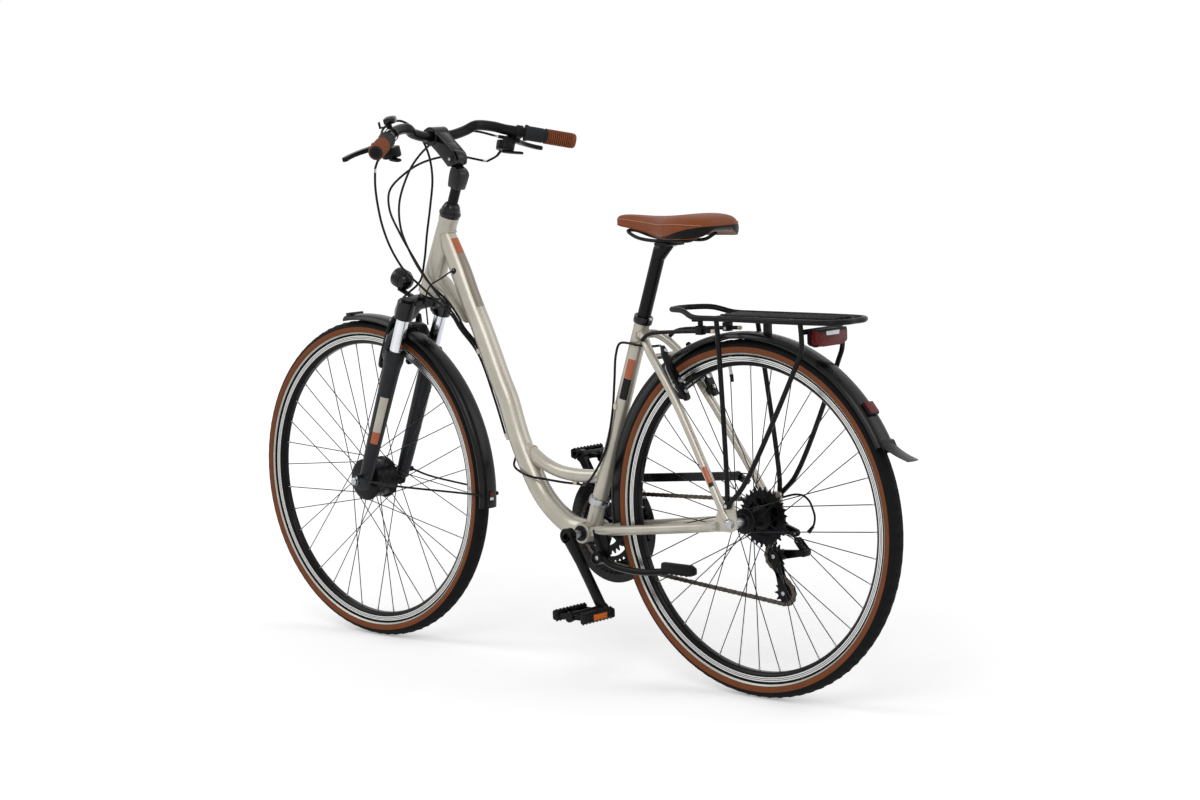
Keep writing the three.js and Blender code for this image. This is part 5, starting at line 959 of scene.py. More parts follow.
@dataclass
class FrameWork:
    """The welded aluminium frame with its patches, clips and small fittings."""

    down_run: float = 395.0
    down_rise: float = 606.0
    down_radius: float = 22.5
    short_radius: float = 14.0
    seat_radius: float = 15.9
    stay_end: float = 70.5
    head_foot: float = 462.0
    head_length: float = 176.0

    def down_tube(self) -> list[Vector]:
        """The down tube's points."""
        shares = [
            (0, 0), (0.137, 0.011), (0.256, 0.055), (0.346, 0.111), (0.427, 0.194), (0.51, 0.306),
            (0.576, 0.427), (0.62, 0.484), (0.748, 0.665), (0.822, 0.759), (0.9, 0.872), (0.995, 0.997),
        ]
        return [BRACKET + vec(self.down_run * a, 0, self.down_rise * b) for a, b in shares]

    def stay_point(self, x: float, z: float, y: float) -> Vector:
        """A point of the seatstays, from shares of their reach."""
        root = on_seat_tube(438)
        return vec(root.x * x, self.stay_end * y, WHEEL_RADIUS + (root.z - WHEEL_RADIUS) * z)

    def build(self) -> None:
        """Build the frame as one welded piece."""
        piece = Piece("frame_welded")
        self._tubes(piece)
        self._stays(piece)
        self._dropouts(piece)
        self._fittings(piece)
        piece.finish("frame", "paint", "frame")
        self._patches()

    def _tubes(self, piece: Piece) -> None:
        """Head tube, down tube, short tube, seat tube and bottom bracket shell."""
        low, high = self.head_foot, self.head_foot + self.head_length
        head = [
            (17.6, low), (28.0, low), (28.0, low + 6), (26.4, low + 9), (25.0, low + 14), (23.6, low + 60),
            (21.6, high - 34), (20.6, high - 12), (21.6, high - 9), (21.6, high), (17.6, high),
        ]
        piece.turned(head, PAINT, STEER_FOOT, HEAD_UP, 48)
        down = self.down_tube()
        piece.tube(down, self.down_radius, PAINT, 8, 32, radii=[22.5] * 10 + [22.2, 18.6])
        piece.rod(BRACKET, on_seat_tube(472.4), self.seat_radius, PAINT, sides=36)
        piece.turned(
            [(16, -34), (20.2, -34), (21, -33), (21, 33), (20.2, 34), (16, 34)], PAINT, BRACKET, steps=40
        )
        foot = on_seat_tube(122.5)
        shares = [(0, 0), (0.33, -0.08), (0.56, 0.05), (0.75, 0.46), (0.93, 1.17), (1.03, 1.5)]
        short = [foot + vec(225 * a, 0, 33 * b) for a, b in shares]
        piece.tube(short, self.short_radius, PAINT, 6, 24)
        gusset = [
            (0, 0.42), (-0.16, 0.42), (-0.42, 0.24), (-0.78, -0.2), (-0.98, -0.52), (-0.78, -0.42), (-0.42, 0.02),
            (-0.14, 0.18), (0, 0.18),
        ]
        root = STEER_FOOT + HEAD_UP * low
        piece.plate([(root.x + 118 * a, root.z + 118 * b) for a, b in gusset], -15, 15, PAINT, bevel=3.2)
        head_axis = STEER_FOOT
        bead(piece, junction(down[-2], down[-1] - down[-2], 20.6, head_axis, HEAD_UP, 21.6), 1.9)
        ahead = BRACKET + vec(60, 0, 2)
        bead(piece, junction(ahead, vec(-1, 0, -0.03), self.down_radius - 2, BRACKET, vec(0, 1, 0), 21), 2.2)
        bead(piece, junction(on_seat_tube(60), -SEAT_UP, self.seat_radius, BRACKET, vec(0, 1, 0), 21.1), 2.0)
        bead(piece, junction(foot + vec(60, 0, -3), vec(-1, 0, 0.02), self.short_radius, BRACKET, SEAT_UP, 16.0), 2.0)
        bead(piece, junction(short[3], short[4] - short[3], self.short_radius, down[6], down[8] - down[6], 22.4), 2.0)

    def _stays(self, piece: Piece) -> None:
        """Seatstays and chainstays with the bridge and the brake bosses."""
        first = len(piece.parts)
        piece.tube([self.stay_point(*s) for s in SEATSTAY], 8.5, PAINT, 8, 16)
        shares = [
            (0.977, 0.984, 0.28), (0.896, 0.869, 0.385), (0.829, 0.803, 0.5), (0.691, 0.689, 0.63), (0.122, 0.18, 0.89),
            (0.069, 0.098, 1),
        ]
        chainstay = [vec(434 * x, self.stay_end * y, WHEEL_RADIUS - 61 * z) for x, z, y in shares]
        piece.tube(chainstay, 9.8, PAINT, 8, 16)
        line = self.stay_point(0.544, 0.658, 0.69) - self.stay_point(0.07, 0.066, 0.99)
        line.y = 0
        line.normalize()
        rear = vec(-line.z, 0, line.x)
        boss = self.stay_point(0.544, 0.658, 0.69)
        boss.y = 42
        piece.rod(boss, boss + rear * 30, 5, PAINT, sides=20, bevel=0.6)
        piece.rod(boss + rear * 28.5, boss + rear * 32.6, 4.6, ZINC, sides=6, bevel=0.4)
        top = self.stay_point(0.905, 0.991, 0.29)
        bead(piece, junction(top, vec(1, -0.55, 0), 8.5, on_seat_tube(400), SEAT_UP, 16.0, 28), 1.6)
        piece.both_sides(first)
        bridge = self.stay_point(0.753, 0.882, 0.62)
        piece.rod(bridge, MIRROR @ bridge, 6, PAINT, sides=18)

    def _dropouts(self, piece: Piece) -> None:
        """Dropouts on both sides, the hanger and the kickstand's plate."""
        shares = [
            (-0.25, -0.13), (-0.22, 0.17), (-0.13, 0.72), (0.17, 0.75), (0.5, 0.5), (0.66, 0.1), (0.95, -0.1),
            (0.9, -0.32), (0.33, -0.27), (0, -0.27),
        ]
        first = len(piece.parts)
        piece.plate([(60 * x, WHEEL_RADIUS + 60 * z) for x, z in shares], 67.5, 73.5, PAINT, bevel=1.6)
        piece.rod(vec(2.5, 67, 385), vec(2.5, 73.9, 385), 6, PAINT, sides=20, bevel=0.5)
        piece.both_sides(first)
        hanger = [
            (9, 349), (1, 315.5), (-8, 311), (-17, 315.5), (-17, 349),
        ]
        piece.plate(hanger, -73.5, -67.5, ANODISED, bevel=1.2)
        pivot = vec(373, 45, 245)
        plate = [(-0.2, 0.9), (0.45, 0.9), (0.3, 0.1), (0.16, -0.25), (-0.16, -0.25), (-0.3, 0.1)]
        piece.plate([(pivot.x + 60 * x, pivot.z + 60 * z) for x, z in plate], 30, 36, ANODISED, bevel=1.4)
        tilt = vec(-0.126, 0.9886, 0.083).normalized()
        piece.rod(pivot - tilt * 9, pivot + tilt * 12, 5, ZINC, sides=18, bevel=0.5)

    def _fittings(self, piece: Piece) -> None:
        """Cable pads with their cream clips, a cream cable stop, another cream clip and a black grommet."""
        upper = BRACKET + vec(395 * 0.705, 0, 606 * 0.604)
        lower = BRACKET + vec(395 * 0.5135, 0, 606 * 0.312)
        line = (upper - lower).normalized()
        under = vec(line.z, 0, -line.x)
        for foot in (upper, lower):
            first = len(piece.parts)
            piece.block(vec(-5, -13, 18), vec(5, 13, 23.4), PAINT, 1.2)
            piece.block(vec(-4.6, -12.4, 23.2), vec(4.6, 12.4, 25.4), CREAM, 0.8)
            for y in (-8, 0, 8):
                piece.rod(vec(-5, y, 26.4), vec(5, y, 26.4), 3.4, CREAM, sides=16)
            clip = weld(piece, first)
            clip.data.transform(basis(line, vec(0, 1, 0), under, foot))
        stop = vec(474.8, 0, 383.6)
        piece.block(stop + vec(-6, -5, -4), stop + vec(6, 5, 6), CREAM, 1.6)
        clip = vec(341.6, 15, 550.6)
        piece.block(clip + vec(-4, -3, -6), clip + vec(4, 5, 6), CREAM, 1.4)
        hole = vec(787, 18, 813.5)
        piece.turned([(3.2, 0), (7, 0), (7, 3.2), (5.6, 5), (3.2, 5)], MOULDED, hole, vec(0, 1, 0.1), 24)

    def _patches(self) -> None:
        """Thin coloured films on the tubes."""
        piece = Piece("frame_films")
        facing = vec(-0.5, 0.85, 0)
        for low, high, film in ((385, 343.6, ORANGE), (343, 298, BLACK_FILM)):
            wrap(piece, [on_seat_tube(low), on_seat_tube(high)], [self.seat_radius + 0.12] * 2, film, facing, 0.52)
        down = catmull(self.down_tube(), 12)
        total = len(down) - 1
        for start, end, film in ((0.94, 0.975, ORANGE), (0.785, 0.938, STRIPE)):
            rows = range(round(total * start), round(total * end) + 1)
            radii = [22.66 - 40 * max(i / total - 0.91, 0) for i in rows]
            wrap(piece, [down[i] for i in rows], radii, film, vec(-1, 0, 0.01), 0.55)
        for side in (Matrix.Identity(4), MIRROR):
            stay = catmull([side @ self.stay_point(*s) for s in SEATSTAY], 32)
            for low, high, film in ((114, 118, ORANGE), (118, 119, BLACK_FILM)):
                wrap(piece, stay[low : high + 1], [8.66] * (high - low + 1), film, side @ facing, 0.62)
        piece.finish("frame", "paint")


@dataclass
class Fork:
    """The suspension fork and the headset."""

    spread: float = 55.0
    ahead: float = 10.0
    crown_low: float = 403.0
    crown_high: float = 447.0

    def build(self) -> None:
        """Build the headset, the crown with its stanchions, and the lowers."""
        self._headset()
        self._crown()
        self._lowers()

    def _leg(self, piece: Piece, profile: Profile, finish: Finish) -> bpy.types.Object:
        """A form turned about the left leg's axis."""
        return piece.turned(profile, finish, vec(self.ahead, self.spread, 0), vec(0, 0, 1), 40)

    def _headset(self) -> None:
        """Upper cup, top cover, spacer and locknut."""
        piece = Piece("headset_upper_dressed", STEERING)
        foot = 638.3
        piece.turned(
            [
                (14.9, foot), (20.4, foot), (23.4, foot + 5), (23.7, foot + 8), (22.2, foot + 11.4), (20.4, foot + 12),
                (20.4, foot + 17), (19.6, foot + 18), (19.0, foot + 18.4), (19.0, foot + 19.2), (18.4, foot + 22),
                (15.6, foot + 27.6), (12.6, foot + 29.8), (12.2, foot + 28), (14.9, foot + 18),
            ],
            GLOSS_BLACK, vec(0, 0, 0), vec(0, 0, 1), 48,
        )
        piece.finish("frame", "black_alloy", "headset_upper")

    def _crown(self) -> None:
        """Forged crown, steerer, race and chromed stanchions with their dust caps."""
        piece = Piece("fork_crown_dressed", STEERING)
        height = self.crown_high - self.crown_low
        shares = [
            (1.1, 0), (1.25, 0.3), (1.22, 0.6), (1.1, 0.85), (0.8, 1.0), (0.45, 1.08), (0.0, 1.1), (-0.45, 1.08),
            (-0.8, 1.0), (-1.1, 0.85), (-1.22, 0.6), (-1.25, 0.3), (-1.1, 0), (-0.62, 0), (-0.42, 0.5), (0, 0.56),
            (0.42, 0.5), (0.62, 0),
        ]
        outline = [(self.spread * y, self.crown_low + height * z) for y, z in shares]
        piece.plate(outline, self.ahead - 17, self.ahead + 17, GLOSS_BLACK, "x", 7.5)
        first = len(piece.parts)
        self._leg(piece, [(0, 403), (20.3, 403), (20.5, 405), (20.5, 440), (18, 443), (0, 443)], GLOSS_BLACK)
        self._leg(piece, [(0, 442), (13, 442), (13, 446.5), (11.5, 448), (0, 448)], MOULDED)
        self._leg(piece, [(0, 200), (14, 200), (14, 405), (0, 405)], CHROME)
        piece.both_sides(first)
        piece.turned(
            [
                (0, 440), (23.9, 440), (23.9, 455), (22.4, 457), (17.2, 461.6), (14.3, 461.6), (14.3, 645), (11.8, 648),
                (0, 648)
            ],
            GLOSS_BLACK, vec(0, 0, 0), vec(0, 0, 1), 48,
        )
        piece.finish("fork_crown", "black_alloy", "fork_crown")

    def _lowers(self) -> None:
        """Cast lower legs with the arch, brake bosses, wiper seals and dropouts."""
        piece = Piece("fork_lowers_dressed", STEERING)
        self._leg(
            piece,
            [
                (0, 12), (12.5, 12), (14, 14), (15.4, 60), (17.0, 150), (18.0, 226), (18.8, 270), (19.6, 290),
                (21.6, 300), (22.0, 304), (22.0, 322), (21.2, 324.6), (14.9, 324.6), (14.9, 300), (0, 300),
            ],
            ANTHRACITE,
        )
        self._leg(piece, [(14.4, 323.5), (19.6, 323.5), (19.6, 325.6), (17.6, 326), (14.4, 326)], MOULDED)
        shares = [
            (1.12, -0.35), (1.1, 0.1), (1.0, 0.55), (0.72, 0.92), (0.3, 1), (0.0, 1), (0.0, 0.81), (0.3, 0.81),
            (0.5, 0.66), (0.6, 0.42), (0.64, 0.15), (0.64, -0.35),
        ]
        outline = [(self.spread * y, 325 + 50 * z) for y, z in shares]
        piece.plate(outline, 27.5, 43.5, ANTHRACITE, "x", 2.4)
        piece.rod(vec(self.ahead, 40, 282), vec(59, 40, 282), 5, ANTHRACITE, sides=20, bevel=0.6)
        piece.rod(vec(59, 40, 282), vec(62.6, 40, 282), 4.6, ZINC, sides=6, bevel=0.4)
        tip = [
            (-0.11, 0), (0.2, -0.25), (0.56, -0.39), (1.0, -0.42), (1.33, -0.33), (1.42, -0.05), (1.39, 0.17),
            (1, 0.44), (0.72, 0.8), (0.56, 1.22), (-0.06, 1.22),
        ]
        piece.plate([(36 * x, 36 * z) for x, z in tip], 50, 56, ANTHRACITE, bevel=1.6)
        piece.both_sides()
        for side in (1, -1):
            for low, high, radius, film in ((138, 222, 18.1, PAINT), (104, 137.4, 16.95, ORANGE)):
                line = [vec(self.ahead, side * self.spread, z) for z in (low, high)]
                wrap(piece, line, [radius - 0.9, radius + 0.25], film, vec(-0.68, side * 0.73, 0), 0.52)
        piece.finish("fork_lowers", "lowers", "fork_lowers")


@dataclass
class Cockpit:
    """Stem, handlebar, grips, clamps, levers and the bell."""

    bar_radius: float = 11.1
    grip_start: float = 44.0
    grip_end: float = 156.7
    clamp_at: float = 32.0
    pod: tuple[float, float, float] = (6.0, 8.0, -34.0)

    def build(self) -> None:
        """Build the cockpit's pieces."""
        self._stem()
        self._bar()
        for side, place in (("left", BAR_LEFT), ("right", BAR_RIGHT)):
            self._grip(side, place)
            self._clamp(side, place)
            self._levers(side, place)
        self._bell()

    def _stem(self) -> None:
        """Quill with its head, and the adjustable arm with its bolts and clamp."""
        head = Piece("stem_quill_dressed", STEERING)
        head.turned([(0, 560), (11.1, 560), (11.1, 712), (0, 712)], ANODISED, vec(0, 0, 0), vec(0, 0, 1), 32)
        outline = [
            (-14, 702), (13, 702), (15.5, 716), (17, 728), (16.8, 741), (12.8, 751), (-6, 747), (-14, 742), (-17, 736),
            (-16, 718),
        ]
        head.plate(outline, -14.6, 14.6, GLOSS_BLACK, bevel=3.4)
        head.turned([(5, -10.8), (14.8, -10.8), (14.8, 10.8), (5, 10.8)], GLOSS_BLACK, vec(18.8, 0, 760.9), steps=32)
        head.finish("fork_crown", "black_alloy", "stem_quill")
        arm = Piece("stem_arm_dressed", STEERING)
        reach = 70.8
        shares = [
            (-0.227, -0.085), (-0.1, -0.2), (0.028, -0.255), (0.3, -0.14), (0.6, -0.02), (1, 0.1), (1, 0.553),
            (0.75, 0.5), (0.5, 0.411), (0.2, 0.32), (-0.057, 0.227), (-0.19, 0.12),
        ]
        sides = [(18.8 + reach * x, 760.9 + reach * z) for x, z in shares]
        for low, high in ((-19, -11.6), (11.6, 19)):
            arm.plate(sides, low, high, GLOSS_BLACK, bevel=2.2)
        front = [(36, 756.5), (60, 759.6), (76, 764), (76, 799), (54, 790), (36, 783.5)]
        arm.plate(front, -13, 13, GLOSS_BLACK, bevel=1.5)
        lid = [*arc(19.6, 72, 168, 8), *reversed(arc(16.2, 72, 168, 8))]
        arm.plate([(18.8 + x, 760.9 + z) for x, z in lid], -12.5, 12.5, GLOSS_BLACK, bevel=0.8)
        arm.plate([(24, 777), (25, 780.4), (44, 787.6), (44, 783)], -12.5, 12.5, GLOSS_BLACK, bevel=0.6)
        arm.turned(
            [(11.5, -21), (19.2, -21), (20, -20), (20, 20), (19.2, 21), (11.5, 21)], GLOSS_BLACK, vec(89.6, 0, 784),
            steps=40
        )
        arm.block(vec(104, -20, 776), vec(112, 20, 792), GLOSS_BLACK, 2.0)
        for y in (-13, 13):
            arm.rod(vec(108, y, 774.6), vec(108, y, 793), 3.6, ZINC, sides=16, bevel=0.5)
        for y in (-19.4, 19.4):
            arm.rod(vec(18.8, y - 1.2, 760.9), vec(18.8, y + 1.2, 760.9), 7.4, GLOSS_BLACK, sides=24, bevel=0.5)
            arm.rod(vec(18.8, y - 1.4, 760.9), vec(18.8, y + 1.5, 760.9), 3.4, ZINC, sides=6)
        arm.finish("bar", "black_alloy", "stem_arm")

    def _bar(self) -> None:
        """Swept handlebar."""
        shares = [
            (0, 0, 0), (0, 0.07, 0), (0.031, 0.14, 0.03), (0.063, 0.27, 0.5), (0.13, 0.33, 0.95), (0.14, 0.39, 1),
            (0.22, 0.5, 0.75),
        ]
        half = [BAR_CENTRE + vec(-127 * x, 290 * y, 19 * z) for x, y, z in shares[1:]]
        end = BAR_END - BAR_OUT * 3.6
        half += [BAR_START.copy(), BAR_START.lerp(end, 1 / 8), end]
        piece = Piece("handlebar_dressed")
        line = [*(MIRROR @ p for p in reversed(half)), BAR_CENTRE.copy(), *half]
        piece.tube(line, self.bar_radius, ANODISED, 6, 24)
        piece.finish("bar", "black_alloy", "handlebar")

    def _grip(self, side: str, place: Matrix) -> None:
        """Two-tone grip: dark sleeve, brown ribbed palm with painted shade in its grooves, collars and end cap."""
        piece = Piece("grip_" + side + "_dressed", place)
        length = self.grip_end - self.grip_start
        sleeve = [(11.6, 0.0), (17.6, 0.2), (17.9, 2.5), (17.4, 5.0), (16.2, 8.0)]
        for i in range(6):
            y = 9.0 + i * 5.2
            sleeve += [(15.6, y), (15.9, y + 0.8), (15.9, y + 3.2), (15.6, y + 4.0)]
        sleeve += [(15.2, 41.0), (15.0, 46.0)]
        for i in range(14):
            y = 44.0 + i * 4.4
            sleeve += [(15.5, y), (16.6, y + 0.5), (16.8, y + 1.6), (16.6, y + 2.8), (15.5, y + 3.3)]
        sleeve += [
            (16.4, length - 4.6), (14.2, length - 1.6), (12.6, length - 0.2), (0, length - 0.2), (0, length - 3.0),
            (11.6, length - 3.0)
        ]
        grip = piece.turned([(r, self.grip_start + y) for r, y in sleeve], GRIP_GREY, steps=48)
        start = self.grip_start + 42
        end = self.grip_end - 1.8
        piece.paint(grip, GRIP_BROWN, lambda m, n: start - m.x * 0.5 < m.y < end and math.hypot(m.x, m.z) > 12.5)
        # Painted shade: the recessed faces between the palm's ribs get a darker brown
        piece.paint(
            grip, GRIP_GROOVE_SHADE, lambda m, n: start - m.x * 0.5 < m.y < end - 6 and 12.5 < math.hypot(m.x, m.z) < 15.7
        )
        piece.turned(
            [
                (0, self.grip_end - 1.6), (9.5, self.grip_end - 1.6), (9.5, self.grip_end - 0.04),
                (0, self.grip_end - 0.04)
            ],
            MOULDED, steps=32,
        )
        piece.finish("bar", "grip", "grip_" + side)

    def _clamp(self, side: str, place: Matrix) -> None:
        """Lever clamp with its shifter pod, window ring, bolt and barrel adjuster."""
        piece = Piece("brake_clamp_" + side + "_dressed", place)
        piece.solid("brake_clamp_" + side, ANODISED, 0.5)
        x, y, z = self.pod
        piece.turned(
            [(0, -9.6), (17, -9.6), (19.6, -7.4), (19.95, -4), (19.95, 5), (18.6, 8.4), (15, 9.9), (0, 9.9)], MOULDED,
            vec(x, y, z), vec(0, 0, 1), 40,
        )
        piece.turned([(13.4, 9.2), (15.2, 9.2), (15.2, 9.98), (13.4, 9.98)], ANODISED, vec(x, y, z), vec(0, 0, 1), 32)
        piece.rod(vec(14.6, self.clamp_at, -2), vec(14.6, self.clamp_at, -11.5), 3.0, ZINC, sides=16, bevel=0.5)
        for step in range(3):
            start = 13.5 - 5 * step
            piece.rod(vec(21.8, start, -14), vec(21.8, start - 3.6, -14), 3.9, MOULDED, sides=12, bevel=0.4)
        piece.finish("bar", "plastic", "brake_clamp_" + side)

    def _levers(self, side: str, place: Matrix) -> None:
        """Two-finger brake lever and thumb shift lever."""
        lever = Piece("brake_lever_" + side + "_dressed", place)
        pivot = (32.0, 24.0, -14.0)
        shares = [
            (-0.13, -0.08), (0.0, -0.13), (0.12, -0.12), (0.3, 0.12), (0.48, 0.3), (0.62, 0.5), (0.75, 0.7),
            (0.84, 0.9), (0.9, 1.08), (0.92, 1.22), (0.88, 1.3), (0.76, 1.32), (0.7, 1.2), (0.66, 1.0), (0.55, 0.78),
            (0.42, 0.6), (0.24, 0.45), (0.07, 0.32), (-0.06, 0.26), (-0.13, 0.13),
        ]
        outline = [(pivot[0] + 60 * a, pivot[1] + 60 * b) for a, b in shares]
        lever.plate(outline, pivot[2] - 4.5, pivot[2] + 4.5, ANODISED, "z", 1.9)
        lever.rod(vec(32, 24, -19.6), vec(32, 24, -8.4), 3.4, ZINC, sides=16, bevel=0.4)
        lever.finish("lever_" + side, "black_alloy", "brake_lever_" + side)
        thumb = Piece("shift_lever_" + side + "_dressed", place)
        x, y, z = self.pod
        shares = [
            (-0.16, -0.11), (0.0, -0.18), (0.16, -0.16), (0.2, 0.02), (0.16, 0.21), (0.06, 0.38), (-0.05, 0.53),
            (-0.24, 0.78), (-0.47, 1), (-0.6, 0.97), (-0.68, 0.84), (-0.54, 0.6), (-0.37, 0.37), (-0.24, 0.12),
        ]
        outline = [(x + 38 * a, y + 38 * b) for a, b in shares]
        thumb.plate(outline, z - 15.3, z - 10.3, MOULDED, "z", 1.2)
        thumb.finish("thumb_" + side, "plastic", "shift_lever_" + side)

    def _bell(self) -> None:
        """Bell with its band and the sprung striker."""
        piece = Piece("bell_dressed", BAR_LEFT)
        piece.block(vec(-16.5, -16.5, 23.6), vec(8.5, 8.5, 36.6), GLOSS_BLACK, 3.6)
        piece.turned(
            [(0, 12.4), (8, 12.4), (8.6, 12.8), (8, 13.4), (0, 13.4)], ANODISED, vec(-4, -4, 24), vec(0, 0, 1), 32
        )
        piece.turned([(13.3, -9), (15.1, -9), (15.1, 1), (13.3, 1)], MOULDED, steps=32)
        piece.block(vec(-5, -9, 12.8), vec(5, 1, 25), MOULDED, 0.8)
        piece.finish("bar", "black_metal", "bell")
        striker = Piece("bell_striker_dressed", BAR_LEFT)
        striker.solid("bell_striker", MOULDED, 0.7)
        striker.finish("striker", "steel", "bell_striker")


@dataclass
class Seat:
    """Saddle, its rails, the seat post and the frame's clamp."""

    rear: float = 58.0
    length: float = 270.0
    half: float = 79.0
    top: float = 938.0
    depth: float = 48.0
    rail_z: float = 885.0

    def build(self) -> None:
        """Build the seat's pieces."""
        self._post()
        self._rails()
        self._saddle()

    def _post(self) -> None:
        """Seat post with its cradle, and the bolted collar."""
        piece = Piece("seat_post_dressed")
        top = on_seat_tube(617.4)
        piece.rod(on_seat_tube(322.4), top, 13.55, SATIN_BLACK, sides=40)
        cradle = vec(top.x - 24, 0, 881.2)
        piece.rod(on_seat_tube(599.4), cradle + vec(0, 0, -2), 13.5, SATIN_BLACK, 11.7, 32, 1.0)
        piece.block(cradle + vec(-18, -26, -7), cradle + vec(18, 26, 0), SATIN_BLACK, 2.2)
        for side in (-1, 1):
            piece.block(cradle + vec(-13, side * 22 - 4, 7.6), cradle + vec(13, side * 22 + 4, 11.6), SATIN_BLACK, 1.4)
        piece.block(cradle + vec(-8, -26, 7.6), cradle + vec(8, 26, 11.4), SATIN_BLACK, 1.2)
        for x in (-13, 13):
            piece.rod(cradle + vec(x, 0, -9), cradle + vec(x, 0, -5), 4.2, ZINC, sides=6, bevel=0.4)
        piece.finish("seat", "black_alloy", "seat_post")
        collar = Piece("seat_clamp_dressed")
        start = 460.4
        collar.turned(
            [
                (16.3, start), (19, start), (19.4, start + 0.8), (19.4, start + 12.6), (18.6, start + 14),
                (16.3, start + 14)
            ],
            GLOSS_BLACK, BRACKET, SEAT_UP, 48,
        )
        back = on_seat_tube(start + 7)
        collar.rod(back + vec(-18, -3.2, 0), back + vec(-18, 3.2, 0), 3.3, ZINC, sides=16, bevel=0.5)
        collar.finish("frame", "black_alloy", "seat_clamp")

    def _rails(self) -> None:
        """Two bent rails joined at the nose."""
        piece = Piece("saddle_rails_dressed")
        shares = [(0.14, 0.3, 1), (0.24, 0.03, 1), (0.4, 0, 1), (0.62, 0, 1), (0.76, 0.12, 1), (0.88, 0.36, 0.5)]
        side = [vec(self.rear + self.length * a, 22 * c, self.rail_z + self.depth * b) for a, b, c in shares]
        piece.tube([*side, *(MIRROR @ p for p in reversed(side))], 3.5, SATIN_BLACK, 8, 14)
        piece.finish("seat", "steel", "saddle_rails")

    def _saddle(self) -> None:
        """Padded cover with its seams, the shell under it and the bumper."""
        piece = Piece("saddle_cover")
        rows = [
            (0, 0.42, 0.62, 0.36), (0.03, 0.7, 0.82, 0.12), (0.1, 0.93, 0.95, 0.02), (0.22, 1, 1, 0),
            (0.36, 0.9, 0.96, 0), (0.5, 0.6, 0.9, 0.06), (0.64, 0.38, 0.88, 0.2), (0.8, 0.27, 0.91, 0.34),
            (0.93, 0.22, 0.93, 0.44), (0.985, 0.15, 0.86, 0.5), (1, 0.07, 0.72, 0.56),
        ]
        section = [
            (0, 1), (0.3, 0.99), (0.55, 0.965), (0.74, 0.91), (0.88, 0.8), (0.97, 0.62), (1, 0.4), (0.98, 0.16),
            (0.93, 0.02), (0.84, 0.06), (0.7, 0.22), (0.4, 0.27), (0, 0.28)
        ]
        rings = []
        lines = []
        for along, wide, top, bottom in self._finer(rows):
            x = self.rear + self.length * along
            low = self.top - self.depth * (1 - bottom)
            high = self.top - self.depth * (1 - top)
            across = self.half * wide
            side = []
            for out, rise in section:
                dip = 0.0
                if rise > 0.9 and 0.08 < along < 0.8:
                    dip = 2.6 * math.exp(-((out * across / 9.0) ** 2)) * math.sin(math.pi * (along - 0.08) / 0.72)
                side.append(vec(x, across * out, low + (high - low) * rise - dip))
            rings.append([*side, *(MIRROR @ p for p in reversed(side[1:-1]))])
            lines.append(side)
        piece.loft(rings, LEATHER, levels=1)
        for index in (5, 8):
            seam = [line[index] + vec(0, 0.3, 0.4) for line in lines[2:-2]]
            for side in (Matrix.Identity(4), MIRROR):
                piece.tube([side @ p for p in seam], 0.7, THREAD if index == 5 else LEATHER, 2, 6)
        piece.finish("seat", "saddle", "saddle", smooth=60)
        shell = Piece("saddle_shell")
        under = []
        for ring in rings[2:-2]:
            middle = sum(ring, vec(0, 0, 0)) / len(ring)
            depth = min(p.z for p in ring if p.z < middle.z - 1)
            width = max(p.y for p in ring) * 0.78
            under.append([
                vec(ring[0].x, width * c, depth + 8.5 + 3.5 * d)
                for c, d in ((-1, 0), (-0.6, 1), (0.6, 1), (1, 0), (0.6, 0.5), (-0.6, 0.5))
            ])
        shell.loft(under, MOULDED)
        shell.loft([self._base_ring(line) for line in lines if line[0].x < self.rear + 0.47 * self.length], MOULDED)
        shell.finish("seat", "plastic")

    def _base_ring(self, line: Points) -> list[Vector]:
        """The black base's ring just outside one of the cover's rows, lower the further ahead it lies."""
        start = 5.1 + 2.9 * (line[0].x - self.rear) / (0.46 * self.length)
        side = []
        for k in range(8):
            spot = start + (11 - start) * k / 7
            side.append(line[int(spot)].lerp(line[int(spot) + 1], spot % 1))
        middle = vec(line[0].x, 0, line[5].z)
        side = [p + (p - middle).normalized() * 0.5 for p in side]
        return [*side, *(MIRROR @ p for p in reversed(side))]

    def _finer(self, rows: Sequence[tuple[float, float, float, float]]) -> list[list[float]]:
        """Twice as many saddle rows, on a smooth curve through the given ones."""
        made = []
        for i in range(len(rows) - 1):
            before, a, b, after = rows[max(i - 1, 0)], rows[i], rows[i + 1], rows[min(i + 2, len(rows) - 1)]
            made.append(list(a))
            made.append([(9 * (p + q) - o - r) / 16 for o, p, q, r in zip(before, a, b, after)])
        return [*made, list(rows[-1])]


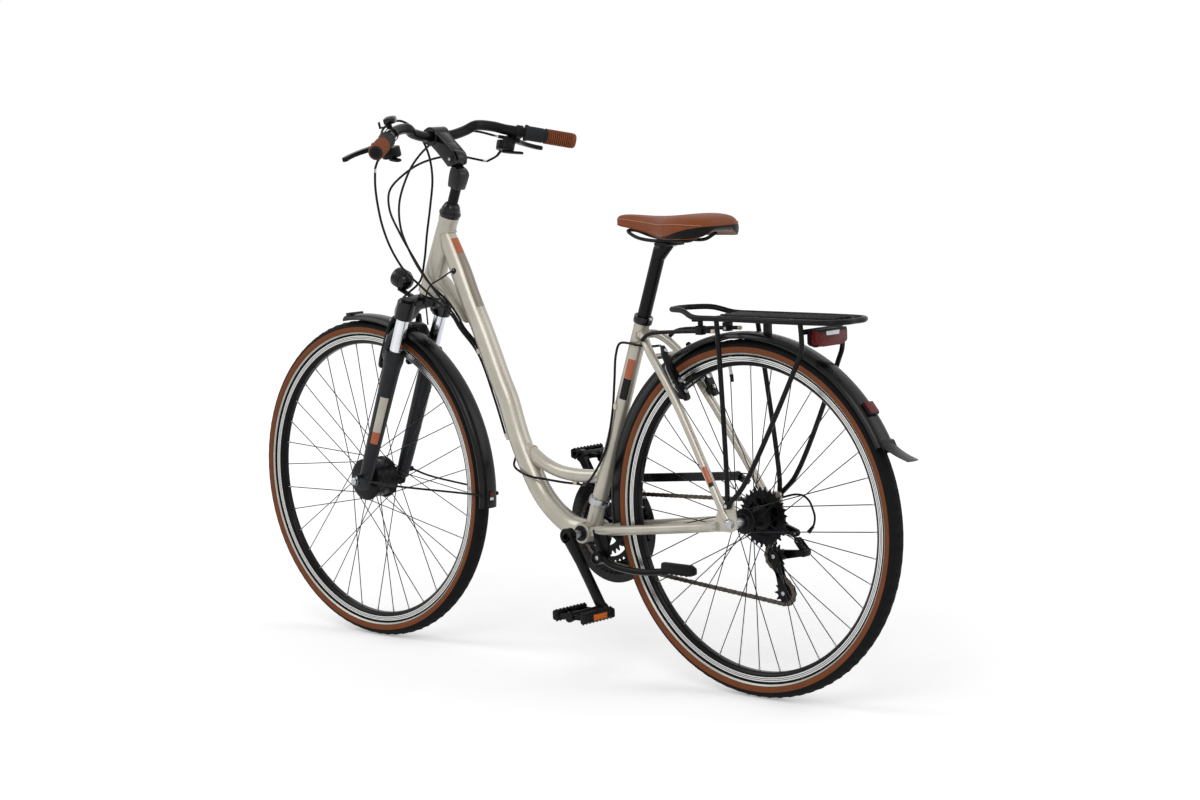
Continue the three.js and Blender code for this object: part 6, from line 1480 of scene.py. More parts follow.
@dataclass
class Rack:
    """Tubular rack with its spring-less deck, legs, struts, end caps and lamp plate."""

    z: float = 741.0
    half: float = 60.0
    radius: float = 5.5
    eyelet: tuple[float, float, float] = (2.5, 73.8, 385.0)

    def build(self) -> None:
        """Build the rack."""
        piece = Piece("rack_dressed")
        rail = [
            (3, 0, 0.183), (2.87, 0.45, 0.183), (2.17, 0.75, 0.183), (1.5, 1, 0.017), (0.67, 1, 0), (0, 1, 0),
            (-3.25, 1, 0), (-3.95, 0.85, 0), (-4.25, 0.4, 0), (-4.25, 0, 0),
        ]
        first = len(piece.parts)
        piece.tube([vec(60 * x, 60 * y, self.z + 60 * z) for x, y, z in rail], self.radius, SATIN_BLACK, 8, 16)
        x, y, z = self.eyelet
        side = y + 5
        front = [(1, 1, 0), (0.875, 1.02, -0.084), (0.031, 1.33, -0.91)]
        points = [vec(32 * a, min(60 * b, side), self.z + (self.z - z) * c) for a, b, c in front]
        piece.tube([*points, vec(x, side, z)], 4.9, SATIN_BLACK, 8, 14)
        rear = [(1, 0.97, 0), (1.023, 1, -0.42), (1.023, 1.03, -0.79), (0.953, 1.07, -1.17), (0.234, 1.33, -4.42)]
        points = [vec(-171 * a, min(60 * b, side), self.z + 71 * c) for a, b, c in rear]
        piece.tube([*points, vec(x, side, z)], 4.9, SATIN_BLACK, 8, 14)
        piece.rod(vec(x, y, z), vec(x, side + 5, z), 7, SATIN_BLACK, sides=24, bevel=0.8)
        piece.rod(vec(x, side + 4.4, z), vec(x, side + 6.4, z), 4.4, ZINC, sides=6, bevel=0.3)
        root = vec(283.5 * 0.86 - 2, 70.5 * 0.47 + 7.5, 349 + 350.3 * 0.945 + 10)
        strut = [(2.247, 0.7, -0.2), (1, 0.667, -0.067), (-0.467, 0.667, 0)]
        piece.tube([root, *(vec(89 + 60 * a, 60 * b, 714 + 60 * c) for a, b, c in strut)], 4, SATIN_BLACK, 6, 14)
        piece.block(vec(81, 33, 706.4), vec(97, 47.6, 724), MOULDED, 1.4)
        piece.block(vec(85, 36, 722), vec(93, 44, 741), MOULDED, 1.0)
        piece.rod(vec(89, 31.4, 712), vec(89, 33.6, 712), 3.4, ZINC, sides=6)
        piece.turned([(0, 0), (4.3, 0), (4.3, 5), (3.2, 6.6), (0, 6.6)], CREAM, vec(60.4, 40, 714), vec(-1, 0, 0), 24)
        piece.both_sides(first)
        for x_bar in (-215, -130, -45, 40):
            piece.rod(vec(x_bar, -60, self.z), vec(x_bar, 60, self.z), 3, SATIN_BLACK, sides=14)
        for y_bar in (-24, -8, 8, 24):
            piece.rod(
                vec(-225, y_bar, self.z + 3.0), vec(50, y_bar, self.z + 3.0), 2.9, SATIN_BLACK, sides=12, bevel=0.5
            )
        piece.block(vec(83.5, -60, 733), vec(94.5, 60, 738.6), SATIN_BLACK, 1.2)
        piece.block(vec(-177, -59.6, 717), vec(-173, 59.6, 727), SATIN_BLACK, 1.0)
        piece.finish("frame", "black_alloy", "rack")


@dataclass
class Mudguards:
    """Both mudguards with their wire stays, the flap and the reflectors."""

    inner: float = 361.0
    thick: float = 3.0
    half: float = 24.0

    def build(self) -> None:
        """Build both mudguards and the reflectors."""
        self._front()
        self._rear()
        self._reflector()

    def _strip(self, piece: Piece, start: float, end: float, steps: int) -> bpy.types.Object:
        """The arched strip between two angles, with rolled edges."""
        section = [
            (1, -0.85), (0.96, -0.7), (0.88, -0.44), (0.78, -0.26), (0.62, -0.12), (0.35, -0.02), (0, 0),
            (-0.35, -0.02), (-0.62, -0.12), (-0.78, -0.26), (-0.88, -0.44), (-0.96, -0.7), (-1, -0.85),
        ]
        rings = []
        for i in range(steps + 1):
            angle = math.radians(start + (end - start) * i / steps)
            out = vec(math.cos(angle), 0, math.sin(angle))
            top = [out * (self.inner + self.thick + 12 * b) + vec(0, self.half * a, 0) for a, b in section]
            low = [out * (self.inner + 12 * b + 0.4) + vec(0, (self.half - 0.6) * a, 0) for a, b in reversed(section)]
            rings.append([*top, *low])
        return piece.loft(rings, GUARD_PLASTIC)

    def _front(self) -> None:
        """Front strip with its fork foot, squared tip, stays and small reflector."""
        piece = Piece("front_mudguard_dressed", STEERING @ Matrix.Translation((FORK_OFFSET, 0, 0)))
        self._strip(piece, 59, 164, 56)
        piece.block(vec(-9, -10, 362), vec(4, 10, 365.2), SATIN_BLACK, 0.8)
        first = len(piece.parts)
        shares = [(-0.26, 0.8, 0.25), (-0.9, 0.71, 0.4), (-3.28, 0.27, 1.245), (-3.36, 0.245, 1.255)]
        piece.tube([vec(100 * a, 100 * b, 100 * c) for a, b, c in shares], 2.3, SATIN_BLACK, 8, 10)
        piece.rod(vec(-26, 69.9, 25), vec(-26, 82.2, 25), 5.8, MOULDED, sides=20, bevel=0.7)
        piece.rod(vec(-26, 82, 25), vec(-26, 83.6, 25), 3.6, ZINC, sides=6)
        knob = vec(-335, 24.4, 125.2)
        piece.rod(knob + vec(0, -2.5, 0), knob + vec(0, 1.0, 0), 4.2, MOULDED, sides=14, bevel=0.8)
        piece.both_sides(first)
        turn = Matrix.Rotation(-math.radians(160), 4, Vector((0, 1, 0)))
        clip = piece.block(vec(361.5, -6.5, -12), vec(365.2, 6.5, 12), MOULDED, 0.8)
        lens = piece.block(vec(364.6, -4.8, -10), vec(366, 4.8, 1), RED_LENS, 0.4)
        white = piece.block(vec(364.6, -4.8, 2), vec(366, 4.8, 8), CLEAR_LENS, 0.4)
        for part in (clip, lens, white):
            part.data.transform(turn)
        tip = piece.block(vec(360, -19, -9), vec(368.5, 19, 9), GUARD_PLASTIC, 2.2)
        tip.data.transform(Matrix.Rotation(-math.radians(61.5), 4, Vector((0, 1, 0))))
        piece.finish("fork_lowers", "plastic", "front_mudguard")

    def _rear(self) -> None:
        """Rear strip with its feet and the angular flap."""
        piece = Piece("rear_mudguard_dressed", BIKE @ Matrix.Translation(REAR_AXLE))
        self._strip(piece, -6, 153, 84)
        end = math.radians(153)
        root = vec(math.cos(end), 0, math.sin(end)) * self.inner
        shares = [(0.5, 0.5), (-0.38, 0.8), (-2.7, -1), (-2.7, -1.13), (-0.5, -0.5)]
        outline = [(max(root.x + 24 * a, -385), root.z + 24 * b) for a, b in shares]
        top, tip = root.normalized() * 366.5 + vec(3.6, 0, 7.1), Vector((outline[2][0], 0, outline[2][1]))
        rows = []
        for i in range(9):
            share = i / 8
            spot = top.lerp(tip, share) + vec(5.5, 0, -2.5) * math.sin(math.pi * share)
            wide = 20.8 - 3.5 * share
            rows.append([spot + vec(4.5 - 3.6 * share + 4 * (k / 4 - 1) ** 2, wide * (k / 4 - 1), 0) for k in range(9)]
                        + [spot + vec(1.5 + 4 * (1 - k / 4) ** 2, (wide - 1) * (1 - k / 4), -1) for k in range(9)])
        piece.loft(rows, GUARD_PLASTIC)
        piece.plate(
            [outline[0], (top.x, top.z), (top.x - 5, top.z - 9), outline[4]], -20.8, 20.8, SATIN_BLACK, bevel=1.4
        )
        bridge = vec(283.5 * 0.753, 0, 350.3 * 0.882)
        toward = bridge.normalized()
        piece.rod(toward * 362, toward * (bridge.length - 6.3), 7.8, MOULDED, sides=20, bevel=0.8)
        piece.block(vec(-50, -8, 358), vec(-40, 8, 388.6), SATIN_BLACK, 1.0)
        piece.finish("frame", "plastic", "rear_mudguard")

    def _reflector(self) -> None:
        """Square red reflector in a black tray."""
        piece = Piece("rear_reflector_dressed", BIKE @ Matrix.Translation(REAR_AXLE))
        turn = Matrix.Rotation(-math.radians(141), 4, Vector((0, 1, 0)))
        tray = piece.block(vec(364.3, -14, -14), vec(369.5, 14, 14), MOULDED, 1.0)
        lens = piece.block(vec(369, -12.6, -12.6), vec(372.2, 12.6, 12.6), RED_LENS, 1.2)
        for part in (tray, lens):
            part.data.transform(turn)
        piece.finish("frame", "red", "rear_reflector")


@dataclass
class Route:
    """The chain's way round the middle ring, both jockey wheels and the cog."""

    pitch: float = 12.7
    line: float = 50.0

    def stops(self) -> list[tuple[Vector, float, int]]:
        """Each wheel's centre, pitch radius and turn."""
        return [
            (BRACKET, pitch_radius(36), 1),
            (vec(-29, 0, 198.7), pitch_radius(11), 1),
            (vec(-7, 0, 269.5), pitch_radius(11), -1),
            (REAR_AXLE, pitch_radius(14), 1),
        ]

    def walk(self) -> tuple[list[Vector], list[tuple[float, float]]]:
        """The route and, for each wheel, where its arc begins.

        Returns:
            The points round the route, and each arc's start angle and the length run before it.
        """
        stops = self.stops()
        lines = []
        for i, (centre, radius, turn) in enumerate(stops):
            other, far, back = stops[(i + 1) % 4]
            run = other - centre
            lean = math.asin((back * far - turn * radius) / run.length)
            along = math.atan2(run.z, run.x) + lean
            side = vec(-math.sin(along), 0, math.cos(along))
            lines.append((centre + side * (turn * radius), other + side * (back * far)))
        path: list[Vector] = []
        arcs = []
        for i, (centre, radius, turn) in enumerate(stops):
            before, after = lines[i - 1][1] - centre, lines[i][0] - centre
            start = math.atan2(before.z, before.x)
            end = math.atan2(after.z, after.x)
            if (end - start) * turn > 0:
                end -= turn * FULL_TURN
            arcs.append((start, float(len(path))))
            count = math.ceil(abs(end - start) * radius * 4 / self.pitch)
            for k in range(count + 1):
                angle = start + (end - start) * k / count
                path.append(centre + vec(radius * math.cos(angle), -self.line, radius * math.sin(angle)))
        path.append(path[0].copy())
        return path, arcs

    def pins(self) -> list[Vector]:
        """The chain's pins, one pitch apart."""
        path, _ = self.walk()
        lengths = [0.0]
        for a, b in zip(path, path[1:]):
            lengths.append(lengths[-1] + (b - a).length)
        count = 2 * round(lengths[-1] / self.pitch / 2)
        made = []
        j = 1
        for i in range(count):
            wanted = lengths[-1] * i / count
            while lengths[j] < wanted:
                j += 1
            share = (wanted - lengths[j - 1]) / (lengths[j] - lengths[j - 1])
            made.append(path[j - 1].lerp(path[j], share))
        return made

    def phase(self, stop: int) -> float:
        """The angle on a wheel at which a gap between its teeth holds a pin."""
        centre, radius, _ = self.stops()[stop]
        around = [p - centre for p in self.pins()]
        held = [p for p in around if abs(math.hypot(p.x, p.z) - radius) < 0.15]
        pin = held[len(held) // 2]
        return math.atan2(pin.z, pin.x)


def pitch_radius(teeth: int) -> float:
    """The pitch radius of a sprocket for half-inch chain."""
    return 12.7 / (2 * math.sin(math.pi / teeth))


def toothed(teeth: int, phase: float) -> list[tuple[float, float]]:
    """A sprocket's outline, with rounded roots and narrow tips."""
    pitch = pitch_radius(teeth)
    outline = []
    for i in range(teeth):
        for share, rise in (
            (-0.24, -3.0), (-0.1, -4.3), (0.1, -4.3), (0.24, -3.0), (0.36, 0.6), (0.45, 3.3), (0.55, 3.3), (0.64, 0.6)
        ):
            angle = phase + (i + share) * FULL_TURN / teeth
            outline.append(((pitch + rise) * math.cos(angle), (pitch + rise) * math.sin(angle)))
    return outline


def holed(
    piece: Piece, outline: Profile, hole: float, low: float, high: float, finish: Finish, centre: Vector,
    bevel: float = 0.0
) -> bpy.types.Object:
    """A flat plate across Y with a round hole in its middle.

    Args:
        piece: The piece that gets the plate.
        outline: Its outer corners in x and z, about the centre.
        hole: The hole's radius.
        low: Its lower y.
        high: Its upper y.
        finish: Its finish.
        centre: The plate's centre.
        bevel: The radius of its edges.

    Returns:
        The plate.
    """
    count = len(outline)
    angles = [math.atan2(z, x) for x, z in outline]
    outer = [centre + vec(x, low, z) for x, z in outline]
    inner = [centre + vec(hole * math.cos(a), low, hole * math.sin(a)) for a in angles]
    faces = [(i, (i + 1) % count, count + (i + 1) % count, count + i) for i in range(count)]
    part = shape("plate", outer + inner, [], faces)

    def thicken() -> None:
        """Extrude the plate to its other face."""
        bpy.ops.mesh.extrude_region_move(TRANSFORM_OT_translate={"value": (0, high - low, 0)})
        outward()

    edit(part, thicken)
    return piece.keep(part, finish, bevel)


def oblong(
    start: tuple[float, float], end: tuple[float, float], near: float, far: float, count: int = 10
) -> list[tuple[float, float]]:
    """Outline of a strip with round ends, seen from the side.

    Args:
        start: Middle of the first end.
        end: Middle of the second end.
        near: Radius round the first.
        far: Radius round the second.
        count: Steps in each round end.

    Returns:
        The corners in order.
    """
    turn = math.atan2(end[1] - start[1], end[0] - start[0])
    corners = []
    for (x, z), radius, first in ((end, far, -0.5), (start, near, 0.5)):
        angles = [turn + math.pi * (first + i / count) for i in range(count + 1)]
        corners += [(x + radius * math.cos(t), z + radius * math.sin(t)) for t in angles]
    return corners


@dataclass
class Drivetrain:
    """Cranks, pedals, rings, chain, cassette, both derailleurs and the chainguard."""

    crank_angle: float = 54.2
    crank_length: float = 170.0
    pedal_near: float = 94.0
    pedal_wide: float = 88.0

    def build(self) -> None:
        """Build the drivetrain's pieces."""
        self._bracket()
        self._crank("left", self.crank_angle + 180)
        self._crank("right", self.crank_angle)
        self._rings()
        self._chain()
        self._cassette()
        self._front_mech()
        self._rear_mech()
        self._guard()

    def _bracket(self) -> None:
        """Bottom bracket sleeve and its two cups."""
        piece = Piece("bottom_bracket_dressed")
        piece.turned([(9, -33.6), (15.4, -33.6), (15.4, 33.6), (9, 33.6)], ANODISED, BRACKET, steps=32)
        for side in (-1, 1):
            piece.turned(
                [(9.1, side * 34.2), (15.8, side * 34.2), (15.9, side * 36.4), (15.0, side * 37.2), (9.1, side * 37.2)],
                ANODISED, BRACKET, steps=32,
            )
        piece.finish("frame", "steel", "bottom_bracket")

    def _crank(self, side: str, angle: float) -> None:
        """One crank arm with its boss, bolt cap and the pedal's spindle, and its pedal."""
        turn = math.radians(angle)
        away = vec(math.cos(turn), 0, math.sin(turn))
        hand = 1 if side == "left" else -1
        place = BIKE @ basis(away, vec(0, 1, 0), away.cross(vec(0, 1, 0)), BRACKET)
        piece = Piece("crank_" + side + "_dressed", place)
        rings = []
        for x, near, far, wide in (
            (-4, 66, 80, 13), (12, 66, 80, 12.8), (34, 67, 81, 11.4), (60, 68, 82, 10), (110, 71.6, 85.6, 9.6),
            (150, 74.8, 88.8, 9.8), (170, 76, 90, 10),
        ):
            bulge = 1.6
            rings.append([
                vec(x, hand * near, -wide + 1.5), vec(x, hand * near, wide - 1.5), vec(x, hand * (near + 1.5), wide),
                vec(x, hand * (far - bulge * 1.5), wide), vec(x, hand * far, wide - 4), vec(x, hand * far, -wide + 4),
                vec(x, hand * (far - bulge * 1.5), -wide), vec(x, hand * (near + 1.5), -wide),
            ])
        piece.loft(rings, ANODISED)
        sign = hand
        piece.turned(
            [
                (8.6, sign * 62), (14.6, sign * 62), (16, sign * 64), (16, sign * 78.6), (14.4, sign * 80),
                (8.6, sign * 80)
            ],
            ANODISED, steps=40
        )
        piece.turned(
            [(0, sign * 76), (8.8, sign * 76), (8.8, sign * 79.6), (7.4, sign * 80), (0, sign * 80)], MOULDED, steps=28
        )
        eye = vec(170, 0, 0)
        piece.turned(
            [(5, sign * 76), (12, sign * 76), (13, sign * 77.2), (13, sign * 88.8), (12, sign * 90), (5, sign * 90)],
            ANODISED, eye, steps=36
        )
        piece.turned([(0, sign * 88), (5.4, sign * 88), (5.4, sign * 173), (0, sign * 173)], ZINC, eye, steps=20)
        piece.turned(
            [(5.2, sign * 90.2), (7.4, sign * 90.2), (7.4, sign * 93.6), (5.2, sign * 93.6)], ZINC, eye, steps=6
        )
        if side == "left":
            piece.turned([(0, -42), (8.3, -42), (8.3, 67), (0, 67)], ZINC, steps=28)
        piece.finish("crank", "black_alloy", "crank_" + side)
        self._pedal(side, BRACKET + away * self.crank_length, hand)

    def _pedal(self, side: str, centre: Vector, hand: int) -> None:
        """A cage pedal: barrel, treads with studs, end plates and orange reflectors."""
        place = BIKE @ Matrix.Translation(centre)
        if hand < 0:
            place = place @ MIRROR
        piece = Piece("pedal_" + side + "_dressed", place)
        near, far = self.pedal_near, self.pedal_near + self.pedal_wide
        piece.turned(
            [
                (5.9, near), (8.6, near), (9.4, near + 3), (8.8, near + 22), (8.4, far - 26), (9.6, far - 8),
                (10.8, far - 5), (10.4, far - 0.3), (0, far - 0.1), (0, far - 4), (5.9, far - 4)
            ],
            MOULDED, steps=28,
        )
        outline = [
            (-46, -7.2), (-46, 7.2), (-43, 9.6), (-39.6, 10.6), (-31, 10.6), (-29.9, 8), (-29.9, -8), (-31, -10.6),
            (-39.6, -10.6), (-43, -9.6)
        ]
        for sign in (-1, 1):
            tread = [(sign * x, z) for x, z in outline]
            piece.plate(tread, near + 2, near + 9, MOULDED, bevel=1.0)
            piece.plate(tread, far - 9, far - 2, MOULDED, bevel=1.0)
            thin = [
                (sign * x, z)
                for x, z in ((-45, -6.4), (-45, 6.4), (-41.6, 10), (-39.4, 10), (-39.4, -10), (-41.6, -10))
            ]
            piece.plate(thin, near + 6, far - 6, MOULDED, bevel=0.8)
            inner, outer = sorted((sign * 31, sign * 40))
            for level in (-1, 1):
                piece.block(
                    vec(inner, near + 8, level * 8.6 - 1.9), vec(outer, far - 8, level * 8.6 + 1.9), MOULDED, 0.9
                )
                for i in range(9):
                    y = near + 4 + i * 10
                    piece.rod(
                        vec(sign * 35.5, y, level * 9.4), vec(sign * 35.5, y, level * 12.6), 2.6, MOULDED, tip=1.5,
                        sides=8
                    )
            inner, outer = sorted((sign * 44.9, sign * 45.9))
            piece.block(vec(inner, near + 25, -5.6), vec(outer, far - 25, 5.6), ORANGE_LENS, 0.2)
        for y in (near + 5, (near + far) / 2, far - 7):
            piece.block(vec(-40, y - 3, -4.6), vec(40, y + 3, 4.6), MOULDED, 1.0)
        piece.finish("pedal_" + side, "plastic", "pedal_" + side)

    def _rings(self) -> None:
        """Three chainrings on their spider, with bolts."""
        piece = Piece("chainrings_dressed", BIKE)
        phase = Route().phase(0)
        for teeth, y, hole, turn in ((48, -57.5, 72, 0.02), (36, -50, 60, phase), (26, -42.5, 36, 0.05)):
            holed(piece, toothed(teeth, turn), hole, y - 1.4, y + 1.4, SPROCKET, BRACKET, 0.0)
        piece.turned([(9.1, -61.6), (21, -61.6), (22, -60), (22, -43.5), (9.1, -43.5)], ANODISED, BRACKET, steps=36)
        first = len(piece.parts)
        piece.plate(
            [(14, -9), (50, -6), (72, -8.5), (76, -4), (76, 4), (72, 8.5), (50, 6), (14, 9)], -57.4, -53.4, ANODISED,
            bevel=0.9, origin=BRACKET
        )
        piece.plate(
            [(14, -7), (62, -6.5), (64, 0), (62, 6.5), (14, 7)], -54, -50.2, ANODISED, bevel=0.9, origin=BRACKET
        )
        piece.plate([(14, -7), (38, -6), (41, 0), (38, 6), (14, 7)], -47.4, -44, ANODISED, bevel=0.9, origin=BRACKET)
        piece.rod(BRACKET + vec(67, -60, 0), BRACKET + vec(67, -48, 0), 4.6, ZINC, sides=16, bevel=0.4)
        piece.repeat(weld(piece, first), 5, BRACKET)
        piece.finish("crank", "steel", "chainrings", smooth=25)

    def _chain(self) -> None:
        """Bush chain of alternating inner and outer links."""
        piece = Piece("chain_links")
        waist = []
        for i in range(7):
            angle = math.radians(-100 + 200 * i / 6)
            waist.append((6.35 + 4.1 * math.cos(angle), 4.1 * math.sin(angle)))
        eight = [*waist, (0, 3.3), *((-x, -z) for x, z in waist), (0, -3.3)]
        pins = Route().pins()
        holder = Piece("links", BIKE)
        made = []
        for near, far, outer in ((1.35, 2.25, False), (2.3, 3.15, True)):
            first = len(holder.parts)
            for side in (-1, 1):
                low, high = sorted((side * near, side * far))
                holder.plate(eight, low, high, CHAIN, bevel=0)
            if outer:
                for x in (-6.35, 6.35):
                    holder.rod(vec(x, -3.85, 0), vec(x, 3.85, 0), 1.9, CHAIN, sides=8)
            else:
                for x in (-6.35, 6.35):
                    holder.rod(vec(x, -2.2, 0), vec(x, 2.2, 0), 3.6, CHAIN, sides=8)
            made.append(weld(holder, first))
        for i, pin in enumerate(pins):
            after = pins[(i + 1) % len(pins)]
            along = (after - pin).normalized()
            move = basis(along, vec(0, 1, 0), along.cross(vec(0, 1, 0)), (pin + after) / 2)
            piece.copy(made[i % 2], move)
        for part in made:
            bpy.data.objects.remove(part)
        piece.finish("frame", "chain", "chain", smooth=30)

    def _cassette(self) -> None:
        """Eight cogs with dished carriers, spacers and the lockring."""
        piece = Piece("cassette_dressed", BIKE @ Matrix.Translation(REAR_AXLE))
        phase = Route().phase(3)
        for i, teeth in enumerate((28, 24, 21, 18, 16, 14, 12, 11)):
            y = -50 + (5 - i) * 5
            hole = 16.6 if teeth < 18 else pitch_radius(teeth) * 0.66
            turn = phase if i == 5 else 0.1 * i
            holed(piece, toothed(teeth, turn), hole, y - 0.9, y + 0.9, SPROCKET, vec(0, 0, 0))
            if teeth >= 18:
                first = len(piece.parts)
                piece.plate([(15, -4), (hole + 1.5, -3), (hole + 1.5, 3), (15, 4)], y - 0.8, y + 0.8, SPROCKET, bevel=0)
                piece.repeat(weld(piece, first), 6, vec(0, 0, 0))
        piece.turned([(8.2, -61.5), (16.8, -61.5), (16.8, -24.4), (8.2, -24.4)], ANODISED, steps=32)
        piece.turned([(9.4, -63.2), (14.6, -63.2), (16.0, -62.4), (16.0, -61.3), (9.4, -61.3)], ZINC, steps=12)
        piece.finish("cassette", "steel", "cassette")

    def _front_mech(self) -> None:
        """Front derailleur's band, body and bent cage."""
        piece = Piece("front_derailleur_dressed")
        piece.solid("front_derailleur", ANODISED, 0.7)
        start = 62.0
        piece.turned(
            [
                (16.3, start), (20.6, start), (20.9, start + 1), (20.9, start + 13), (20.6, start + 14),
                (16.3, start + 14)
            ],
            ZINC, BRACKET, SEAT_UP, 48
        )
        low = on_seat_tube(69)
        piece.rod(low + vec(-6, -24.2, 0), low + vec(6, -24.2, 3), 3.2, ZINC, sides=16, bevel=0.4)
        piece.finish("frame", "steel", "front_derailleur")
        cage = Piece("front_derailleur_cage_dressed")
        cage.solid("front_derailleur_cage", ZINC, 0.5)
        cage.finish("front_mech", "steel", "front_derailleur_cage")

    def _rear_mech(self) -> None:
        """Rear derailleur: knuckle, rounded links, cage and jockey wheels."""
        high, low = vec(-7, -50, 269.5), vec(-29, -50, 198.7)
        down = vec(0, -1, 0)
        knuckle = Piece("derailleur_knuckle_dressed")
        hang = vec(-8, -70.5, 320)
        knuckle.rod(hang + down * 3.4, hang + down * 15, 10, ANODISED, sides=32, bevel=1.2)
        knuckle.rod(hang + down * -4, hang + down * 6, 4.5, ANODISED, sides=20)
        knuckle.plate(oblong((-8, 320), (-36, 313.6), 9.9, 7.6), -84.6, -75.6, ANODISED, bevel=1.6)
        knuckle.turned([(0, 14.2), (4.6, 14.2), (4.6, 15.4), (3.4, 15.8), (0, 15.8)], ZINC, hang, down, 16)
        knuckle.rod(vec(-36, -85.4, 313.6), vec(-36, -75, 313.6), 3.0, ZINC, sides=12, bevel=0.4)
        knuckle.finish("frame", "black_alloy", "derailleur_knuckle")
        links = Piece("derailleur_links_dressed")
        for far, near in ((-85.4, -82.6), (-76.4, -73.6)):
            links.plate(oblong((-41, 298.6), (-60, 278.4), 6.8, 7.8), far, near, ANODISED, bevel=0.9)
        for x, z, radius in ((-41, 298.6, 3.2), (-60, 278.4, 3.4)):
            links.rod(vec(x, -85.8, z), vec(x, -73.2, z), radius, ZINC, sides=14, bevel=0.4)
        links.plate(oblong((-50, 289), (-36, 302), 4.4, 3.4), -82.6, -76.4, GLOSS_BLACK, bevel=1.4)
        coil = [vec(-56 + 14 * i / 40, -79.5, 284 + 13 * i / 40) for i in range(41)]
        links.tube(
            [
                p + vec(2.6 * math.cos(i * 1.05), 3.2 * math.sin(i * 1.05), -2.6 * math.cos(i * 1.05))
                for i, p in enumerate(coil)
            ],
            0.8, ZINC, 2, 6
        )
        links.rod(vec(-60, -85.4, 277), vec(-60, -67, 277), 7.9, ANODISED, sides=24, bevel=1.4)
        links.plate(oblong((-60, 277), (-7, 269.5), 6.4, 9.6), -74.6, -66.8, ANODISED, bevel=1.6)
        links.rod(vec(-7, -58.7, 269.5), vec(-7, -74.6, 269.5), 11, ANODISED, sides=32, bevel=1.2)
        links.turned([(0, 15.6), (6.2, 15.6), (6.2, 17.2), (5, 17.9), (0, 17.9)], ZINC, vec(-7, -57.5, 269.5), down, 20)
        links.finish("frame", "black_alloy", "derailleur_links")
        cage = Piece("derailleur_cage_dressed")
        for near, far in ((-57.2, -55.6), (-44.4, -42.8)):
            cage.plate(oblong((high.x, high.z), (-18, 234.1), 10.4, 6.4), near, far, ANODISED, bevel=0.3)
            cage.plate(oblong((low.x, low.z), (-18, 234.1), 9.4, 6.4), near, far, ANODISED, bevel=0.3)
        for centre in (high, low):
            cage.rod(centre + vec(0, -8.2, 0), centre + vec(0, 8.2, 0), 4.4, ZINC, sides=12, bevel=0.3)
        cage.finish("mech_cage", "steel", "derailleur_cage")
        for name, body, centre, stop in (
            ("jockey_upper", "jockey_high", vec(-7, -50, 269.5), 2),
            ("jockey_lower", "jockey_low", vec(-29, -50, 198.7), 1),
        ):
            piece = Piece(name + "_dressed")
            holed(piece, toothed(11, Route().phase(stop)), 5, -1.15, 1.15, MOULDED, centre)
            piece.turned([(4.1, -4.3), (7.9, -4.3), (7.9, 4.3), (4.1, 4.3)], ZINC, centre, steps=24)
            piece.finish(body, "plastic", name)

    def _guard(self) -> None:
        """Chainguard: ring round the big chainring, ribbed strip and its rear tab."""
        piece = Piece("chainguard_dressed")
        piece.turned(
            [
                (78, -63.8), (78, -61.7), (80, -61.6), (112, -61.6), (114, -61.6), (116.9, -61.8), (116.9, -63.8),
                (112, -63.9), (80, -63.9)
            ],
            GUARD_PLASTIC, BRACKET, steps=96,
        )
        piece.solid("chainguard", GUARD_PLASTIC, 0.0)
        first = len(piece.parts)
        for i in range(24):
            angle = math.radians(15 * i)
            root = BRACKET + vec(83 * math.cos(angle), -64.0, 83 * math.sin(angle))
            tip = BRACKET + vec(111 * math.cos(angle + 0.24), -64.0, 111 * math.sin(angle + 0.24))
            piece.rod(root + vec(0, 0.6, 0), tip + vec(0, 0.6, 0), 1.1, GUARD_PLASTIC, sides=6)
        for i in range(13):
            x = 118 + i * 26
            z = 418 - (x - 92) * 32 / 362
            piece.rod(vec(x, -69.3, z - 7), vec(x + 14, -69.3, z + 6), 0.9, GUARD_PLASTIC, sides=6)
        weld(piece, first)
        piece.finish("frame", "plastic", "chainguard")


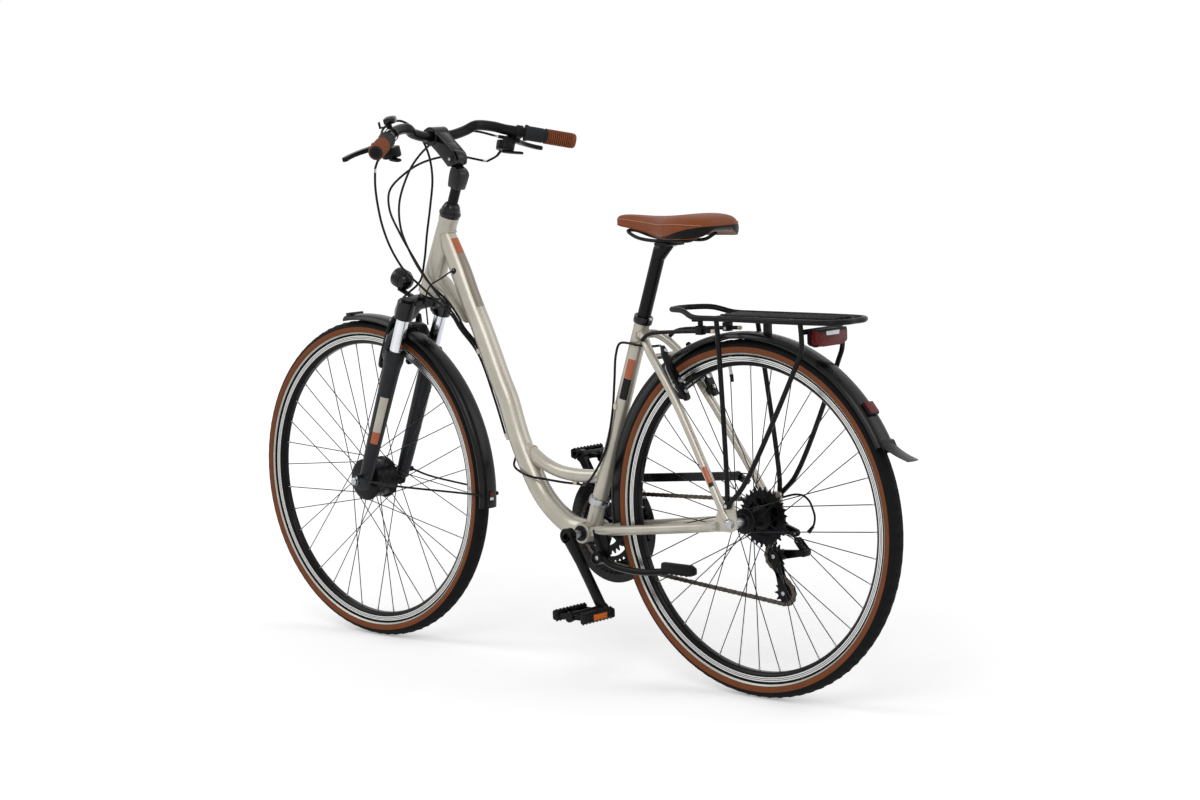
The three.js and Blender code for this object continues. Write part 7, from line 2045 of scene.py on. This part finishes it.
@dataclass
class Brakes:
    """The linear-pull brakes: arms, shoes and springs."""

    arm: float = 105.0
    wide: float = 18.0

    def build(self) -> None:
        """Build the four arms."""
        front = STEERING @ basis(vec(0, 1, 0), vec(1, 0, 0), vec(0, 0, 1), vec(51, 0, 282))
        framework = FrameWork()
        line = framework.stay_point(0.544, 0.658, 0.69) - framework.stay_point(0.07, 0.066, 0.99)
        line.y = 0
        line.normalize()
        away = vec(-line.z, 0, line.x)
        boss = framework.stay_point(0.544, 0.658, 0.69)
        boss.y = 0
        rear = BIKE @ basis(vec(0, 1, 0), away, line, boss + away * 20)
        for end, place, spread, pad in (("front", front, 40, 0), ("rear", rear, 42, -4)):
            for side in ("left", "right"):
                self._arm(end, side, place, spread, pad)

    def _arm(self, end: str, side: str, place: Matrix, spread: float, pad: float) -> None:
        """One arm with its shoe, washers, bolt and spring.

        Args:
            end: Front or rear.
            side: Left or right.
            place: Carries the brake's own mm to the scene.
            spread: How far out the boss lies.
            pad: The shoe's middle along the boss.
        """
        name = end + "_brake_arm_" + side
        if side == "right":
            place = place @ Matrix.Scale(-1, 4, Vector((1, 0, 0)))
        piece = Piece(name + "_dressed", place)
        shares = [
            (-0.5, -0.1), (-0.3, -0.16), (0.3, -0.16), (0.5, -0.1), (0.6, 0.06), (0.62, 0.25), (0.56, 0.5),
            (0.45, 0.75), (0.3, 0.86), (-0.1, 1), (-0.42, 1.0), (-0.5, 0.93), (-0.38, 0.8), (-0.35, 0.7), (-0.4, 0.5),
            (-0.5, 0.25),
        ]
        outline = [(spread + self.wide * x, self.arm * z) for x, z in shares]
        piece.plate(outline, -1.5, 7.5, ANODISED, bevel=1.8)
        piece.turned([(6.7, -7.8), (9, -7.8), (9, 7.8), (6.7, 7.8)], ANODISED, vec(spread, 0, 0), steps=28)
        inner = 14.0
        piece.plate(
            [(inner, 20.8), (inner, 29.2), (inner + 3, 29.4), (inner + 3, 20.6)], pad - 31, pad + 31, TREAD, bevel=0.8
        )
        piece.plate(
            [(inner + 2.8, 21.4), (inner + 2.8, 28.6), (inner + 9, 27.6), (inner + 9, 22.4)], pad - 28, pad + 28,
            MOULDED, bevel=1.0
        )
        piece.rod(vec(inner + 8, 0, 25), vec(spread + 1, 0, 25), 3.9, ZINC, sides=18)
        piece.rod(vec(spread - 12, 0, 25), vec(spread - 9.4, 0, 25), 6.4, ZINC, sides=20, bevel=0.4)
        piece.rod(vec(spread - 1, 7.2, 25), vec(spread - 1, 9.8, 25), 5.6, ZINC, sides=20, bevel=0.6)
        piece.rod(vec(spread, 7.4, 0), vec(spread, 9.6, 0), 6.2, MOULDED, sides=20, bevel=0.6)
        piece.rod(
            vec(spread - 2, 7, self.arm * 0.88), vec(spread - 2, 10, self.arm * 0.88), 4.6, ZINC, sides=6, bevel=0.5
        )
        spring = [
            vec(spread + 5, -4, 3), vec(spread + 10.5, -3.4, 16), vec(spread + 11.6, -2.4, 40),
            vec(spread + 10, -1, 62), vec(spread + 6, 1, 66)
        ]
        piece.tube(spring, 1.0, ZINC, 4, 8)
        body = end + "_arm_" + side
        piece.finish(body, "black_alloy", name)


@dataclass
class Lights:
    """Headlight with its bracket, and the tail light."""

    lamp_ahead: float = 93.0
    lamp_rise: float = 454.0
    lamp_radius: float = 22.0

    def build(self) -> None:
        """Build both lights."""
        head = Piece("headlight_dressed", STEERING)
        r = self.lamp_radius
        centre = vec(self.lamp_ahead, 0, self.lamp_rise)
        profile = [
            (0, -1.19), (0.34, -1.18), (0.6, -1.06), (0.8, -0.84), (0.93, -0.5), (0.985, -0.1), (1, 0.3), (1, 0.58),
            (0.97, 0.66), (0.92, 0.66), (0.9, 0.55), (0, 0.5),
        ]
        head.turned([(r * a, r * b) for a, b in profile], GLOSS_BLACK, centre, vec(1, 0, 0), 48)
        head.turned(
            [(0, 0.5 * r), (0.89 * r, 0.54 * r), (0.86 * r, 0.64 * r), (0.5 * r, 0.72 * r), (0, 0.745 * r)], CLEAR_LENS,
            centre, vec(1, 0, 0), 48
        )
        for low in (-0.42, -0.14, 0.14):
            ridge = [
                (0.9 * r, low * r), (0.998 * r, (low + 0.02) * r), (0.998 * r, (low + 0.1) * r),
                (0.9 * r, (low + 0.12) * r)
            ]
            head.turned(ridge, ANODISED, centre, vec(1, 0, 0), 48)
        head.plate(
            [(27.4, 428.4), (27.4, 445.6), (32, 445.6), (32.4, 433), (86, 433), (86, 446), (93, 450), (93, 428.4)],
            -7.8, 7.8, SATIN_BLACK, bevel=1.1
        )
        head.rod(vec(31.6, 0, 439), vec(34.4, 0, 439), 5.4, ZINC, sides=6, bevel=0.4)
        head.finish("fork_crown", "plastic", "headlight")
        tail = Piece("tail_light_dressed")
        shares = [
            (1, 0.3), (1, -0.19), (0.92, -0.27), (0.6, -0.38), (-0.6, -0.38), (-0.92, -0.27), (-1, -0.19), (-1, 0.3),
            (-0.94, 0.38), (0.94, 0.38)
        ]
        outline = [(47 * y, 709 + 47 * z) for y, z in shares]
        tail.plate(outline, -184, -177.4, MOULDED, "x", 1.2)
        small = [(y * 0.95, 709 + (z - 709) * 0.88) for y, z in outline]
        tail.plate([(y, z) for y, z in small], -202.2, -183.5, RED_LENS, "x", 3.2)
        tail.plate([(-40, 719.4), (-43, 725.6), (43, 725.6), (40, 719.4)], -202.4, -183, MOULDED, "x", 1.2)
        tail.plate([(-19, 713.5), (-21, 722.6), (21, 722.6), (19, 713.5)], -202.6, -184, CLEAR_LENS, "x", 1.4)
        tail.finish("frame", "red", "tail_light")


@dataclass
class Kickstand:
    """The folded stand on the left chainstay."""

    def build(self) -> None:
        """Build the stand's leg, its pivot and its ribbed foot."""
        piece = Piece("kickstand_leg_dressed")
        pivot = vec(373, 45, 245)
        tilt = vec(-0.126, 0.9886, 0.083).normalized()
        piece.turned([(5.9, -6.6), (12.4, -6.6), (13, -5.6), (13, 13), (12, 14), (5.9, 14)], ANODISED, pivot, tilt, 36)
        shares = [(0, 0.03, 0), (-0.36, 0.02, -0.12), (-1.1, 0.02, -0.18), (-1.79, 0.06, -0.1)]
        points = [pivot + vec(100 * a, 100 * b, 100 * c) for a, b, c in shares]
        piece.tube([p + vec(-12, 0, 0) if i == 0 else p for i, p in enumerate(points)], 6.9, ANODISED, 8, 20)
        foot = [(-1.73, -0.13), (-1.76, 0.09), (-2.5, 0.09), (-2.6, 0.03), (-2.6, -0.09), (-2.5, -0.13)]
        piece.plate(
            [(pivot.x + 100 * x, pivot.z + 100 * z) for x, z in foot], pivot.y - 0.8, pivot.y + 12.8, MOULDED, bevel=2.6
        )
        for i in range(5):
            x = pivot.x - 188 - 13 * i
            piece.rod(vec(x, pivot.y - 0.6, 231.8), vec(x, pivot.y + 12.6, 231.8), 1.1, MOULDED, sides=8)
        piece.finish("kickstand", "black_alloy", "kickstand_leg")


@dataclass
class Cables:
    """Housings, bare inner wires and the lamp's wire."""

    radius: float = 2.5

    def build(self) -> None:
        """Build every cable."""
        self._housing("brake_cable_front", FRONT_BRAKE, ("fork_crown", "fork_lowers"), (12, 15))
        self._housing("brake_cable_rear", REAR_BRAKE, ("fork_crown", "frame"), (4, 12))
        self._housing("shift_cable_left", LEFT_SHIFT, ("fork_crown", "frame"), (1, 9))
        self._housing("shift_cable_right", RIGHT_SHIFT, ("fork_crown", "frame"), (4, 10))
        self._bare_wires()
        self._lamp_wire()
        self._ends()
        self._rear_loop()

    def _housing(self, name: str, shares: Sequence, bodies: tuple[str, str], span: tuple[int, int]) -> None:
        """A housing along its solid's points, with its end caps, taken off its body afterwards.

        Args:
            name: The CAD node that it stands for.
            shares: The solid's points, in hundreds of mm.
            bodies: The two bodies that it runs between.
            span: Not used.
        """
        piece = Piece(name + "_housing")
        points = [vec(*p) * HUNDRED for p in shares]
        piece.tube(points, self.radius, JACKET, 8, 14)
        for end, inner in ((points[0], points[1]), (points[-1], points[-2])):
            along = (inner - end).normalized()
            piece.rod(end, end + along * 8, 2.62, ZINC, sides=16)
        housing = piece.finish(bodies[1], "plastic", name)
        self._blend(housing)

    def _blend(self, cord: bpy.types.Object) -> None:
        """Take a cord off its body and bake its place into its mesh."""
        cord.parent = None
        if "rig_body" in cord:
            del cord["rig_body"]
        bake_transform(cord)

    def _bare_wires(self) -> None:
        """Shift wires from the lower guide under the shell to both derailleurs."""
        piece = Piece("shift_wires_bare")
        for y, tail in (
            (0.0, [vec(0, -8, -24.2), vec(-20, -22, -17)]),
            (8.0, [vec(0, 8, -24.2), vec(-14, 14, -18)]),
        ):
            piece.tube([vec(643, y, 463), vec(600, y, 382), vec(560, y, 326)], 0.9, WIRE, 6, 8)
            piece.tube([vec(560, y, 326), vec(510, y, 284), *(BRACKET + t for t in tail)], 0.9, WIRE, 6, 8)
        piece.block(BRACKET + vec(-10, -14, -26), BRACKET + vec(10, 14, -21.4), MOULDED, 1.4)
        piece.finish("frame", "steel")

    def _lamp_wire(self) -> None:
        """The headlight's wire, from the frame to the fork crown."""
        lamp = Piece("lamp_wire")
        wire = [vec(*p) for p in LAMP_WIRE]
        lamp.tube(wire, 1.7, JACKET, 8, 10)
        self._blend(lamp.finish("frame", "plastic"))

    def _ends(self) -> None:
        """The shift housings' end pieces at the levers."""
        for name, shares in SHIFT_ENDS:
            lead = Piece("shift_housing_end_" + name)
            points = [vec(*p) * HUNDRED for p in shares]
            lead.tube(points, self.radius, JACKET, 8, 14)
            lead.rod(points[0], points[1], 3.4, MOULDED, tip=2.7, sides=16)
            lead.finish("bar", "plastic")

    def _rear_loop(self) -> None:
        """Rear derailleur's housing loop, from the chainstay to the derailleur."""
        piece = Piece("rear_derailleur_housing")
        loop = [
            vec(96, -68, 334), vec(60, -76, 352), vec(18, -84, 373), vec(-15, -86, 384), vec(-34, -85, 388),
            vec(-53, -84, 387),
            vec(-68, -83, 378), vec(-77, -81, 365), vec(-83, -80, 348), vec(-80, -78, 330), vec(-70, -76, 318),
        ]
        piece.tube(loop, 2.2, JACKET, 8, 12)
        piece.rod(loop[-1], loop[-2], 4.2, MOULDED, tip=3.0, sides=16, bevel=0.4)
        piece.rod(loop[0], vec(110, -66.6, 328), 3.0, ZINC, sides=14)
        piece.finish("frame", "plastic")


FRONT_BRAKE = [
    (8.29, 1.665, 10.89), (8.62, 1.38, 11.12), (8.7, 1.1, 11.27), (8.72, 0.75, 11.31), (8.72, 0.4, 11.145),
    (8.76, 0.08, 10.84), (8.8, -0.12, 10.46), (8.86, -0.22, 10.03), (8.96, -0.22, 9.48), (9.08, -0.2, 8.88),
    (9.18, -0.18, 8.29), (9.3, -0.14, 7.86), (9.44, 0.2, 7.56), (9.54, 0.33, 7.37), (9.59, 0.36, 7.19),
]
REAR_BRAKE = [
    (8.29, -1.665, 10.89), (8.65, -1.32, 11.02), (9.15, -1.1, 10.98), (9.55, -0.85, 10.76), (9.76, -0.54, 10.38),
    (9.84, -0.32, 9.97), (9.82, -0.12, 9.54), (9.6, 0.08, 9.04), (9.2, 0.24, 8.57), (8.76, 0.34, 8.13),
    (8.42, 0.34, 7.81), (8.02, 0.28, 7.5), (7.8, 0.22, 7.2), (7.66, 0.19, 6.96), (7.395, -0.08, 6.42),
    (6.942, -0.08, 5.47), (6.643, -0.08, 4.672), (6.5, -0.04, 4.3), (6.38, 0.14, 4.11), (6, 0.285, 3.99),
    (5.75, 0.28, 3.93), (5.49, 0.18, 3.89), (5, 0.08, 3.84), (4.7, 0.02, 3.825), (4.45, 0.09, 3.83), (4.28, 0.19, 3.88),
    (4.1, 0.205, 4.03), (3.71, 0.195, 4.6), (3.48, 0.192, 5.39), (3.44, 0.14, 6.04), (3.37, 0.15, 6.54),
    (3.23, 0.18, 6.78), (2.95, 0.2, 6.8), (2.75, 0.2, 6.77), (2.56, 0.165, 6.76), (2.35, 0.155, 6.76),
    (2.18, 0.19, 6.78), (2.08, 0.25, 6.79), (2.01, 0.31, 6.79),
]
LEFT_SHIFT = [
    (8.36, 1.86, 10.36), (8.4, 1.84, 10.0), (8.46, 1.74, 9.6), (8.5, 1.6, 9.16), (8.52, 1.36, 8.66), (8.48, 1.04, 8.18),
    (8.42, 0.74, 7.9), (8.34, 0.58, 7.72), (8.08, 0.46, 7.46), (7.82, 0.35, 7.19), (7.66, 0.32, 6.95),
    (7.395, 0.08, 6.42), (6.942, 0.08, 5.47), (6.643, 0.08, 4.672),
]
RIGHT_SHIFT = [
    (8.6, -1.62, 10.36), (9.28, -1.22, 10.5), (9.72, -0.76, 10.38), (9.93, -0.35, 10.12), (9.93, 0.04, 9.82),
    (9.68, 0.3, 9.42), (9.22, 0.45, 8.92), (8.76, 0.48, 8.37), (8.44, 0.46, 7.96), (8.16, 0.4, 7.62),
    (7.84, 0.285, 7.22), (7.67, 0.255, 6.97), (7.395, 0, 6.42), (6.942, 0, 5.47), (6.643, 0, 4.672),
]

LAMP_WIRE = [
    (783, 22, 814), (792, 26, 812), (815, 30, 799), (844, 38, 782), (854, 42, 757), (850, 45, 723), (847, 46, 700),
]
SHIFT_ENDS = (
    ("left", [(8.227, 1.77, 10.66), (8.3, 1.83, 10.52), (8.36, 1.86, 10.36)]),
    ("right", [(8.228, -1.77, 10.66), (8.4, -1.74, 10.48), (8.6, -1.62, 10.36)]),
)


def white_rays(tree: bpy.types.NodeTree) -> bpy.types.NodeSocket:
    """A socket that is 1 for rays of the camera, of reflections and through glass."""
    rays = add_node(tree, "ShaderNodeLightPath").outputs
    seen = add_node(tree, "ShaderNodeMath", {0: rays["Is Camera Ray"], 1: rays["Is Glossy Ray"]}, operation="MAXIMUM")
    both = add_node(
        tree, "ShaderNodeMath", {0: seen.outputs[0], 1: rays["Is Transmission Ray"]}, operation="MAXIMUM",
    )
    return both.outputs[0]


# The studio in metres and watts: each lamp's name, place, width and power, and the floor's glow at two distances
SOFTBOXES = (
    ("key", (-2.6, 3.4, 3.4), 2.6, 62), ("fill", (-3.2, -2.4, 2.6), 3.0, 26), ("rim", (2.6, 1.8, 3.2), 2.2, 30),
)
LIT_POINT = Vector((0, 0, 0.5))
FLOOR_SIZE = 400
FLOOR_GAP = 0.0006
GLOW_NEAR = (0.8, 0.29)
GLOW_FAR = (3.4, 0.52)


@dataclass
class Studio:
    """White studio: floor, soft lamps, world and the camera of the photograph."""

    target: tuple[float, float, float] = (398.9, 0.0, 558.89)
    distance: float = 5414.22
    azimuth: float = math.radians(46.77)
    elevation: float = math.radians(6.68)
    roll: float = math.radians(2.09)
    lens: float = 80.381

    def build(self) -> None:
        """Build the studio."""
        self._camera()
        self._floor()
        self._lights()

    def _camera(self) -> None:
        """The camera, rolled as the photograph is."""
        e, a = self.elevation, self.azimuth
        back = vec(-math.cos(e) * math.cos(a), math.cos(e) * math.sin(a), math.sin(e))
        right = (-back).cross(vec(0, 0, 1)).normalized()
        up = right.cross(-back)
        turn = Matrix.Rotation(self.roll, 3, -back)
        right, up = turn @ right, turn @ up
        eye = Vector(self.target) + back * self.distance
        data = bpy.data.cameras.new("photo_camera")
        data.lens = self.lens
        data.sensor_width = 36.0
        data.sensor_fit = "HORIZONTAL"
        data.clip_end = 100.0
        camera = bpy.data.objects.new("photo_camera", data)
        bpy.context.collection.objects.link(camera)
        camera.matrix_world = basis(right, up, back, (eye - vec(MIDDLE, 0, 0)) * MM)
        bpy.context.scene.camera = camera

    def _floor(self) -> None:
        """A large pale floor that looks white to the camera and in reflections."""
        bpy.ops.object.select_all(action="DESELECT")
        bpy.ops.mesh.primitive_plane_add(size=FLOOR_SIZE, location=(0, 0, -FLOOR_GAP))
        floor = bpy.context.object
        floor.name = "studio_floor"
        made = bpy.data.materials.new("matt_studio_floor")
        made.use_nodes = True
        shader = made.node_tree.nodes["Principled BSDF"]
        shader.inputs["Base Color"].default_value = linear("#f7f7f7")
        shader.inputs["Roughness"].default_value = 0.9
        shader.inputs["Specular IOR Level"].default_value = 0.0
        spot = add_node(made.node_tree, "ShaderNodeTexCoord")
        away = add_node(made.node_tree, "ShaderNodeVectorMath", {0: spot.outputs["Object"]}, operation="LENGTH")
        far = add_node(
            made.node_tree, "ShaderNodeMapRange",
            {
                "Value": away.outputs["Value"], "From Min": GLOW_NEAR[0], "From Max": GLOW_FAR[0],
                "To Min": GLOW_NEAR[1], "To Max": GLOW_FAR[1],
            },
        )
        seen = white_rays(made.node_tree)
        lift = add_node(made.node_tree, "ShaderNodeMath", {0: seen, 1: far.outputs["Result"]}, operation="MULTIPLY")
        shader.inputs["Emission Color"].default_value = (1, 1, 1, 1)
        made.node_tree.links.new(lift.outputs[0], shader.inputs["Emission Strength"])
        floor.data.materials.append(made)

    def _lights(self) -> None:
        """A bright even world that reads as white, and three large soft lamps."""
        world = bpy.data.worlds.new("studio_world")
        world.use_nodes = True
        bpy.context.scene.world = world
        tree = world.node_tree
        ground = tree.nodes["Background"]
        ground.inputs["Color"].default_value = (1, 1, 1, 1)
        power = add_node(tree, "ShaderNodeMapRange", {"Value": white_rays(tree), "To Min": 0.55, "To Max": 1.0})
        tree.links.new(power.outputs["Result"], ground.inputs["Strength"])
        for name, spot, size, energy in SOFTBOXES:
            data = bpy.data.lights.new(name + "_softbox", "AREA")
            data.shape = "DISK"
            data.size = size
            data.energy = energy
            lamp = bpy.data.objects.new(name + "_softbox", data)
            bpy.context.collection.objects.link(lamp)
            lamp.location = spot
            lamp.rotation_mode = "QUATERNION"
            lamp.rotation_quaternion = (LIT_POINT - Vector(spot)).to_track_quat("-Z", "Y")
        bpy.context.scene.view_settings.view_transform = "Standard"


def main() -> None:
    """Build the whole bicycle round its CAD frame."""
    logging.basicConfig(level=logging.INFO, format="%(name)s %(message)s")
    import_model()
    Studio().build()
    rear = Wheel(
        "rear", BIKE @ Matrix.Translation(REAR_AXLE), "rear_wheel", "frame", (-MIDDLE * MM, WHEEL_RADIUS * MM), 25.0,
        (32.0, -19.0),
        REAR_HUB, 67.5, (40.5, 63.0),
    )
    front = Wheel(
        "front", STEERING @ Matrix.Translation((FORK_OFFSET, 0, 0)), "front_wheel", "fork_lowers",
        ((WHEELBASE - MIDDLE) * MM, WHEEL_RADIUS * MM), 46.0, (26.5, -26.5),
        FRONT_HUB, 50.0, (31.5, 31.5),
    )
    for assembly in (
        rear, front, FrameWork(), Fork(), Cockpit(), Seat(), Rack(), Mudguards(), Drivetrain(), Brakes(), Lights(),
        Kickstand(), Cables(),
    ):
        LOG.info("building %s", type(assembly).__name__)
        assembly.build()


if __name__ == "__main__":
    main()
